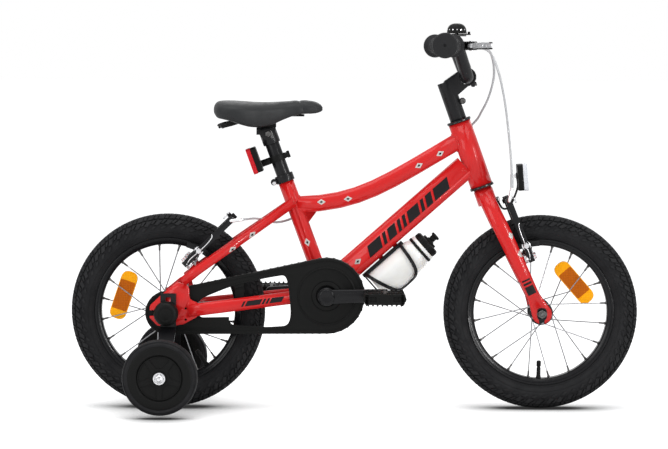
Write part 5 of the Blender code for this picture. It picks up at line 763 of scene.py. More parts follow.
def tread_block(grow, corners, lift):
    """One block: four (angle, along) corners, with a top that is a little smaller than its foot."""
    middle = Vector((sum(c[0] for c in corners) / 4.0, sum(c[1] for c in corners) / 4.0))
    foot = [grow.verts.new(on_casing(a, s, -FOOT_DEPTH)) for a, s in corners]
    top = []
    for a, s in corners:
        drawn = Vector((a, s)).lerp(middle, TOP_INSET)
        top.append(grow.verts.new(on_casing(drawn.x, drawn.y, lift)))
    grow.faces.new(top)
    grow.faces.new(list(reversed(foot)))
    for n in range(4):
        grow.faces.new((foot[n], foot[(n + 1) % 4], top[(n + 1) % 4], top[n]))


PITCHES = 54
PITCH = 2.0 * math.pi / PITCHES
TREAD_ROWS = [
    ((0.02, 0.02), (0.90, 0.02), (1.03, 0.25), (0.15, 0.25), 0.0013),
    ((0.18, 0.30), (0.68, 0.30), (0.88, 0.49), (0.38, 0.49), 0.0028),
    ((0.80, 0.30), (1.10, 0.30), (1.30, 0.45), (1.00, 0.49), 0.0028),
    ((0.42, 0.55), (0.92, 0.54), (1.36, 0.71), (0.98, 0.75), 0.0030),
    ((1.04, 0.53), (1.32, 0.53), (1.66, 0.65), (1.44, 0.67), 0.0028),
    ((1.10, 0.79), (1.44, 0.77), (1.76, 0.86), (1.58, 0.90), 0.0024)]
grow = bmesh.new()
for pitch in range(PITCHES):
    for side in (1.0, -1.0):
        shift = pitch * PITCH + (0.0 if side > 0 else PITCH * 0.5)
        for *corners, lift in TREAD_ROWS:
            tread_block(grow, [(shift + share * PITCH, side * along) for share, along in corners], lift)
grow.normal_update()
bmesh.ops.recalc_face_normals(grow, faces=grow.faces)
tread = grown_piece(grow, "tread")
for vertex in tread.data.vertices:
    reach = math.hypot(vertex.co.x, vertex.co.z)
    if reach > WHEEL_RADIUS:
        vertex.co.x *= WHEEL_RADIUS / reach
        vertex.co.z *= WHEEL_RADIUS / reach
print("tread blocks:", PITCHES * 2 * len(TREAD_ROWS))

# %% [markdown]
# ## Rings on the wall
# A tyre mould leaves fine raised rings on the wall. They could be bump lines, but a thin torus
# catches the light as a real ridge does, from any angle.

# %% Moulded rings on the wall
wall_rings = []
for side in (1.0, -1.0):
    for ring_radius, ring_across in ((0.1352, 0.0168), (0.1432, 0.0226)):
        all_deselected()
        bpy.ops.mesh.primitive_torus_add(major_radius=ring_radius, minor_radius=0.0007,
                                         major_segments=96, minor_segments=6,
                                         location=(0.0, side * ring_across, 0.0),
                                         rotation=TOWARDS_LEFT)
        wall_rings.append(bpy.context.object)
for smooth_part in (casing, *wall_rings):
    smooth_part.data.materials.append(tyre_rubber)
tread.data.materials.append(tread_rubber)
tyre_pattern = joined([casing, tread, *wall_rings])
for prefix, axle in (("front", FRONT_AXLE), ("rear", REAR_AXLE)):
    tyre = copy_of(tyre_pattern, Matrix.Translation(axle))
    keep_piece(tyre, prefix + "_tyre_treaded", None, prefix + "_wheel",
               smooth_angle=28.0, replaces=[prefix + "_tyre"])
bpy.data.objects.remove(tyre_pattern)

# %% [markdown]
# ## The rims
# The rims are black box-section aluminium. Their side faces are machined flat for the brake
# pads, with a fine wear groove, and the inner face carries a round seat for each nipple. A plain
# ring would look like a hoop of wire, so the outline has the well, the walls and the hooks.

# %% Rims
RIM_OUTLINE = mm([(120.1, 0), (120.1, 8.8), (120.8, 10.1), (122.4, 11.2), (124, 12.1), (124.6, 12.5),
                  (127.1, 13.4), (127.4, 13.1), (127.8, 13.2), (128.1, 13.7), (130.8, 14.7), (131.5, 14.5),
                  (131.2, 13), (126, 10.8), (125, 9), (124.4, 0)])
rim_pattern = turned(mirrored(RIM_OUTLINE), 120, ring=True)
print("rim faces:", len(rim_pattern.data.polygons))

# %% [markdown]
# ## Hubs, spokes and nipples
# Ten spokes go to each flange, five pulling forwards and five backwards, and each crosses its
# neighbours. A spoke is a two millimetre zinc-plated wire. Its elbow hooks through the flange,
# and a dark nipple draws it tight at the rim. One nipple is turned, then copied to each end.

# %% Helper: where a spoke runs
SPOKE_LEAN = math.radians(52.0)
FIRST_SPOKE = math.radians(8.0)
FLANGE_CIRCLE, RIM_SEAT = 0.0185, 0.1200


def spoke_run(flange_out, index):
    """The two ends of one spoke of a wheel at the origin, as the CAD model lays it."""
    side = 1.0 if index % 2 else -1.0
    outside = index % 4 < 2
    lean = SPOKE_LEAN if outside else -SPOKE_LEAN
    angle = 2.0 * math.pi * index / SPOKES + FIRST_SPOKE
    hub_out = flange_out - (0.0006 if outside else 0.0034)
    hub_end = wheel_point(angle + lean, FLANGE_CIRCLE, side * hub_out)
    rim_end = wheel_point(angle, RIM_SEAT, side * (0.0065 if outside else 0.0025))
    return hub_end, rim_end


# %% Nipple pattern
SPOKE_RADIUS, ELBOW_LONG = 0.00105, 0.0042
nipple_pattern = turned(mm([(0, 0), (2.4, 0), (2.7, 1.2), (2.4, 2.4), (1.8, 3), (1.7, 10.5), (1.4, 11.8),
                            (0, 11.9)]), 10, turn=(0.0, 0.0, 0.0))


def laced(flange_out):
    """All the spokes and all the nipples of one wheel at the origin, as two meshes."""
    wires, nipples = [], []
    for index in range(SPOKES):
        hub_end, rim_end = spoke_run(flange_out, index)
        way = (hub_end - rim_end).normalized()
        side = 1.0 if hub_end.y > 0.0 else -1.0
        outside = index % 4 < 2
        elbow = Vector((hub_end.x, hub_end.y - side * (ELBOW_LONG if outside else -ELBOW_LONG), hub_end.z))
        wires.append(round_bar(rim_end, hub_end, SPOKE_RADIUS, 8))
        wires.append(round_bar(hub_end, elbow, SPOKE_RADIUS, 8))
        wires.append(round_bar(elbow, elbow.lerp(hub_end, -0.22), 0.0019, 8))
        turn = way.to_track_quat("Z", "Y").to_matrix().to_4x4()
        nipples.append(copy_of(nipple_pattern, Matrix.Translation(rim_end) @ turn))
    return joined(wires), joined(nipples)


# %% Hub pattern
def hub_shell(half):
    """A hub at the origin: barrel, two flanges with a lip, and a dust cap at each end."""
    drops = mm([(6.2, 0), (9.8, 0), (11.2, 0.6), (11.8, 2), (19.6, 2), (21.2, 2.6), (21.4, 3.4), (20.6, 5),
                (16, 5.6), (12.6, 7.8), (11, 12), (10, 19)])
    side = [(radius, half - drop) for radius, drop in drops]
    return turned(mirrored(side + [(0.0098, 0.0)]), 40, ring=True)


# %% Both wheels' rims, hubs and spokes
for prefix, axle, half in (("front", FRONT_AXLE, 0.0340), ("rear", REAR_AXLE, 0.0330)):
    move = Matrix.Translation(axle)
    rim = copy_of(rim_pattern, move)
    keep_piece(rim, prefix + "_rim_machined", gloss_black, prefix + "_wheel", smooth_angle=30.0,
               replaces=[prefix + "_rim"])
    wires, nipples = laced(half - 0.002)
    wires.data.transform(move)
    nipples.data.transform(move)
    hub = hub_shell(half)
    hub.data.transform(move)
    keep_piece(hub, prefix + "_hub_shell", satin_black, prefix + "_wheel", replaces=[prefix + "_hub"])
    keep_piece(wires, prefix + "_spokes", drawn_steel, prefix + "_wheel")
    keep_piece(nipples, prefix + "_nipples", dark_steel, prefix + "_wheel")
bpy.data.objects.remove(rim_pattern)
bpy.data.objects.remove(nipple_pattern)

# %% [markdown]
# ## Tube valves
# Each inner tube has a car-type valve with a black rubber stem and a ribbed dust cap. The
# photograph shows the front one at the bottom of its rim. It points at the hub, through a hole
# between two spokes.

# %% Valves
valve_outline = mm([(0, -4), (5, -4), (4.8, 0.6), (4.2, 2.4), (3.8, 6), (3.7, 18), (3, 19), (3, 20.4),
                    (3.6, 20.8), (4.1, 21.6), (4.1, 29), (3.6, 30.6), (2, 31.2), (0, 31.3)])
valve_pattern = turned(valve_outline, 20, turn=(0.0, 0.0, 0.0))
for prefix, axle, angle in (("front", FRONT_AXLE, -91.0), ("rear", REAR_AXLE, -55.0)):
    seat = axle + wheel_point(math.radians(angle), RIM_SEAT, 0.0)
    turn = (axle - seat).to_track_quat("Z", "Y").to_matrix().to_4x4()
    valve = copy_of(valve_pattern, Matrix.Translation(seat) @ turn)
    keep_piece(valve, prefix + "_valve", moulded_black, prefix + "_wheel")
bpy.data.objects.remove(valve_pattern)

# %% [markdown]
# ## Stabiliser wheels
# The small side wheels are moulded in one black plastic and carry a smooth, softer tread band
# between two thin beads. The outer face is a broad ring round a recess, and in the recess five
# low fans leave narrow webs between them. The rings are turned. The fans are openings cut in a
# thin plate that lies on the floor of the recess, which keeps their edges crisp.

# %% Stabiliser wheel
STABILISER_AXLE = Vector((-0.3402, 0.0, 0.0725))
STABILISER_OUT = 0.170
disc_outline = mm([(5.6, 17.2), (10.8, 17.6), (12.4, 17), (13.6, 13), (15, 11.8), (38.6, 11.8), (40, 12.8),
                   (40.8, 15), (42, 16), (47, 16.6), (52, 16.4), (55.6, 15.6), (56.6, 15), (56.6, -15),
                   (50, -16), (44, -15), (43, -6), (15, -5.6), (13.6, -7.6), (12.6, -17.6), (5.6, -17.6)])
band_outline = mm([(56, 15.3), (58, 16.6), (60, 16.8), (61.4, 16), (62.2, 14.8), (63, 14.4), (63.6, 15),
                   (64.2, 15), (64.8, 14.2), (65.6, 11.8), (66.2, 8), (66.5, 3)])


def fan_outline(middle):
    """One fan-shaped opening, wider at the rim than at the hub, seen from the side."""
    corners = []
    for radius, spread, steps in ((0.0368, 0.52, 8), (0.0175, -0.30, 4)):
        for n in range(steps + 1):
            angle = middle - spread + 2.0 * spread * n / steps
            corners.append((STABILISER_AXLE.x + radius * math.cos(angle),
                            STABILISER_AXLE.z + radius * math.sin(angle)))
    return corners


for word, side in SIDES:
    centre = STABILISER_AXLE + Vector((0.0, side * STABILISER_OUT, 0.0))
    body = word + "_stabiliser"
    disc = turned_at(disc_outline, 72, centre, (0.0, side, 0.0), ring=True)
    fans = [fan_outline(math.radians(90.0 + 72.0 * n)) for n in range(5)]
    plate = cut_plate([round_outline(STABILISER_AXLE.x, STABILISER_AXLE.z, 0.0388, 72), *fans],
                      STABILISER_OUT + 0.0112, STABILISER_OUT + 0.0136, 0.0006, side)
    keep_piece(joined([disc, plate]), "stabiliser_disc_" + word, moulded_black, body, smooth_angle=30.0,
               replaces=["stabiliser_wheel_" + word])
    band = turned_at(mirrored(band_outline), 96, centre, (0.0, side, 0.0), ring=True)
    keep_piece(band, "stabiliser_band_" + word, tyre_rubber, body, replaces=["stabiliser_wheel_" + word])

# %% [markdown]
# ## Stabiliser nuts
# A bright dome nut on a washer holds each small wheel, the one shiny spot in its black face. All
# three parts are turned, the nut with only six sides.

# %% Stabiliser nuts
for word, side in SIDES:
    face = STABILISER_AXLE + Vector((0.0, side * 0.1883, 0.0))
    out = (0.0, side, 0.0)
    washer = turned_at(mm([(0, 0), (10.5, 0), (10.8, 0.4), (10.6, 1.4), (0, 1.4)]), 32, face, out)
    nut = turned_at(mm([(0, 1.2), (8.8, 1.2), (8.8, 5.2), (8, 6), (0, 6)]), 6, face, out)
    dome = turned_at(mm([(0, 5.8), (6.2, 5.8), (6.1, 7), (5.2, 8), (3.4, 8.6), (0, 8.8)]), 24, face, out)
    keep_piece(joined([washer, nut, dome]), "stabiliser_nut_" + word, zinc_steel, "frame",
               smooth_angle=30.0)

# %% [markdown]
# ## Axle caps
# A deep plastic cup hides each axle nut, so that no child scrapes on the thread. It is a turned
# shell with a broad chamfer, a flat crown and a fine step round it, where the mould parts. The
# outline begins on the axis inside the hollow and ends on the axis outside.

# %% Axle caps
REAR_CAP_IN = 0.0646
cap_outline = mm([(19.5, 0.2), (21.6, 0.2), (22, 1), (22, 9.6), (21.4, 10.4), (21.3, 12.2), (20.4, 15.6),
                  (18.8, 18.2), (16, 20), (12.8, 20.7), (11.2, 20.3), (10.4, 20.3), (8.8, 20.8), (0, 21)])
cap_hollow = mm([(0, 18.8), (14, 18), (18, 15), (19.5, 9)])
for word, side in SIDES:
    centre = REAR_AXLE + Vector((0.0, side * REAR_CAP_IN, 0.0))
    cap = turned_at(cap_hollow + cap_outline, 56, centre, (0.0, side, 0.0))
    keep_piece(cap, "axle_cap_" + word, moulded_black, "frame", replaces=["axle_nut_cap_" + word])

# %% [markdown]
# ## Water bottle
# A blow-moulded bottle of milky plastic, with a black ring in its neck groove and a screwed cap
# with a pull-up nozzle. It is a turned form, so a lathe gives it all at once. A child's bottle
# is short and wide, and its shoulder is a soft step, not a cone.

# %% Bottle
BOTTLE_FOOT = Vector((0.04145, 0.0, 0.2187))
DOWN_WAY = Vector((0.74896, 0.0, 0.66262))
DOWN_LIFT = Vector((-0.66262, 0.0, 0.74896))
bottle_outline = mm([(0, 2.2), (18, 1.4), (22, 0.2), (25.2, 0.4), (27.6, 1.8), (29, 4.2), (29.5, 7.8),
                     (29.5, 40), (29.5, 78), (29.4, 85), (28.8, 90.5), (27.7, 94.5), (26.2, 97.2),
                     (25.5, 99), (25.3, 100.6), (25.3, 104.6), (25.8, 105.2), (26.2, 105.8), (26.2, 109.2),
                     (25.6, 110.4), (24.4, 111), (0, 111)])
bottle_body = turned_at(bottle_outline, 72, BOTTLE_FOOT, DOWN_WAY)
keep_piece(bottle_body, "bottle_body", milky, "bottle", smooth_angle=50.0, replaces=["water_bottle"])
neck_ring = turned_at(mm([(25, 99.8), (26.6, 99.8), (27, 100.3), (27, 104.2), (26.6, 104.7), (25, 104.7)]),
                      64, BOTTLE_FOOT, DOWN_WAY, ring=True)
keep_piece(neck_ring, "bottle_neck_ring", moulded_black, "bottle")

# %% [markdown]
# ## Bottle cap
# The screwed cap has fine ribs for the fingers. A bump would leave its edge smooth, so thirty thin
# bars stand round a turned cap.

# %% Bottle cap, with finger ribs
cap_profile = mm([(0, 110.8), (23.6, 110.8), (24, 111.2), (24, 120.6), (23.2, 122.2), (21.4, 123),
                  (15, 123.2), (14.4, 123.8), (14.2, 126.2), (13.4, 127), (7.8, 127.2), (7.4, 127.8),
                  (7.4, 129), (5.6, 129), (5.6, 124), (0, 124)])
bottle_cap = turned_at(cap_profile, 64, BOTTLE_FOOT, DOWN_WAY)
ribs = []
cap_side = DOWN_WAY.cross(DOWN_LIFT).normalized()
for n in range(30):
    angle = 2.0 * math.pi * n / 30.0
    out = DOWN_LIFT * math.cos(angle) + cap_side * math.sin(angle)
    foot = BOTTLE_FOOT + DOWN_WAY * 0.1122 + out * 0.0239
    ribs.append(round_bar(foot, foot + DOWN_WAY * 0.0076, 0.0008, 6))
keep_piece(joined([bottle_cap, *ribs]), "bottle_cap", moulded_black, "bottle", replaces=["water_bottle"])

# %% [markdown]
# ## Nozzle
# The nozzle is a small spool that is pulled up to drink. Waist and lip are turned in one go.

# %% Nozzle
nozzle_outline = mm([(0, 126.2), (4.4, 126.2), (4.6, 129.2), (5.8, 129.8), (6, 131), (5.8, 135.2),
                     (6.2, 136.6), (8, 137.4), (8.4, 138.2), (8.4, 140.2), (7.6, 141.4), (5.2, 141.9),
                     (2.6, 142), (2.2, 141.2), (0, 141.2)])
nozzle = turned_at(nozzle_outline, 40, BOTTLE_FOOT, DOWN_WAY)
keep_piece(nozzle, "bottle_spout", moulded_black, "nozzle", replaces=["bottle_nozzle"])


# %% [markdown]
# ## Bottle cage
# The cage is bent from one flat black strip each side. A strip differs from a wire in that it
# keeps its broad face towards the bottle, so each section is laid along the direction that
# points out from the bottle's axis.

# %% Cage strips
def strap_round(path, half_width, half_thick, lift_of):
    """A flat strap through points: lift_of(point) points out of its broad face."""
    grow = bmesh.new()
    rings = []
    for n, point in enumerate(path):
        way = (path[min(n + 1, len(path) - 1)] - path[max(n - 1, 0)]).normalized()
        lift = lift_of(point)
        lift = (lift - way * lift.dot(way)).normalized()
        across = way.cross(lift).normalized()
        ring = []
        for a, b in ((-1.0, -0.5), (-0.86, -1.0), (0.86, -1.0), (1.0, -0.5), (1.0, 0.5), (0.86, 1.0),
                     (-0.86, 1.0), (-1.0, 0.5)):
            ring.append(grow.verts.new(point + across * half_width * a + lift * half_thick * b))
        rings.append(ring)
    for a, b in zip(rings, rings[1:]):
        for n in range(8):
            grow.faces.new((a[n - 1], a[n], b[n], b[n - 1]))
    grow.faces.new(rings[0])
    grow.faces.new(rings[-1])
    bmesh.ops.recalc_face_normals(grow, faces=grow.faces)
    return grown_piece(grow, "strap")


# %% [markdown]
# ## The cage's loop and spine
# Each side strip leaves the spine, runs round the bottle and comes back at its foot. Its corners
# are given as degrees round the bottle and millimetres along it, and are rounded by averaging
# each with its neighbours, as a bending jig would ease them.

# %% Cage
CAGE_LOOP = [(12, 82.0), (78, 80.5), (128, 75.0), (158, 66.0), (174, 52.0), (174, 34.0), (146, 24.0),
             (104, 15.0), (56, 4.0), (14, -1.0)]
CAGE_AROUND = 0.0331


def out_of_bottle(point):
    """The direction from the bottle's axis to a point."""
    away = point - BOTTLE_FOOT
    return away - DOWN_WAY * away.dot(DOWN_WAY)


cage_strips = []
for side in (1.0, -1.0):
    corners = []
    for (a0, d0), (a1, d1) in zip(CAGE_LOOP, CAGE_LOOP[1:]):
        steps = max(2, math.ceil(abs(a1 - a0) / 10.0))
        corners += [(a0 + (a1 - a0) * n / steps, d0 + (d1 - d0) * n / steps) for n in range(steps)]
    corners.append(CAGE_LOOP[-1])
    for _ in range(6):
        corners = [corners[0]] + [((a[0] + 2.0 * b[0] + c[0]) / 4.0, (a[1] + 2.0 * b[1] + c[1]) / 4.0)
                                  for a, b, c in zip(corners, corners[1:], corners[2:])] + [corners[-1]]
    path = []
    for angle, along in corners:
        turn = math.radians(angle)
        path.append(BOTTLE_FOOT + DOWN_WAY * along / 1000.0 + DOWN_LIFT * CAGE_AROUND * math.cos(turn)
                    + Vector((0.0, side * CAGE_AROUND * math.sin(turn), 0.0)))
    cage_strips.append(strap_round(path, 0.0031, 0.0013, out_of_bottle))
SPINE_LIFT = 0.0335
spine = [BOTTLE_FOOT + DOWN_LIFT * SPINE_LIFT + DOWN_WAY * along for along in
         (-0.0058, 0.004, 0.016, 0.030, 0.045, 0.060, 0.074, 0.0875)]
cage_strips.append(strap_round(spine, 0.0105, 0.0012, lambda point: DOWN_LIFT))
for across in (-0.0092, 0.0092):
    flange = [point - DOWN_LIFT * 0.0022 + Vector((0.0, across, 0.0)) for point in spine]
    cage_strips.append(strap_round(flange, 0.0024, 0.0013, lambda point: Vector((0.0, 1.0, 0.0))))
shelf = [BOTTLE_FOOT - DOWN_WAY * 0.0040 + DOWN_LIFT * lift for lift in (0.0340, 0.0200, 0.0060, -0.0080)]
cage_strips.append(strap_round(shelf, 0.0078, 0.0012, lambda point: DOWN_WAY))
keep_piece(joined(cage_strips), "bottle_cage_strips", satin_black, "frame", replaces=["bottle_cage"])
cage_bolts = []
for along in (0.0403, 0.0739):
    spot = BOTTLE_FOOT + DOWN_LIFT * (SPINE_LIFT - 0.0012) + DOWN_WAY * along
    cage_bolts.append(socket_bolt(spot, -DOWN_LIFT, 0.0040, 0.0022))
keep_piece(joined(cage_bolts), "bottle_cage_bolts", zinc_steel, "frame")

# %% [markdown]
# ## The chain drive
# This is the most skilful part of the bicycle: a bush roller chain, seventy links long, that
# runs round thirty-two teeth at the cranks and seventeen at the rear wheel. A strip with a bump
# texture would pass from far away, but the guard leaves the chain's edge in sight, and there its
# figure-of-eight plates give the scalloped outline. So every link has its two plates and every
# pin its roller, from one small pattern each.

# %% Path of the chain's pins
CRANK = Vector((-0.0495, 0.0, 0.2063))
CHAIN_PITCH = 0.0127
CHAIN_LINKS = 70
CHAIN_OUT = 0.0405
RING_RADIUS = CHAIN_PITCH / (2.0 * math.sin(math.pi / 32))
COG_RADIUS = CHAIN_PITCH / (2.0 * math.sin(math.pi / 17))
span = CRANK - REAR_AXLE
span_angle = math.atan2(span.z, span.x)
wrap = math.asin((RING_RADIUS - COG_RADIUS) / span.length)
TOP_ANGLE = span_angle + math.pi / 2.0 + wrap
BOTTOM_ANGLE = span_angle - math.pi / 2.0 - wrap
STRAIGHT = span.length * math.cos(wrap)
RING_ARC = RING_RADIUS * (TOP_ANGLE - BOTTOM_ANGLE)
COG_ARC = COG_RADIUS * (2.0 * math.pi - (TOP_ANGLE - BOTTOM_ANGLE))
CHAIN_LENGTH = 2.0 * STRAIGHT + RING_ARC + COG_ARC


def chain_point(distance):
    """Where the chain's centre line is, a distance round from the bottom of the chainring."""
    d = distance % CHAIN_LENGTH

    def on(centre, radius, angle):
        return Vector((centre.x + radius * math.cos(angle), -CHAIN_OUT, centre.z + radius * math.sin(angle)))

    if d < RING_ARC:
        return on(CRANK, RING_RADIUS, BOTTOM_ANGLE + d / RING_RADIUS)
    d -= RING_ARC
    if d < STRAIGHT:
        return on(CRANK, RING_RADIUS, TOP_ANGLE).lerp(on(REAR_AXLE, COG_RADIUS, TOP_ANGLE), d / STRAIGHT)
    d -= STRAIGHT
    if d < COG_ARC:
        return on(REAR_AXLE, COG_RADIUS, TOP_ANGLE + d / COG_RADIUS)
    d -= COG_ARC
    return on(REAR_AXLE, COG_RADIUS, BOTTOM_ANGLE).lerp(on(CRANK, RING_RADIUS, BOTTOM_ANGLE), d / STRAIGHT)


pins = [chain_point(CHAIN_LENGTH * n / CHAIN_LINKS) for n in range(CHAIN_LINKS)]
print("chain length:", round(CHAIN_LENGTH, 4), "m in", CHAIN_LINKS, "links")

# %% [markdown]
# ## Links
# A link is two figure-of-eight plates, with a roller at each pin. Outer links stand wider than
# inner ones, in turn, so the loop changes the distance of the plates with each pin.

# %% Link plates and rollers
PLATE_ROUND = 0.0043
OUTER_PLATE, INNER_PLATE = 0.0038, 0.0028
half_link = (pins[1] - pins[0]).length / 2.0
plate_edge = (round_outline(half_link, 0.0, PLATE_ROUND, 8, math.radians(-125.0), math.radians(250.0))
              + round_outline(-half_link, 0.0, PLATE_ROUND, 8, math.radians(55.0), math.radians(250.0)))
plate_pattern = cut_plate([plate_edge], -0.0004, 0.0004, 0.0, 1.0)
roller_pattern = turned(mm([(0, -3.8), (1.7, -3.8), (1.7, -2.2), (3.6, -2.2), (3.6, 2.2), (1.7, 2.2),
                            (1.7, 4.3), (0, 4.3)]), 10)
plates, rollers = [], []
for n, pin in enumerate(pins):
    after = pins[(n + 1) % CHAIN_LINKS]
    way = after - pin
    swing = Matrix.Rotation(-math.atan2(way.z, way.x), 4, "Y")
    reach = OUTER_PLATE if n % 2 else INNER_PLATE
    for side in (reach, -reach):
        plates.append(copy_of(plate_pattern, Matrix.Translation((pin + after) / 2.0
                                                                + Vector((0.0, side, 0.0))) @ swing))
    rollers.append(copy_of(roller_pattern, Matrix.Translation(pin)))
keep_piece(joined(plates + rollers), "chain_links", dark_steel, "frame", smooth_angle=30.0,
           replaces=["chain"])
bpy.data.objects.remove(plate_pattern)
bpy.data.objects.remove(roller_pattern)

# %% [markdown]
# ## Chain guard
# The guard is a thin moulding: a flat face with a large window over the chain stay, an edge band
# that stands a little proud, a raised disc round the cranks and a low cone inside it. The faces
# are plates cut from outlines, and the disc is turned.

# %% Guard
GUARD_OUT = 0.0500
WINDOW = mm([(50.7, 14.7), (66.2, 27.7), (113.7, 47.4), (170.7, 61.7), (211.7, 68.7), (217.2, 52.7),
             (222.7, -3.3), (216.7, -22.8), (177.7, -25.3), (116.7, -21.3), (111.7, -14.3), (111.7, -7.3),
             (59.7, -8.3)])
WINDOW_EASE = [0.004, 0.008, 0.02, 0.02, 0.008, 0.012, 0.02, 0.010, 0.01, 0.004, 0.002, 0.0015, 0.006]


def guard_edge(grow):
    """The guard's outline, grown or drawn in: two arcs and the straight edges that touch both."""
    front, back = 0.067885 + grow, 0.038658 + grow
    turn = math.asin((front - back) / span.length)
    top = span_angle + math.pi / 2.0 + turn
    bottom = span_angle - math.pi / 2.0 - turn
    points = round_outline(CRANK.x, CRANK.z, front, 56, bottom, top - bottom)
    return points + round_outline(REAR_AXLE.x, REAR_AXLE.z, back, 32, top, bottom + 2.0 * math.pi - top)


window_edge = eased([(REAR_AXLE.x + a, REAR_AXLE.z + u) for a, u in WINDOW], WINDOW_EASE)
MIDDLE_ALONG, MIDDLE_UP = 0.1420, 0.0180
window_wide = eased([(REAR_AXLE.x + MIDDLE_ALONG + (a - MIDDLE_ALONG) * 1.040,
                      REAR_AXLE.z + MIDDLE_UP + (u - MIDDLE_UP) * 1.085) for a, u in WINDOW], WINDOW_EASE)
crank_hole = round_outline(CRANK.x, CRANK.z, 0.0180, 40)
axle_hole = round_outline(REAR_AXLE.x, REAR_AXLE.z, 0.0125, 28)
guard_parts = [
    cut_plate([guard_edge(0.0), window_edge, crank_hole, axle_hole], GUARD_OUT - 0.0022, GUARD_OUT, 0.0005),
    cut_plate([guard_edge(0.0), guard_edge(-0.0024)], GUARD_OUT - 0.0042, GUARD_OUT - 0.0020, 0.0),
    cut_plate([guard_edge(-0.0004), guard_edge(-0.0052)], GUARD_OUT - 0.0004, GUARD_OUT + 0.0009, 0.0005),
    cut_plate([window_wide, window_edge], GUARD_OUT - 0.0004, GUARD_OUT + 0.0007, 0.0004)]
dish_outline = mm([(18.2, 48), (18.2, 50.2), (19.4, 51.4), (24, 50.8), (26.2, 50), (27.2, 50.8), (30, 51),
                   (31.6, 50.3), (47.2, 50.8), (48.6, 51.2), (49.4, 52.2), (50.6, 52.2), (51.6, 51.6),
                   (52.2, 50.4), (52.5, 48.4)])
guard_parts.append(turned_at(dish_outline, 80, CRANK, (0.0, -1.0, 0.0), ring=True))
back, fore = REAR_AXLE.x + 0.1217, REAR_AXLE.x + 0.1377
guard_parts.append(cut_plate([eased([(back, REAR_AXLE.z + 0.0442), (fore, REAR_AXLE.z + 0.0482),
                                     (fore, REAR_AXLE.z + 0.0557), (back, REAR_AXLE.z + 0.0512)], 0.001)],
                             0.0376, 0.0484, 0.0003))
guard_parts.append(cut_plate([eased([(back, REAR_AXLE.z + 0.0027), (fore, REAR_AXLE.z + 0.0027),
                                     (fore, REAR_AXLE.z + 0.0517), (back, REAR_AXLE.z + 0.0477)], 0.001)],
                             0.0375, 0.0397, 0.0003))
for up in (0.0085, -0.0115):
    guard_parts.append(turned_at(mm([(0, 48.8), (4.4, 48.8), (4, 50), (4, 54.7), (0, 54.7)]),
                                 20, REAR_AXLE + Vector((0.0345, 0.0, up)),
                                 (0.0, -1.0, 0.0)))
keep_piece(joined(guard_parts), "chain_guard_moulding", moulded_black, "frame", smooth_angle=30.0,
           replaces=["chain_guard"])

# %% [markdown]
# ## Cranks
# A forged steel arm is widest at its axle, tapers to the pedal and has a soft edge all round.
# The two long faces carry a shallow panel. A glossy cap with a dished middle hides the bolt.

# %% Crank arms
CRANK_ANGLE = math.radians(2.0)


def arm_outline(start, tip, thick, thin, steps=16):
    """A long shape with a round end at each centre, seen from the side."""
    way = tip - start
    angle = math.atan2(way.z, way.x)
    lean = math.asin((thick - thin) / way.length)
    first = angle + math.pi / 2.0 - lean
    sweep = math.pi + 2.0 * lean
    return (round_outline(start.x, start.z, thick, steps, first, sweep)
            + round_outline(tip.x, tip.z, thin, steps, first + sweep, 2.0 * math.pi - sweep))


pedal_spots = {}
for word, side, angle in (("right", -1.0, CRANK_ANGLE), ("left", 1.0, CRANK_ANGLE + math.pi)):
    way = Vector((math.cos(angle), 0.0, math.sin(angle)))
    tip = CRANK + way * 0.1025
    pedal_spots[word] = tip
    out = Vector((0.0, side, 0.0))
    arm = cut_plate([arm_outline(CRANK, tip, 0.0128, 0.0108)], 0.0622, 0.0726, 0.0028, side, 3)
    knuckle = turned_at(mm([(0, 62.2), (15, 62.2), (16.2, 64), (16.2, 70.8), (14.8, 72.4), (0, 72.6)]),
                        40, CRANK, out)
    panel = cut_plate([arm_outline(CRANK + way * 0.026, tip - way * 0.018, 0.0066, 0.0054)], 0.0722, 0.0734,
                      0.0005, side)
    boss = turned_at(mm([(0, 42.4), (12.8, 42.4), (13.6, 43.2), (13.6, 60), (15, 64), (0, 64)]),
                     40, CRANK, out)
    cap = turned_at(mm([(0, 72), (14, 72), (14.2, 73.4), (13.6, 74.6), (11.8, 75.5), (9.4, 75.8), (8, 75.2),
                        (4, 74.6), (0, 74.5)]), 40, CRANK, out)
    eye = turned_at(mm([(0, 72.2), (10, 72.2), (10, 73.6), (8.8, 74.4), (6.8, 74.6), (6.8, 80), (0, 80)]),
                    32, tip, out)
    spindle = round_bar(tip + out * 0.079, tip + out * 0.1535, 0.0058, 20)
    keep_piece(joined([arm, knuckle, panel, boss, eye, spindle]), "crank_forging_" + word, satin_black,
               "crankset", smooth_angle=35.0, replaces=["crank_arm_" + word])
    keep_piece(cap, "crank_cap_" + word, gloss_black, "crankset", smooth_angle=50.0)

# %% [markdown]
# ## Pedals
# Resin pedals for a child: a barrel on the spindle, an open frame round it, two shallow pockets
# in each side, and rows of small teeth along the upper and lower edges for grip. The teeth are
# one small wedge, copied along the edges.

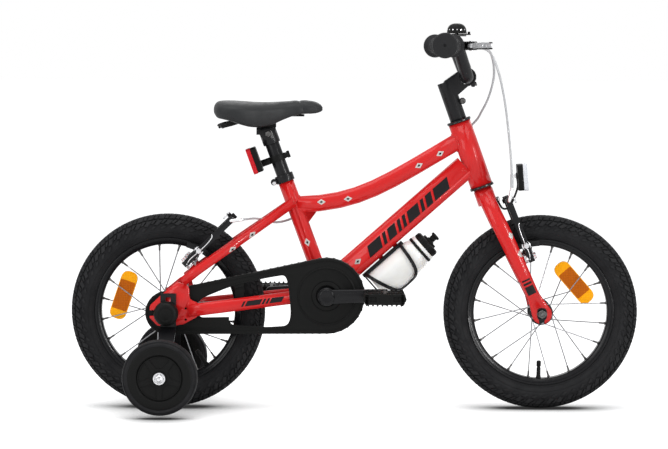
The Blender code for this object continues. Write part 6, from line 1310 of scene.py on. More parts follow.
# %% Pedals
PEDAL_OUT = 0.120
wedge_pattern = round_bar((0.0, 0.0, 0.0), (0.0, 0.0, 0.0040), 0.0022, 4, 0.0010)
for word, side in SIDES:
    spot = pedal_spots[word] + Vector((0.0, side * PEDAL_OUT, 0.0))
    parts = []
    outline = eased(rectangle(0.0350, 0.0098, spot.x, spot.z), 0.0052)
    pockets = [eased(rectangle(0.0063, 0.0046, spot.x + ahead, spot.z), 0.0018)
               for ahead in (-0.0209, 0.0209)]
    for low, high in ((-0.0372, -0.0290), (0.0290, 0.0372), (-0.0040, 0.0040)):
        parts.append(cut_plate([outline, *pockets], PEDAL_OUT + low, PEDAL_OUT + high, 0.0010, side))
        if abs(low) > 0.02:
            parts.append(cut_plate([outline], PEDAL_OUT + low + 0.0030, PEDAL_OUT + high - 0.0030, 0.0, side))
    for ahead in (-0.0318, 0.0318):
        for up, thick, sides in ((0.0, 0.0064, 12), (-0.0062, 0.0036, 10), (0.0062, 0.0036, 10)):
            parts.append(round_bar(spot + Vector((ahead, -0.0372, up)), spot + Vector((ahead, 0.0372, up)),
                                   thick, sides))
    parts.append(turned_at(mm([(0, -38.5), (9.4, -38.5), (10.4, -37.5), (10.4, 37.5), (9.4, 38.5),
                               (0, 38.5)]), 28, spot, (0.0, side, 0.0)))
    teeth = [(-0.0290 + 0.0083 * n, across) for across in (-0.0330, 0.0330) for n in range(8)]
    teeth += [(ahead, -0.0240 + 0.0096 * n) for ahead in (-0.0318, 0.0318) for n in range(6)]
    for up in (1.0, -1.0):
        for ahead, across in teeth:
            foot = Matrix.Translation(spot + Vector((ahead, across, up * 0.0086)))
            parts.append(copy_of(wedge_pattern, foot @ Matrix.Scale(up, 4, (0, 0, 1))))
    keep_piece(joined(parts), "pedal_resin_" + word, moulded_black, word + "_pedal", smooth_angle=30.0,
               replaces=["pedal_" + word])
bpy.data.objects.remove(wedge_pattern)

# %% [markdown]
# ## Painted marks
# A child's bicycle carries transfers under its lacquer. These are plain ones: a row of slanted
# bars on the down tube, a few on the chain stay and the fork, and small pale lozenges. They could
# be painted in by a shader, but a slanted edge needs exact places. So each mark is a fine grid of
# faces that is dropped onto the tube's surface along Y, and then given the thickness of a
# transfer.

# %% Helper: lay a mark on a tube
MARK_LIFT = 0.00025
MARK_THICK = 0.0004


def surface_of(name):
    """A search tree of a CAD node's surface."""
    mesh = nodes[name].data
    return BVHTree.FromPolygons([point.co.copy() for point in mesh.vertices],
                                [tuple(face.vertices) for face in mesh.polygons])


def marks_on_side(marks, surface, side, lift, cell):
    """Four-cornered marks, (x, z) seen from the side, dropped onto a surface as one thin mesh."""
    grow = bmesh.new()
    for corners in marks:
        a, b, c, d = [Vector(corner) for corner in corners]
        wide = max(2, math.ceil(max((b - a).length, (c - d).length) / cell))
        tall = max(2, math.ceil(max((d - a).length, (c - b).length) / cell))
        grid = []
        for v in range(tall + 1):
            row = []
            for u in range(wide + 1):
                flat = a.lerp(b, u / wide).lerp(d.lerp(c, u / wide), v / tall)
                hit = surface.ray_cast(Vector((flat.x, side * 0.3, flat.y)), Vector((0.0, -side, 0.0)))[0]
                missed = hit is None or hit.y * side < -0.002
                row.append(None if missed else grow.verts.new(hit + Vector((0.0, side * lift, 0.0))))
            grid.append(row)
        for low, high in zip(grid, grid[1:]):
            for u in range(wide):
                square = [low[u], low[u + 1], high[u + 1], high[u]]
                if None not in square:
                    grow.faces.new(square)
    bmesh.ops.recalc_face_normals(grow, faces=grow.faces)
    for face in grow.faces:
        if face.normal.y * side < 0.0:
            face.normal_flip()
    laid = grown_piece(grow, "marks")
    only_selected(laid)
    skin = laid.modifiers.new("skin", "SOLIDIFY")
    skin.thickness = MARK_THICK
    skin.offset = -1.0
    bpy.ops.object.modifier_apply(modifier="skin")
    return laid


def laid_marks(marks, surface, lift=MARK_LIFT, cell=0.0022):
    """The same marks on the right and on the left of a tube."""
    return joined([marks_on_side(marks, surface, side, lift, cell) for side in (-1.0, 1.0)])


# %% [markdown]
# ## Inks and bars
# The transfers are printed in a black and a pale ink. The bars lean along their tubes, as speed
# marks do, and each is given as two distances along its tube's line.

# %% Inks
black_ink = real_finish("black_transfer", (0.008, 0.007, 0.008), 0.36, coat=0.1, specular=0.12,
                        gloss=(0.3, 0.42, 80.0))
pale_ink = real_finish("pale_transfer", (0.56, 0.55, 0.52), 0.4, coat=0.4, specular=0.3,
                       drift=((0.50, 0.49, 0.46), (0.62, 0.61, 0.58), 300.0))
frame_surface, fork_surface = surface_of("main_frame"), surface_of("fork")


# %% [markdown]
# ## How a bar is placed
# A bar's four corners are worked out in the side view, along the tube's line and up from it.

# %% Helper: bars along a tube
def slanted_bars(foot, way, spans, half, lean):
    """Bars across a tube's side, from one distance along it to another, leaning forward."""
    lift = Vector((-way.z, 0.0, way.x))

    def spot(along, up):
        place = foot + way * along + lift * up
        return (place.x, place.z)

    return [[spot(low, -half), spot(high, -half), spot(high + lean, half), spot(low + lean, half)]
            for low, high in spans]


# %% Slanted bars
DOWN_FOOT = Vector((-0.0546, 0.0, 0.2121))
STAY_FOOT = Vector((-0.0635, 0.0, 0.2073))
STAY_WAY = (Vector((-0.2577, 0.0, 0.1848)) - STAY_FOOT).normalized()
LEG_WAY = Vector((-0.4355, 0.0, 0.9002))
BAR_GAP = 0.0050
down_spans, start = [], 0.102
for width in (0.030, 0.007, 0.018, 0.007, 0.007, 0.026, 0.007, 0.014, 0.034):
    down_spans.append((start, start + width))
    start += width + BAR_GAP
stay_spans = mm([(62, 84), (87, 91), (94, 98), (101, 128), (131, 135)])
leg_spans = mm([(40, 56), (59, 63), (66, 69)])
frame_bars = (slanted_bars(DOWN_FOOT, DOWN_WAY, down_spans, 0.0098, 0.010)
              + slanted_bars(STAY_FOOT, STAY_WAY, stay_spans, 0.0046, 0.006))
keep_piece(laid_marks(frame_bars, frame_surface), "frame_bars", black_ink, "frame", smooth_angle=40.0)
keep_piece(laid_marks(slanted_bars(FRONT_AXLE, LEG_WAY, leg_spans, 0.0078, 0.0), fork_surface), "fork_bars",
           black_ink, "steering", smooth_angle=40.0)


# %% [markdown]
# ## Lozenges
# Each lozenge is a pale diamond. Those on the frame have a smaller dark one in their middle, which
# lies a little higher so that both are seen.

# %% Small pale lozenges
def lozenges(spots, half_long, half_wide):
    """The corners of small diamonds, each given by its middle and its turn in degrees."""
    made = []
    for x, z, degrees in spots:
        along = Vector((math.cos(math.radians(degrees)), math.sin(math.radians(degrees))))
        across = Vector((-along.y, along.x)) * half_wide
        middle = Vector((x, z))
        made.append([middle + along * half_long, middle + across, middle - along * half_long,
                     middle - across])
    return made


LOZENGE_CELL = 0.0012
frame_spots = [(-0.0600, 0.3728, 2.0), (-0.0120, 0.3786, 8.0), (0.1150, 0.4390, 30.0),
               (0.1530, 0.4606, 32.0), (-0.1830, 0.3150, 45.0), (-0.2180, 0.2890, 38.0),
               (0.0060, 0.2660, 41.0), (-0.0850, 0.3000, 108.0)]
fork_spots = [(0.2960, 0.2830, 116.0), (0.2790, 0.3160, 116.0)]
for spots, size, surface, lift, name, ink, body in (
        (frame_spots, (0.0078, 0.0052), frame_surface, MARK_LIFT, "frame_lozenges", pale_ink, "frame"),
        (frame_spots, (0.0032, 0.0021), frame_surface, 0.0005, "frame_lozenge_eyes", black_ink, "frame"),
        (fork_spots, (0.0070, 0.0046), fork_surface, MARK_LIFT, "fork_lozenges", pale_ink, "steering")):
    keep_piece(laid_marks(lozenges(spots, *size), surface, lift, LOZENGE_CELL), name, ink, body,
               smooth_angle=40.0)

# %% [markdown]
# ## The saddle
# A moulded shell carries a foam pad under a smooth cover. From the side it is low in the middle,
# swells at the tail, and hangs down in a skirt on each side of the post. It could be puffed up
# by a cloth simulation, but a saddle is foam shaped in a mould, with tight panels. So the form is
# lofted through measured stations, with a fine mesh. A seam across the top is pressed in
# afterwards, with a slight swell on each side, and the lower part wears a darker plastic. A
# station says how far ahead of the post's top it lies, its top, its lower edge and half its width.

# %% Stations
POST_TOP = Vector((-0.1560, 0.0, 0.4958))
STATIONS = mm([(-96.7, 48.7, 38.7, 33), (-94.5, 53.2, 34.2, 47), (-89, 57.2, 28.2, 58),
               (-79, 58.5, 25.7, 66.5), (-64, 58.5, 22.2, 70.5), (-47, 57.6, 16.2, 69), (-29, 56.4, 12, 62),
               (-11, 55.8, 12.2, 52), (8, 56.2, 16.2, 42), (26, 57.2, 24, 33), (43.4, 58.4, 30.8, 27.5),
               (58, 59.2, 34.5, 25), (72, 59, 35.5, 23), (85, 56.7, 36.2, 19.5), (93.5, 52.2, 38.7, 14),
               (97.5, 47.2, 41.2, 7.5)])


def saddle_half(top, low, half):
    """One half of a section, from the middle of the top to the middle of the underside."""
    crown = min(0.0090, (top - low) * 0.35)
    points = []
    for n in range(15):
        t = math.sin(n / 14.0 * math.pi / 2.0)
        lift = math.sqrt(max(0.0, 1.0 - t ** 2.6)) if t < 1.0 else 0.0
        points.append((half * t, top - crown * 1.9 * (1.0 - lift) * (0.55 + 0.45 * t)))
    shoulder = points[-1][1]
    for share, width in ((0.18, 0.998), (0.36, 0.990), (0.52, 0.978), (0.64, 0.962), (0.74, 0.944),
                         (0.82, 0.924), (0.86, 0.914), (0.88, 0.900), (0.90, 0.902), (0.95, 0.880),
                         (0.985, 0.850), (1.0, 0.820)):
        points.append((half * width, shoulder + (low - shoulder) * share))
    roof = max(low + 0.0012, min(0.0347, top - 0.012))
    points += [(half * 0.770, low + 0.0004), (half * 0.735, low + (roof - low) * 0.15),
               (half * 0.715, low + (roof - low) * 0.60), (half * 0.690, roof - (roof - low) * 0.06),
               (half * 0.640, roof), (half * 0.400, roof), (half * 0.200, roof), (0.0, roof)]
    return points


# %% Loft, smooth between the stations
BASE_FIRST = 23
grow = bmesh.new()
rings = []
for ahead, top, low, half in smooth_path(STATIONS, 9):
    points = saddle_half(top, low, half)
    whole = points + [(-y, z) for y, z in reversed(points[1:-1])]
    rings.append([grow.verts.new((POST_TOP.x + ahead, y, POST_TOP.z + z)) for y, z in whole])
for a, b in zip(rings, rings[1:]):
    for n in range(len(a)):
        grow.faces.new((a[n - 1], a[n], b[n], b[n - 1]))
for number, face in enumerate(grow.faces):
    column = number % len(rings[0])
    from_top = min(column, len(rings[0]) + 1 - column)
    face.material_index = 1 if BASE_FIRST < from_top else 0
for ring in (rings[0], rings[-1]):
    grow.faces.new(ring)
bmesh.ops.recalc_face_normals(grow, faces=grow.faces)
saddle = grown_piece(grow, "saddle")
print("saddle rings:", len(rings))

# %% [markdown]
# ## The seam across the saddle
# Two panels of the cover meet in a seam. A drawn line would look printed, so the points near the
# seam sink along their normals, and those beside it rise a little, as stretched padding does.

# %% Seams pressed in
SEAM_HALF, SEAM_DEEP = 0.0045, 0.0013
SWELL_END, SWELL_HIGH = 0.0160, 0.0004
SEAM_AHEAD, SEAM_TOP, SEAM_LEAN, SEAM_BOW = -0.1010, 0.5545, 0.28, 0.18
UNDERSIDE = 0.5315
outward = [point.normal.copy() for point in saddle.data.vertices]
for point, normal in zip(saddle.data.vertices, outward):
    if point.co.z < UNDERSIDE and abs(normal.z) > 0.9:
        continue
    seam_at = SEAM_AHEAD + (SEAM_TOP - point.co.z) * SEAM_LEAN + abs(point.co.y) * SEAM_BOW
    off = abs(point.co.x - seam_at)
    if off < SEAM_HALF:
        point.co -= normal * SEAM_DEEP * math.cos(off / SEAM_HALF * math.pi / 2.0) ** 2
    elif off < SWELL_END:
        point.co += normal * SWELL_HIGH * math.sin((off - SEAM_HALF) / (SWELL_END - SEAM_HALF) * math.pi)

# %% Cover and base
saddle_base = real_finish("saddle_base_plastic", (0.010, 0.010, 0.011), 0.5, specular=0.22,
                          gloss=(0.44, 0.58, 60.0), grain=(2400.0, 2.0, 0.15, 0.0002))
saddle.data.materials.append(saddle_skin)
saddle.data.materials.append(saddle_base)
keep_piece(saddle, "saddle_pad", None, "seat", smooth_angle=60.0, replaces=["saddle"])

# %% [markdown]
# ## Saddle handle
# The shell ends in a carrying handle under the tail, by which a parent steadies the child. It is
# a flat plastic hoop that points back and down, with finger grooves at its end.

# %% Handle hoop
hoop = mm([(-50, 34, 30), (-54, 33.8, 24), (-65, 32, 19.5), (-76, 27, 15.8), (-83, 17, 13.2),
           (-85.6, 6, 12.2)])
hoop_path = smooth_path([POST_TOP + Vector(point) for point in hoop]
                        + [POST_TOP + Vector((x, -y, z)) for x, y, z in reversed(hoop)], 6)
slope = Vector((0.42, 0.0, 0.9)).normalized()
handle = strap_round(hoop_path, 0.0062, 0.0024, lambda point: slope)
grooves = []
for n in range(5):
    spot = POST_TOP + Vector((-0.0868, -0.0120 + 0.0060 * n, 0.0118))
    grooves.append(round_bar(spot - slope * 0.0034, spot + slope * 0.0034, 0.0016, 8))
keep_piece(joined([handle, *grooves]), "saddle_handle", moulded_black, "seat", smooth_angle=40.0)

# %% [markdown]
# ## CAD shapes with softened edges
# The CAD nodes of the stem, clamps and brackets have the right forms, but their edges are as
# sharp as a drawing, and a sharp edge catches no light. A copy of such a node is merged, given a
# small bevel, and stands for the node. The node itself isn't touched.

# %% Helper: a node's shape with soft edges
SHARP_ANGLE = 32.0


def node_copy(node, name):
    """A merged copy of a CAD node's shape."""
    return closed_and_outward(linked(name, nodes[node].data.copy()), 0.00002)


def softened_node(name, new_name, finish, body, width):
    """A merged copy of a CAD node with bevelled edges, which replaces the node."""
    piece = node_copy(name, new_name)
    only_selected(piece)
    bpy.ops.object.mode_set(mode="EDIT")
    bpy.ops.mesh.select_all(action="SELECT")
    bpy.ops.mesh.dissolve_limited(angle_limit=math.radians(2.0))
    bpy.ops.object.mode_set(mode="OBJECT")
    soft = piece.modifiers.new("soft_edges", "BEVEL")
    soft.width = width
    soft.segments = 2
    soft.limit_method = "ANGLE"
    soft.angle_limit = math.radians(SHARP_ANGLE)
    bpy.ops.object.modifier_apply(modifier=soft.name)
    return keep_piece(piece, new_name, finish, body, smooth_angle=SHARP_ANGLE + 8.0, replaces=[name])


# %% [markdown]
# ## Frame and fork
# The frame and the fork are welded from round tubes, which have no sharp edge to soften. Their
# copies are merged, so that the paint's shine runs on over each joint.

# %% Frame tubes and fork blades
for name, new_name, body in (("main_frame", "frame_tubes", "frame"), ("fork", "fork_blades", "steering")):
    keep_piece(node_copy(name, new_name), new_name, red_paint, body, smooth_angle=41.0, replaces=[name])

# %% [markdown]
# ## Stem, clamps and lever holders
# Cast and forged edges are about a millimetre round, and moulded or machined ones a little less.
# So each of these nodes gets its own width of bevel.

# %% Stem, clamps and lever holders
softened_node("stem", "stem_casting", satin_black, "steering", 0.0016)
softened_node("stem_faceplate", "stem_cap", satin_black, "steering", 0.0008)
softened_node("seat_clamp", "seat_collar", satin_black, "frame", 0.0006)
softened_node("saddle_clamp", "saddle_fastening", satin_black, "seat", 0.0010)
for word in ("right", "left"):
    softened_node("lever_clamp_" + word, "lever_holder_" + word, moulded_black, "steering", 0.0008)

# %% [markdown]
# ## Bar, grips and bell
# Everything on the bar follows its centre line, so the line is worked out once: level in the
# middle, then swept back by nine degrees. The grips are soft rubber with a big safety disc at
# each end, which the side view shows as the largest dark circle up there.

# %% Bar line
STEER_UP = Vector((-0.33710, 0.0, 0.94147))
STEER_AHEAD = Vector((0.94147, 0.0, 0.33710))
BAR_CLAMP = Vector((0.2001, 0.0, 0.5983))
BAR_RISE = 0.0590
BAR_BEND = 0.086
SWEEP = math.radians(9.0)


def bar_spot(out, side, risen=1.0):
    """The bar's centre line, a distance out from the middle and a share of its rise up."""
    spot = BAR_CLAMP + STEER_UP * BAR_RISE * risen
    return Vector((spot.x - math.tan(SWEEP) * max(0.0, out - BAR_BEND), side * out, spot.z))


def bar_way(side):
    """The direction along the bar, outward."""
    return Vector((-math.sin(SWEEP), side * math.cos(SWEEP), 0.0))


# %% [markdown]
# ## Grips
# A grip is a rubber sleeve with eighteen low rings, a flange by the hand and a safety disc at the
# end. Rings in a bump map would vanish in profile, so they are steps of a turned outline.

# %% Grips
grip_outline = mm([(0, 0), (19, 0), (20.3, 0.6), (20.6, 1.6), (20.2, 3), (18, 4.4), (16.3, 6.6),
                   (15.6, 9.2)])
for n in range(18):
    low = 0.0110 + n * 0.0048
    grip_outline += [(0.0150, low), (0.0155, low + 0.0007), (0.0155, low + 0.0031),
                     (0.0150, low + 0.0038)]
grip_outline += mm([(15.2, 98.5), (16.6, 101), (19, 103.4), (21, 105.6), (21.9, 107.8), (22, 109.6),
                    (21.4, 111.4), (20, 112.6), (17, 113.1), (3, 113.3), (2.6, 112.8), (2.2, 111.4),
                    (0, 111.4)])
for word, side in SIDES:
    grip = turned_at(grip_outline, 56, bar_spot(0.158, side), bar_way(side))
    keep_piece(grip, "grip_rubber_" + word, grip_rubber, "steering", smooth_angle=30.0,
               replaces=["grip_" + word])

# %% [markdown]
# ## Handlebar
# One tube is bent up, then back. Its points follow the bar line, and it is thicker in its middle,
# where the stem clamps it.

# %% Handlebar tube
bar_outs = [0.0, 0.012, 0.0235, 0.0310, 0.0400, 0.0560, 0.0700, 0.0800, 0.0860, 0.0920, 0.130, 0.200, 0.264]
RISE_FROM, RISE_WIDTH = 0.0340, 0.0460
half_bar = [bar_spot(out, 1.0, max(0.0, min(1.0, (out - RISE_FROM) / RISE_WIDTH))) for out in bar_outs]
bar_points = [Vector((p.x, -p.y, p.z)) for p in reversed(half_bar[1:])] + half_bar
bar_tube = wire(bar_points, 0.0112, 24, 5)
bar_middle = round_bar(BAR_CLAMP - Vector((0.0, 0.0235, 0.0)), BAR_CLAMP + Vector((0.0, 0.0235, 0.0)),
                       0.01265, 32)
keep_piece(joined([bar_tube, bar_middle]), "bar_tube", satin_black, "steering", smooth_angle=40.0,
           replaces=["handlebar"])

# %% [markdown]
# ## Bell
# A small bell has a domed plastic cover with a row of windows for the sound, where the metal
# inside shows as bright dots. The cover is turned, and each window is a tiny disc laid on it.

# %% Bell
BELL_AT = bar_spot(0.100, -1.0)
BELL_FOOT = BELL_AT + Vector((0.0, 0.0, 0.0214))
bell_outline = mm([(0, 1), (16, 1), (17.2, 0.2), (18, 0.4), (18.1, 1.4), (17.2, 2.2), (17, 6), (16.6, 7.8),
                   (15.6, 10.4), (13.8, 13.2), (11.2, 15.6), (7.8, 17.1), (4, 17.8), (0, 18)])
bell = turned_at(bell_outline, 56, BELL_FOOT, (0.0, 0.0, 1.0))
keep_piece(bell, "bell_cover", moulded_black, "steering", smooth_angle=50.0, replaces=["bell_dome"])
windows = []
for n in range(14):
    angle = 2.0 * math.pi * (n + 0.5) / 14.0
    out = Vector((math.cos(angle), math.sin(angle), 0.0))
    spot = BELL_FOOT + out * 0.0163 + Vector((0.0, 0.0, 0.0068))
    windows.append(turned_at(mm([(0, 0), (1.1, 0), (1.1, 0.7), (0, 0.8)]), 12, spot,
                             out + Vector((0.0, 0.0, 0.25))))
keep_piece(joined(windows), "bell_windows", bright_alloy, "steering")
softened_node("bell_base", "bell_foot", moulded_black, "steering", 0.0005)
softened_node("bell_thumb_lever", "bell_thumb_tab", moulded_black, "bell_lever", 0.0004)

# %% [markdown]
# ## Brake levers
# A junior brake lever is a pressed aluminium blade, two fingers long, with holes punched in it
# and a rolled black edge. It is drawn flat, as the press tool would cut it, then bent along the
# line that the finger pulls.

# %% Helper: bend a flat blank along a line
def bent_blank(outlines, thick, line, up, edge=0.0004):
    """A plate drawn flat, x along the line and z up, wrapped onto a line of points."""
    blank = cut_plate(outlines, -thick / 2.0, thick / 2.0, edge, 1.0, 1)
    length = max(point.co.x for point in blank.data.vertices)
    only_selected(blank)
    bpy.ops.object.mode_set(mode="EDIT")
    cuts = max(4, int(length / 0.0035))
    for n in range(1, cuts):
        bpy.ops.mesh.select_all(action="SELECT")
        bpy.ops.mesh.bisect(plane_co=(length * n / cuts, 0.0, 0.0), plane_no=(1.0, 0.0, 0.0))
    bpy.ops.object.mode_set(mode="OBJECT")
    reach = [0.0]
    for a, b in zip(line, line[1:]):
        reach.append(reach[-1] + (b - a).length)
    for point in blank.data.vertices:
        s = min(max(point.co.x, 0.0), reach[-1] - 1e-7)
        step = max(n for n in range(len(reach) - 1) if reach[n] <= s)
        share = (s - reach[step]) / (reach[step + 1] - reach[step])
        way = (line[min(step + 2, len(line) - 1)] - line[max(step - 1, 0)]).normalized()
        out = up.cross(way).normalized()
        extra = min(0.0, point.co.x) + max(0.0, point.co.x - reach[-1])
        point.co = line[step].lerp(line[step + 1], share) + way * extra + out * point.co.y + up * point.co.z
    return closed_and_outward(blank)


# %% [markdown]
# ## Lever blades and their fittings
# Each blade pivots in its holder on a bolt with a round head above and below, and the cable's
# barrel stands next to it. The black edging runs along the lower edge and round the tip.

# %% Lever blades
LEVER_PIVOT = 0.0290
for word, side in SIDES:
    along = bar_way(side)
    ahead = Vector((math.cos(SWEEP), side * math.sin(SWEEP), 0.0))
    up = Vector((0.0, 0.0, 1.0))
    root = bar_spot(0.127, side)
    local = mm([(30, 3), (34.5, 10), (39.5, 18.5), (45.5, 26.5), (51, 34), (56.5, 44), (61, 53), (66, 64),
                (71.2, 75), (72.6, 78.8)])
    line = smooth_path([root + ahead * a + along * o for a, o in local], 5)
    length = sum((b - a).length for a, b in zip(line, line[1:]))
    outline = eased([(0.0, -0.0040), (0.016, -0.0052), (0.040, -0.0061), (length - 0.004, -0.0058),
                     (length, -0.0050), (length, 0.0050), (length - 0.004, 0.0058), (0.040, 0.0061),
                     (0.016, 0.0052), (0.0, 0.0040)], 0.0022, 3)
    holes = [round_outline(0.0440, 0.0004, 0.0024, 16), round_outline(0.0620, 0.0004, 0.0021, 16)]
    blade = bent_blank([outline, *holes], 0.0024, line, up)
    eye = turned_at(mm([(0, -4), (6.6, -4), (7, -3.4), (7, 3.4), (6.6, 4), (0, 4)]),
                    28, root + ahead * LEVER_PIVOT, (0.0, 0.0, 1.0))
    keep_piece(joined([blade, eye]), "lever_blade_" + word, silver_lacquer, word + "_lever",
               smooth_angle=40.0, replaces=["brake_lever_" + word])
    lip = [(0.0180, -0.0066), (length - 0.0020, -0.0062), (length + 0.0006, -0.0052),
           (length + 0.0006, -0.0034), (length - 0.004, -0.0040), (0.0180, -0.0046)]
    edge_strip = bent_blank([lip], 0.0040, line, up, 0.0006)
    top_lip = [(length - 0.0100, 0.0052), (length - 0.0020, 0.0050), (length + 0.0006, 0.0040),
               (length + 0.0006, 0.0056), (length - 0.0020, 0.0064), (length - 0.0100, 0.0064)]
    tip_strip = bent_blank([top_lip], 0.0040, line, up, 0.0005)
    keep_piece(joined([edge_strip, tip_strip]), "lever_edging_" + word, moulded_black, word + "_lever",
               smooth_angle=40.0)
    bolt = socket_bolt(root + ahead * LEVER_PIVOT + up * 0.0070, (0.0, 0.0, 1.0), 0.0036, 0.0016)
    under = socket_bolt(root + ahead * LEVER_PIVOT - up * 0.0070, (0.0, 0.0, -1.0), 0.0036, 0.0016)
    barrel = turned_at(mm([(0, 0), (4, 0), (4.4, 0.6), (4.4, 5), (3.8, 5.8), (3.4, 5.8), (3.4, 10),
                           (0, 10)]), 24, root + ahead * 0.0250 - along * 0.0212, ahead * 0.4 - along)
    keep_piece(joined([bolt, under, barrel]), "lever_fittings_" + word, zinc_steel, "steering",
               smooth_angle=35.0)

# %% [markdown]
# ## Stem bolts
# Four socket bolts hold the faceplate, and the heads of a pinch bolt show at the steerer.

# %% Stem bolts
stem_bolts = []
for up_sign in (1.0, -1.0):
    for across in (-0.0130, 0.0130):
        spot = BAR_CLAMP + STEER_UP * up_sign * 0.0172 + STEER_AHEAD * 0.0100 + Vector((0.0, across, 0.0))
        stem_bolts.append(socket_bolt(spot, STEER_AHEAD, 0.0036, 0.0028))
HEAD_UPPER = Vector((0.18765, 0.0, 0.51618))
STEM_BASE = HEAD_UPPER + STEER_UP * 0.0051
pinch_spot = STEM_BASE + STEER_UP * 0.02992 + STEER_AHEAD * 0.0182
for side in (-1.0, 1.0):
    stem_bolts.append(socket_bolt(pinch_spot + Vector((0.0, side * 0.0088, 0.0)), (0.0, side, 0.0), 0.0046,
                                  0.0034))
keep_piece(joined(stem_bolts), "stem_bolts", dark_steel, "steering", smooth_angle=35.0)

# %% [markdown]
# ## Brakes and cables
# Each wheel has two long arms that swing on studs and squeeze the rim. The arms keep their CAD
# outline with softened edges. What tells the eye that they work are the bright bits: the stud
# bolts, the return springs that lie along the arms, the pad nuts, and the bent pipe with its
# rubber boot where the cable comes in.

# %% Arms and their bright parts
FRONT_PIVOT = Vector((0.3150, 0.0, 0.2770))
REAR_PIVOT = Vector((-0.2989, 0.0, 0.2669))
FRONT_SQUARE = Vector((0.929, 0.0, 0.370)).normalized()
REAR_SQUARE = Vector((-0.6914, 0.0, 0.7225)).normalized()
FRONT_REACH = Vector((-FRONT_SQUARE.z, 0.0, FRONT_SQUARE.x))
REAR_REACH = Vector((REAR_SQUARE.z, 0.0, -REAR_SQUARE.x))
ARM_LONG = 0.107
PAD_RADIUS = 0.12575


def pad_reach(pivot, direction, axle):
    """How far up the arm it crosses the middle of the rim's side."""
    offset = pivot - axle
    along = offset.dot(direction)
    return -along + math.sqrt(along ** 2 - offset.length_squared + PAD_RADIUS ** 2)


for end, pivot, direction, square, out, axle, fixed in (
        ("front", FRONT_PIVOT, FRONT_REACH, FRONT_SQUARE, 0.0420, FRONT_AXLE, "steering"),
        ("rear", REAR_PIVOT, REAR_REACH, REAR_SQUARE, 0.0540, REAR_AXLE, "frame")):
    stud_bolts = []
    for word, side in SIDES:
        node = end + "_brake_arm_" + word
        body = end + "_arm_" + word
        softened_node(node, end + "_brake_lever_arm_" + word, satin_black, body, 0.0007)
        centre = pivot + Vector((0.0, side * out, 0.0))
        stud_bolts.append(hex_bolt(centre + square * 0.0062, square, 0.0060, 0.0044, 0.0082))
        pad_at = centre + direction * pad_reach(pivot, direction, axle)
        outward = Vector((0.0, side, 0.0))
        nut = hex_bolt(pad_at + outward * 0.0052, outward, 0.0058, 0.0056, 0.0078)
        post = round_bar(pad_at + outward * 0.0100, pad_at + outward * 0.0134, 0.0034, 16)
        clamp_at = pivot + direction * (ARM_LONG - 0.002) + outward * out
        grip_bolt = socket_bolt(clamp_at + square * 0.0098, square, 0.0046, 0.0030)
        keep_piece(joined([nut, post, grip_bolt]), end + "_arm_fittings_" + word, zinc_steel, body,
                   smooth_angle=35.0)
        spring_line = [centre + outward * 0.0072 - square * 0.0030 - direction * 0.0040,
                       centre + outward * 0.0088 + direction * 0.0080,
                       centre + outward * 0.0080 + direction * 0.0280 - square * 0.0010,
                       centre + outward * 0.0068 + direction * 0.0480 - square * 0.0010,
                       centre + outward * 0.0066 + direction * 0.0620 + square * 0.0010,
                       centre + outward * 0.0056 + direction * 0.0660 + square * 0.0050]
        spring = wire(spring_line, 0.0009, 8, 5)
        coil_points = []
        for n in range(49):
            turn = n / 48.0 * 2.0 * math.pi * 3.0
            around = direction * math.cos(turn) + outward * math.sin(turn)
            coil_points.append(centre - square * (0.0062 + 0.0060 * n / 48.0) + around * 0.0078)
        coil = wire(coil_points, 0.0009, 6, 0)
        keep_piece(joined([spring, coil]), end + "_arm_spring_" + word, zinc_steel, body, smooth_angle=50.0)
    keep_piece(joined(stud_bolts), end + "_stud_bolts", zinc_steel, fixed, smooth_angle=35.0)

# %% [markdown]
# ## Cable pipes and boots
# A bent alloy pipe leads the cable over the arm's top and inward, and a ribbed rubber boot covers
# the bare wire that pulls the two arms together.

# %% Cable pipes and boots
FRONT_PIPE_START = Vector((0.2800, -0.0500, 0.4000))
REAR_PIPE_START = Vector((-0.2000, -0.0600, 0.3435))


def pipe_line(start, pivot, direction, out):
    """The line of the bent pipe: from the housing's end, over the arm's top, then inward."""
    tip = pivot + direction * ARM_LONG
    outer = Vector((tip.x, -(out + 0.0085), tip.z))
    inner = Vector((tip.x, -(out - 0.0200), tip.z))
    bend = start.lerp(outer, 0.60)
    bend.y = outer.y - 0.0010
    over = outer + (bend - outer) * 0.15
    return [start, start.lerp(bend, 0.5) + Vector((0.0, -0.0020, 0.0)), bend, over,
            outer.lerp(inner, 0.35), inner]


for end, start, pivot, direction, out in (("front", FRONT_PIPE_START, FRONT_PIVOT, FRONT_REACH, 0.0420),
                                          ("rear", REAR_PIPE_START, REAR_PIVOT, REAR_REACH, 0.0540)):
    line = pipe_line(start, pivot, direction, out)
    pipe = wire(line, 0.0032, 14, 6)
    keep_piece(pipe, end + "_cable_pipe", bright_alloy, end + "_arm_right", smooth_angle=50.0)
    inner = line[-1]
    ribs = [(0.0, -0.002), (0.0036, -0.002)]
    for n in range(7):
        ribs += [(0.0044, 0.0020 * n), (0.0036, 0.0020 * n + 0.0010)]
    ribs += [(0.0026, 0.0150), (0.0, 0.0152)]
    boot = turned_at(ribs, 20, inner + Vector((0.0, -0.0005, 0.0)), (0.0, 1.0, 0.0))
    keep_piece(boot, end + "_cable_boot", moulded_black, end + "_arm_right", smooth_angle=40.0)
    boot_tip = inner.y + 0.015
    cable_in = wire([Vector((inner.x, across, inner.z)) for across in
                     (boot_tip - 0.0012, boot_tip + 0.0040, out - 0.0040)], 0.0008, 6, 3)
    keep_piece(cable_in, end + "_inner_wire", zinc_steel, end + "_arm_left")

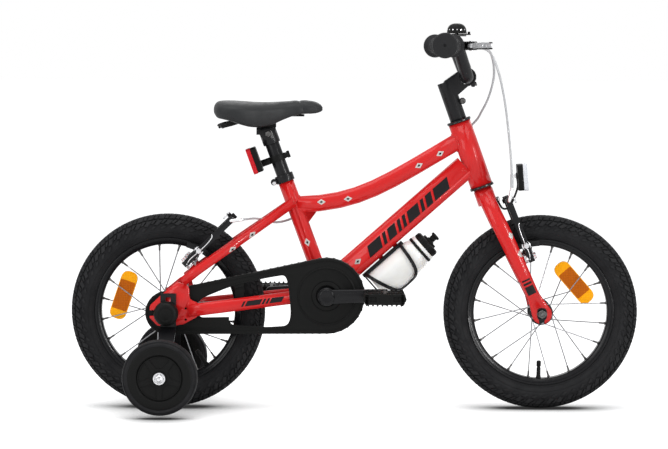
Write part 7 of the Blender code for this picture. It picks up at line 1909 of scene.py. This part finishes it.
# %% [markdown]
# ## Brake cables
# A brake cable is a steel wire in a grey plastic housing about four millimetres thick, stiff
# enough to hold a wide free curve. It leaves the lever, bows out ahead of the bar, and comes back
# to the frame or straight down to the front brake. Its points are those of the CAD model. The
# rear one turns with the bar at its front and stays with the frame behind, so it bends between
# the two.

# %% Cable routes
TOP_START = Vector((-0.10272, 0.0, 0.36726))
TOP_END = Vector((0.19709, 0.0, 0.48982))
BESIDE_TUBE = Vector((0.0, 0.0212, 0.0))
CLIPS_AT = (0.80, 0.45)


def top_tube_spot(share):
    """A point on the top tube's centre line."""
    a, d = TOP_START, TOP_END
    b, c = a + Vector((0.1150, 0.0, 0.0040)), d - Vector((0.1460, 0.0, 0.0867))
    u = 1.0 - share
    return a * u ** 3 + b * 3 * u * u * share + c * 3 * u * share * share + d * share ** 3


rear_route = [(0.1990, -0.1030, 0.6520), (0.2240, -0.0880, 0.6515), (0.2410, -0.0500, 0.6400),
              (0.2485, -0.0200, 0.6060), (0.2430, 0.0060, 0.5700), (0.2300, 0.0240, 0.5380),
              (0.2080, 0.0330, 0.5080), top_tube_spot(CLIPS_AT[0]) + BESIDE_TUBE,
              top_tube_spot(CLIPS_AT[1]) + BESIDE_TUBE, (-0.0550, 0.0215, 0.3680),
              (-0.0950, 0.0210, 0.3500), (-0.1210, 0.0200, 0.3380), (-0.1430, 0.0080, 0.3345),
              (-0.1600, -0.0090, 0.3400), (-0.1780, -0.0340, 0.3440), (-0.1930, -0.0540, 0.3440),
              REAR_PIPE_START + Vector((0.0012, 0.0009, 0.0))]
front_route = [(0.1990, 0.1030, 0.6520), (0.2240, 0.0880, 0.6515), (0.2450, 0.0450, 0.6410),
               (0.2580, 0.0050, 0.6060), (0.2668, -0.0180, 0.5616), (0.2727, -0.0300, 0.5160),
               (0.2780, -0.0410, 0.4600), (0.2800, -0.0480, 0.4200),
               FRONT_PIPE_START + Vector((0.0, 0.0005, 0.0013))]
for name, route, node in (("rear_cable", rear_route, "rear_brake_cable"),
                          ("front_cable", front_route, "front_brake_cable")):
    path = smooth_path(route, 3)
    length = sum((b - a).length for a, b in zip(path, path[1:]))
    housing = wire(route, 0.0021, 12, 7)
    housing.name = name
    bends = name == "rear_cable"
    keep_piece(housing, name, grey_housing, None if bends else "steering", smooth_angle=60.0,
               replaces=[node])
    if bends:
        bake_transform(housing)
    print(name, "length", round(length, 3), "m")

# %% [markdown]
# ## Sleeve and clips
# The front housing ends in a thicker sleeve over its pipe. Two small clips hold the rear housing
# to the top tube. A clip is a turned ring, set square to the cable.

# %% End sleeve and clips
start = FRONT_PIPE_START
way = (Vector(front_route[-2]) - start).normalized()
sleeve = [round_bar(start + way * 0.0012, start + way * 0.0240, 0.0030, 16),
          round_bar(start + way * 0.0240, start + way * 0.0270, 0.0030, 16, 0.0022)]
keep_piece(joined(sleeve), "front_cable_sleeve", grey_housing, "steering", smooth_angle=40.0)
clips = []
for share in CLIPS_AT:
    spot = top_tube_spot(share) + BESIDE_TUBE
    way = (top_tube_spot(share + 0.02) - top_tube_spot(share - 0.02)).normalized()
    clips.append(turned_at(mm([(2.3, -2.8), (3.4, -2.8), (3.6, -2.4), (3.6, 2.4), (3.4, 2.8), (2.3, 2.8)]),
                           18, spot, way, ring=True))
keep_piece(joined(clips), "cable_clips", moulded_black, "frame", smooth_angle=40.0)

# %% [markdown]
# ## Reflectors
# A reflector is a clear moulding with rows of tiny corner cubes behind it, so it shows as fine
# ribs under a smooth rim. The amber ones in the spokes have a darker panel in a paler frame with
# rounded ends. A flat plate with a picture of ribs would do from far away, but it wouldn't catch
# the light row by row, so the square lenses have real ribs.

# %% Helper: a plate in a reflector's own plane
ON_EDGE = Matrix(((1, 0, 0, 0), (0, 0, 1, 0), (0, 1, 0, 0), (0, 0, 0, 1)))


def lens_plate(place, sizes, low, high, edge, steps):
    """A rounded plate from one depth to another, set in place.

    Each size is half a width, half a height and a rounding: first the plate's, then its hole's.
    """
    outlines = [eased(rectangle(half_wide, half_high), ease, steps) for half_wide, half_high, ease in sizes]
    plate = cut_plate(outlines, *sorted((low, high)), edge, 1.0)
    plate.data.transform(place @ ON_EDGE)
    return closed_and_outward(plate)


# %% Spoke reflectors
for end, centre, angle, reach in (("front", FRONT_AXLE, math.radians(41.0), 0.0805),
                                  ("rear", REAR_AXLE, math.radians(161.5), 0.0850)):
    outward = Vector((math.cos(angle), 0.0, math.sin(angle)))
    along = Vector((-math.sin(angle), 0.0, math.cos(angle)))
    turn = Matrix((along, outward, along.cross(outward))).transposed().to_4x4()
    place = Matrix.Translation(centre + outward * reach) @ turn
    frame_parts = [lens_plate(place, [(0.0447, 0.0152, 0.0146)], -0.0030, 0.0030, 0.0009, 6)]
    panels = []
    for face in (-1.0, 1.0):
        frame_parts.append(lens_plate(place, [(0.0445, 0.0150, 0.0144), (0.0280, 0.0138, 0.0034)],
                                      face * 0.0027, face * 0.0036, 0.0004, 6))
        panels.append(lens_plate(place, [(0.0272, 0.0136, 0.0030)], face * 0.0028, face * 0.0032, 0.0, 6))
    keep_piece(joined(frame_parts), end + "_amber_frame", amber_lens, end + "_wheel", smooth_angle=35.0,
               replaces=[end + "_spoke_reflector"])
    keep_piece(closed_and_outward(joined(panels)), end + "_amber_panel", amber_deep, end + "_wheel",
               smooth_angle=25.0)


# %% Helper: a square reflector that faces one way
RIB_PITCH = 0.0026


def square_reflector(name, middle, facing, wide, high, lens, body):
    """Black back, and a rim and ribbed lens in the lens finish; facing is the way the lens looks."""
    across = Vector((0.0, 1.0, 0.0))
    upward = facing.normalized().cross(across).normalized()
    place = Matrix.Translation(middle) @ Matrix((across, upward, across.cross(upward))).transposed().to_4x4()

    def slab(drawn_in, ease, low, high_z, edge, *holes):
        return lens_plate(place, [(wide / 2 - drawn_in, high / 2 - drawn_in, ease), *holes], low, high_z,
                          edge, 5)

    keep_piece(slab(0.0008, 0.0070, -0.0090, 0.0010, 0.0012), name + "_back", moulded_black, body,
               replaces=[name])
    rim = slab(0.0, 0.0078, 0.0008, 0.0088, 0.0007, (wide / 2 - 0.0022, high / 2 - 0.0022, 0.0060))
    plate = slab(0.0020, 0.0062, 0.0012, 0.0062, 0.0)
    count = int((high - 0.0070) / RIB_PITCH)
    ribs = []
    for n in range(count):
        risen = Matrix.Translation(upward * (n - (count - 1) / 2.0) * RIB_PITCH)
        ribs.append(lens_plate(risen @ place, [(wide / 2 - 0.0034, 0.0009, 0.0004)], 0.0060, 0.0072,
                               0.0004, 5))
    keep_piece(joined([rim, plate, *ribs]), name + "_lens", lens, body, smooth_angle=25.0)


# %% Rear and front reflectors
SEAT_UP = Vector((-0.34530, 0.0, 0.93850))
SEAT_BACK = Vector((-0.93850, 0.0, -0.34530))
square_reflector("rear_reflector", Vector((-0.1804, 0.0, 0.4470)), SEAT_BACK, 0.050, 0.048, red_lens, "seat")
FRONT_MIDDLE = Vector((0.3018, 0.0, 0.4185))
FRONT_LEAN = math.radians(94.32)
front_up = Vector((math.cos(FRONT_LEAN), 0.0, math.sin(FRONT_LEAN)))
front_face = Vector((front_up.z, 0.0, -front_up.x))
square_reflector("front_reflector", FRONT_MIDDLE, front_face, 0.049, 0.049, clear_lens, "steering")

# %% [markdown]
# ## Brackets
# The rear reflector's arm and ring are one moulding round the seat post, pinched by a small
# knob. The front one sits on a bent steel wire that a bolt holds to the fork crown.

# %% Brackets
softened_node("rear_reflector_bracket", "rear_reflector_arm", moulded_black, "seat", 0.0008)
HEAD_LOWER = Vector((0.2281, 0.0, 0.4032))
back_of = FRONT_MIDDLE - front_face * 0.0098
wire_line = [HEAD_LOWER + Vector((ahead, 0.0, -down)) for ahead, down in
             ((0.0285, 0.0250), (0.0315, 0.0312), (0.0389, 0.0415), (0.0500, 0.0405), (0.0545, 0.0330))]
wire_line += [back_of - front_up * 0.0180, back_of + front_up * 0.0040]
bracket_wire = wire(wire_line, 0.0019, 12, 6)
pad = turned_at(mm([(0, -0.4), (5.6, -0.4), (6, 0.2), (5.6, 1.6), (0, 1.8)]), 20,
                back_of + front_up * 0.0030, -front_face)
eyelet = turned_at(mm([(0, -1), (5.2, -1), (5.4, 0), (5.2, 1), (0, 1)]), 20,
                   HEAD_LOWER + Vector((0.0290, 0.0, -0.0255)), Vector((0.9, 0.0, 0.3)))
keep_piece(joined([bracket_wire, pad, eyelet]), "front_reflector_wire", satin_black, "steering",
           smooth_angle=45.0, replaces=["front_reflector_bracket"])
crown_bolt = hex_bolt(HEAD_LOWER + Vector((0.0298, 0.0, -0.0250)), (0.94, 0.0, 0.34), 0.0050, 0.0036)
back_nut = hex_bolt(back_of + front_up * 0.0030 - front_face * 0.0016, -front_face, 0.0040, 0.0028)
keep_piece(joined([crown_bolt, back_nut]), "front_reflector_bolts", zinc_steel, "steering",
           smooth_angle=30.0)
knob = turned_at(mm([(0, 0), (6, 0), (6.4, 0.8), (6.4, 4.4), (5.8, 5.2), (0, 5.4)]),
                 20, Vector((-0.1222, 0.0, 0.4574)), (0.9385, 0.0, 0.3453))
keep_piece(knob, "rear_reflector_knob", moulded_black, "seat", smooth_angle=30.0)

# %% [markdown]
# ## Small hardware
# The parts that hold a bicycle together are small, bright and easy to forget: cups at the head
# tube, washers and nuts at the axles, the collar bolt, the screws in the guard. Each sits where
# the CAD has its joint or its hole, and rides with what it fastens.

# %% Headset cups
softened_node("headset_top_cup", "head_cup_top", satin_black, "steering", 0.0006)
softened_node("headset_bottom_cup", "head_cup_bottom", satin_black, "steering", 0.0006)
race_lines = []
for spot, way in ((HEAD_UPPER + STEER_UP * 0.0022, STEER_UP), (HEAD_LOWER - STEER_UP * 0.0022, STEER_UP)):
    race_lines.append(turned_at(mm([(18.6, -0.4), (21.9, -0.4), (22, 0), (21.9, 0.4), (18.6, 0.4)]),
                                48, spot, way, ring=True))
keep_piece(joined(race_lines), "head_race_lines", dark_steel, "steering", smooth_angle=40.0)

# %% [markdown]
# ## Seat post and its bolts
# The post is a plain black tube with softened ends. A pinch bolt closes the collar round it, and a
# cross bolt holds the saddle's clamp, so each shows a head on either side.

# %% Seat post, collar bolt and saddle bolt
post_low = POST_TOP - SEAT_UP * 0.198
post = turned_at(mm([(0, 0), (12.2, 0), (12.7, 0.6), (12.7, 196), (11.9, 197.6), (11.2, 198), (0, 198)]),
                 48, post_low, SEAT_UP)
keep_piece(post, "seat_post_tube", satin_black, "seat", smooth_angle=40.0, replaces=["seat_post"])
SEAT_TOP = Vector((-0.1284, 0.0, 0.42075))
collar_bolts = []
for side in (-1.0, 1.0):
    spot = SEAT_TOP - SEAT_UP * 0.0085 + SEAT_BACK * 0.0205 + Vector((0.0, side * 0.0088, 0.0))
    collar_bolts.append(socket_bolt(spot, (0.0, side, 0.0), 0.0036, 0.0030))
keep_piece(joined(collar_bolts), "seat_collar_bolt", zinc_steel, "frame", smooth_angle=35.0)
saddle_bolts = []
for side in (-1.0, 1.0):
    spot = POST_TOP - SEAT_UP * 0.0010 + Vector((0.0, side * 0.0196, 0.0))
    saddle_bolts.append(hex_bolt(spot, (0.0, side, 0.0), 0.0056, 0.0040, 0.0078))
keep_piece(joined(saddle_bolts), "saddle_bolts", dark_steel, "seat", smooth_angle=35.0)

# %% [markdown]
# ## Axle ends
# At the front the spindle carries a pressed safety washer and a dome nut outside each fork end.
# At the back the nut is under its cap, so only the lock nuts inside the dropouts show.

# %% Front axle ends
for word, side in SIDES:
    outward = Vector((0.0, side, 0.0))
    face = FRONT_AXLE + outward * 0.0506
    washer = cut_plate([eased(rectangle(0.0086, 0.0110), 0.0070)], 0.0, 0.0016, 0.0004, side)
    washer.data.transform(Matrix.Translation(face))
    keep_piece(closed_and_outward(washer), "axle_washer_" + word, satin_black, "steering",
               smooth_angle=35.0)
front_ends = []
for side in (-1.0, 1.0):
    outward = Vector((0.0, side, 0.0))
    front_ends.append(hex_bolt(FRONT_AXLE + outward * 0.0522, outward, 0.0080, 0.0052, 0.0092))
    front_ends.append(turned_at(mm([(0, 0), (4, 0), (4, 6.8), (3.4, 7.6), (0, 7.8)]),
                                18, FRONT_AXLE + outward * 0.0532, outward))
    front_ends.append(turned_at(mm([(4.6, 0), (8.6, 0), (9.2, 1), (9.2, 3.6), (8.4, 4.8), (4.6, 4.8)]), 24,
                                FRONT_AXLE + outward * 0.0348, outward, ring=True))
    front_ends.append(hex_bolt(FRONT_AXLE + outward * 0.0400, outward, 0.0084, 0.0048))
half_spindle = Vector((0.0, 0.0600, 0.0))
spindle = round_bar(FRONT_AXLE - half_spindle, FRONT_AXLE + half_spindle, 0.0044, 18)
keep_piece(joined(front_ends + [spindle]), "front_spindle", dark_steel, "steering", smooth_angle=35.0,
           replaces=["front_axle"])

# %% [markdown]
# ## Rear spindle
# The rear axle is longer, since it also carries the stabilisers' brackets. Its nuts are plain
# hexagons, and a spacer fills the gap between the hub and the left dropout.

# %% Rear spindle
half_spindle = Vector((0.0, 0.0740, 0.0))
rear_ends = [round_bar(REAR_AXLE - half_spindle, REAR_AXLE + half_spindle, 0.0046, 18)]
for side in (-1.0, 1.0):
    outward = Vector((0.0, side, 0.0))
    rear_ends.append(hex_bolt(REAR_AXLE + outward * 0.0645, outward, 0.0080, 0.0065))
rear_ends.append(hex_bolt(REAR_AXLE + Vector((0.0, -0.0486, 0.0)), (0.0, -1.0, 0.0), 0.0080, 0.0060))
rear_ends.append(hex_bolt(REAR_AXLE + Vector((0.0, 0.0350, 0.0)), (0.0, 1.0, 0.0), 0.0084, 0.0070))
rear_ends.append(round_bar(REAR_AXLE + Vector((0.0, 0.0410, 0.0)), REAR_AXLE + Vector((0.0, 0.0546, 0.0)),
                           0.0070, 20))
keep_piece(joined(rear_ends), "rear_spindle", dark_steel, "frame", smooth_angle=35.0,
           replaces=["rear_axle"])

# %% [markdown]
# ## Weld beads
# The tubes are aluminium and welded, and a weld stands up as a row of small ripples round each
# joint. Each bead is a thin ring laid on the tube, wavy along its length, in the frame's paint.

# %% Where a round tube meets another
TUBE_WIDE, TUBE_HIGH = 0.0147, 0.0154
LONGEST_WALK, WALK_STEP = 0.30, 0.0004


def weld_seam(start, way, host_point, host_way, host_radius):
    """A rippled bead along the line where the top tube's skin meets a round host tube."""
    across = Vector((0.0, 1.0, 0.0))
    upward = way.cross(across).normalized()
    seam = []
    for n in range(48):
        angle = 2.0 * math.pi * n / 48.0
        here = start + across * math.cos(angle) * TUBE_WIDE + upward * math.sin(angle) * TUBE_HIGH
        for step in range(int(LONGEST_WALK / WALK_STEP)):
            spot = here + way * step * WALK_STEP
            away = spot - host_point
            if (away - host_way * away.dot(host_way)).length <= host_radius:
                seam.append(spot)
                break
    print("weld points:", len(seam), "of 48")
    bead = wire(seam + [seam[0]], 0.0014, 8, 3)
    middle = sum(seam, Vector()) / len(seam)
    for point in bead.data.vertices:
        away = point.co - middle
        angle = math.atan2(away.dot(upward), away.y)
        point.co += away.normalized() * 0.00030 * math.sin(angle * 30.0)
    return bead


top_way = (top_tube_spot(1.0) - top_tube_spot(0.9)).normalized()
back_way = (top_tube_spot(0.0) - top_tube_spot(0.1)).normalized()
beads = [weld_seam(top_tube_spot(0.84), top_way, HEAD_LOWER, STEER_UP.normalized(), 0.0206),
         weld_seam(top_tube_spot(0.12), back_way, SEAT_TOP, SEAT_UP.normalized(), 0.0144)]
keep_piece(joined(beads), "weld_beads", red_paint, "frame", smooth_angle=60.0)

# %% [markdown]
# ## Collar lip
# The upper edge of the seat tube stands a little proud of the collar. A thin turned ring shows it.

# %% Lip of the seat collar
collar_lip = turned_at(mm([(12.9, -0.3), (16.8, -0.3), (17, 0.1), (16.8, 0.8), (13.4, 0.9), (12.9, 0.4)]),
                       48, SEAT_TOP, SEAT_UP, ring=True)
keep_piece(collar_lip, "seat_collar_lip", satin_black, "frame", smooth_angle=40.0)

# %% [markdown]
# ## Finishes on the CAD nodes that stay
# A node whose shape is right keeps it, such as the toothed wheels and the stabilisers' brackets.
# Only its material changes, in place of the plain one that it came with.

# %% Finish by node
for name, finish in (("chainring", satin_black), ("bottom_bracket", satin_black),
                     ("stabiliser_bracket_right", satin_black), ("stabiliser_bracket_left", satin_black),
                     ("saddle_pan", moulded_black), ("bottom_bracket_axle", zinc_steel),
                     ("rear_sprocket", dark_steel)):
    for spot in nodes[name].material_slots:
        spot.material = finish
    print(name, "wears", finish.name)
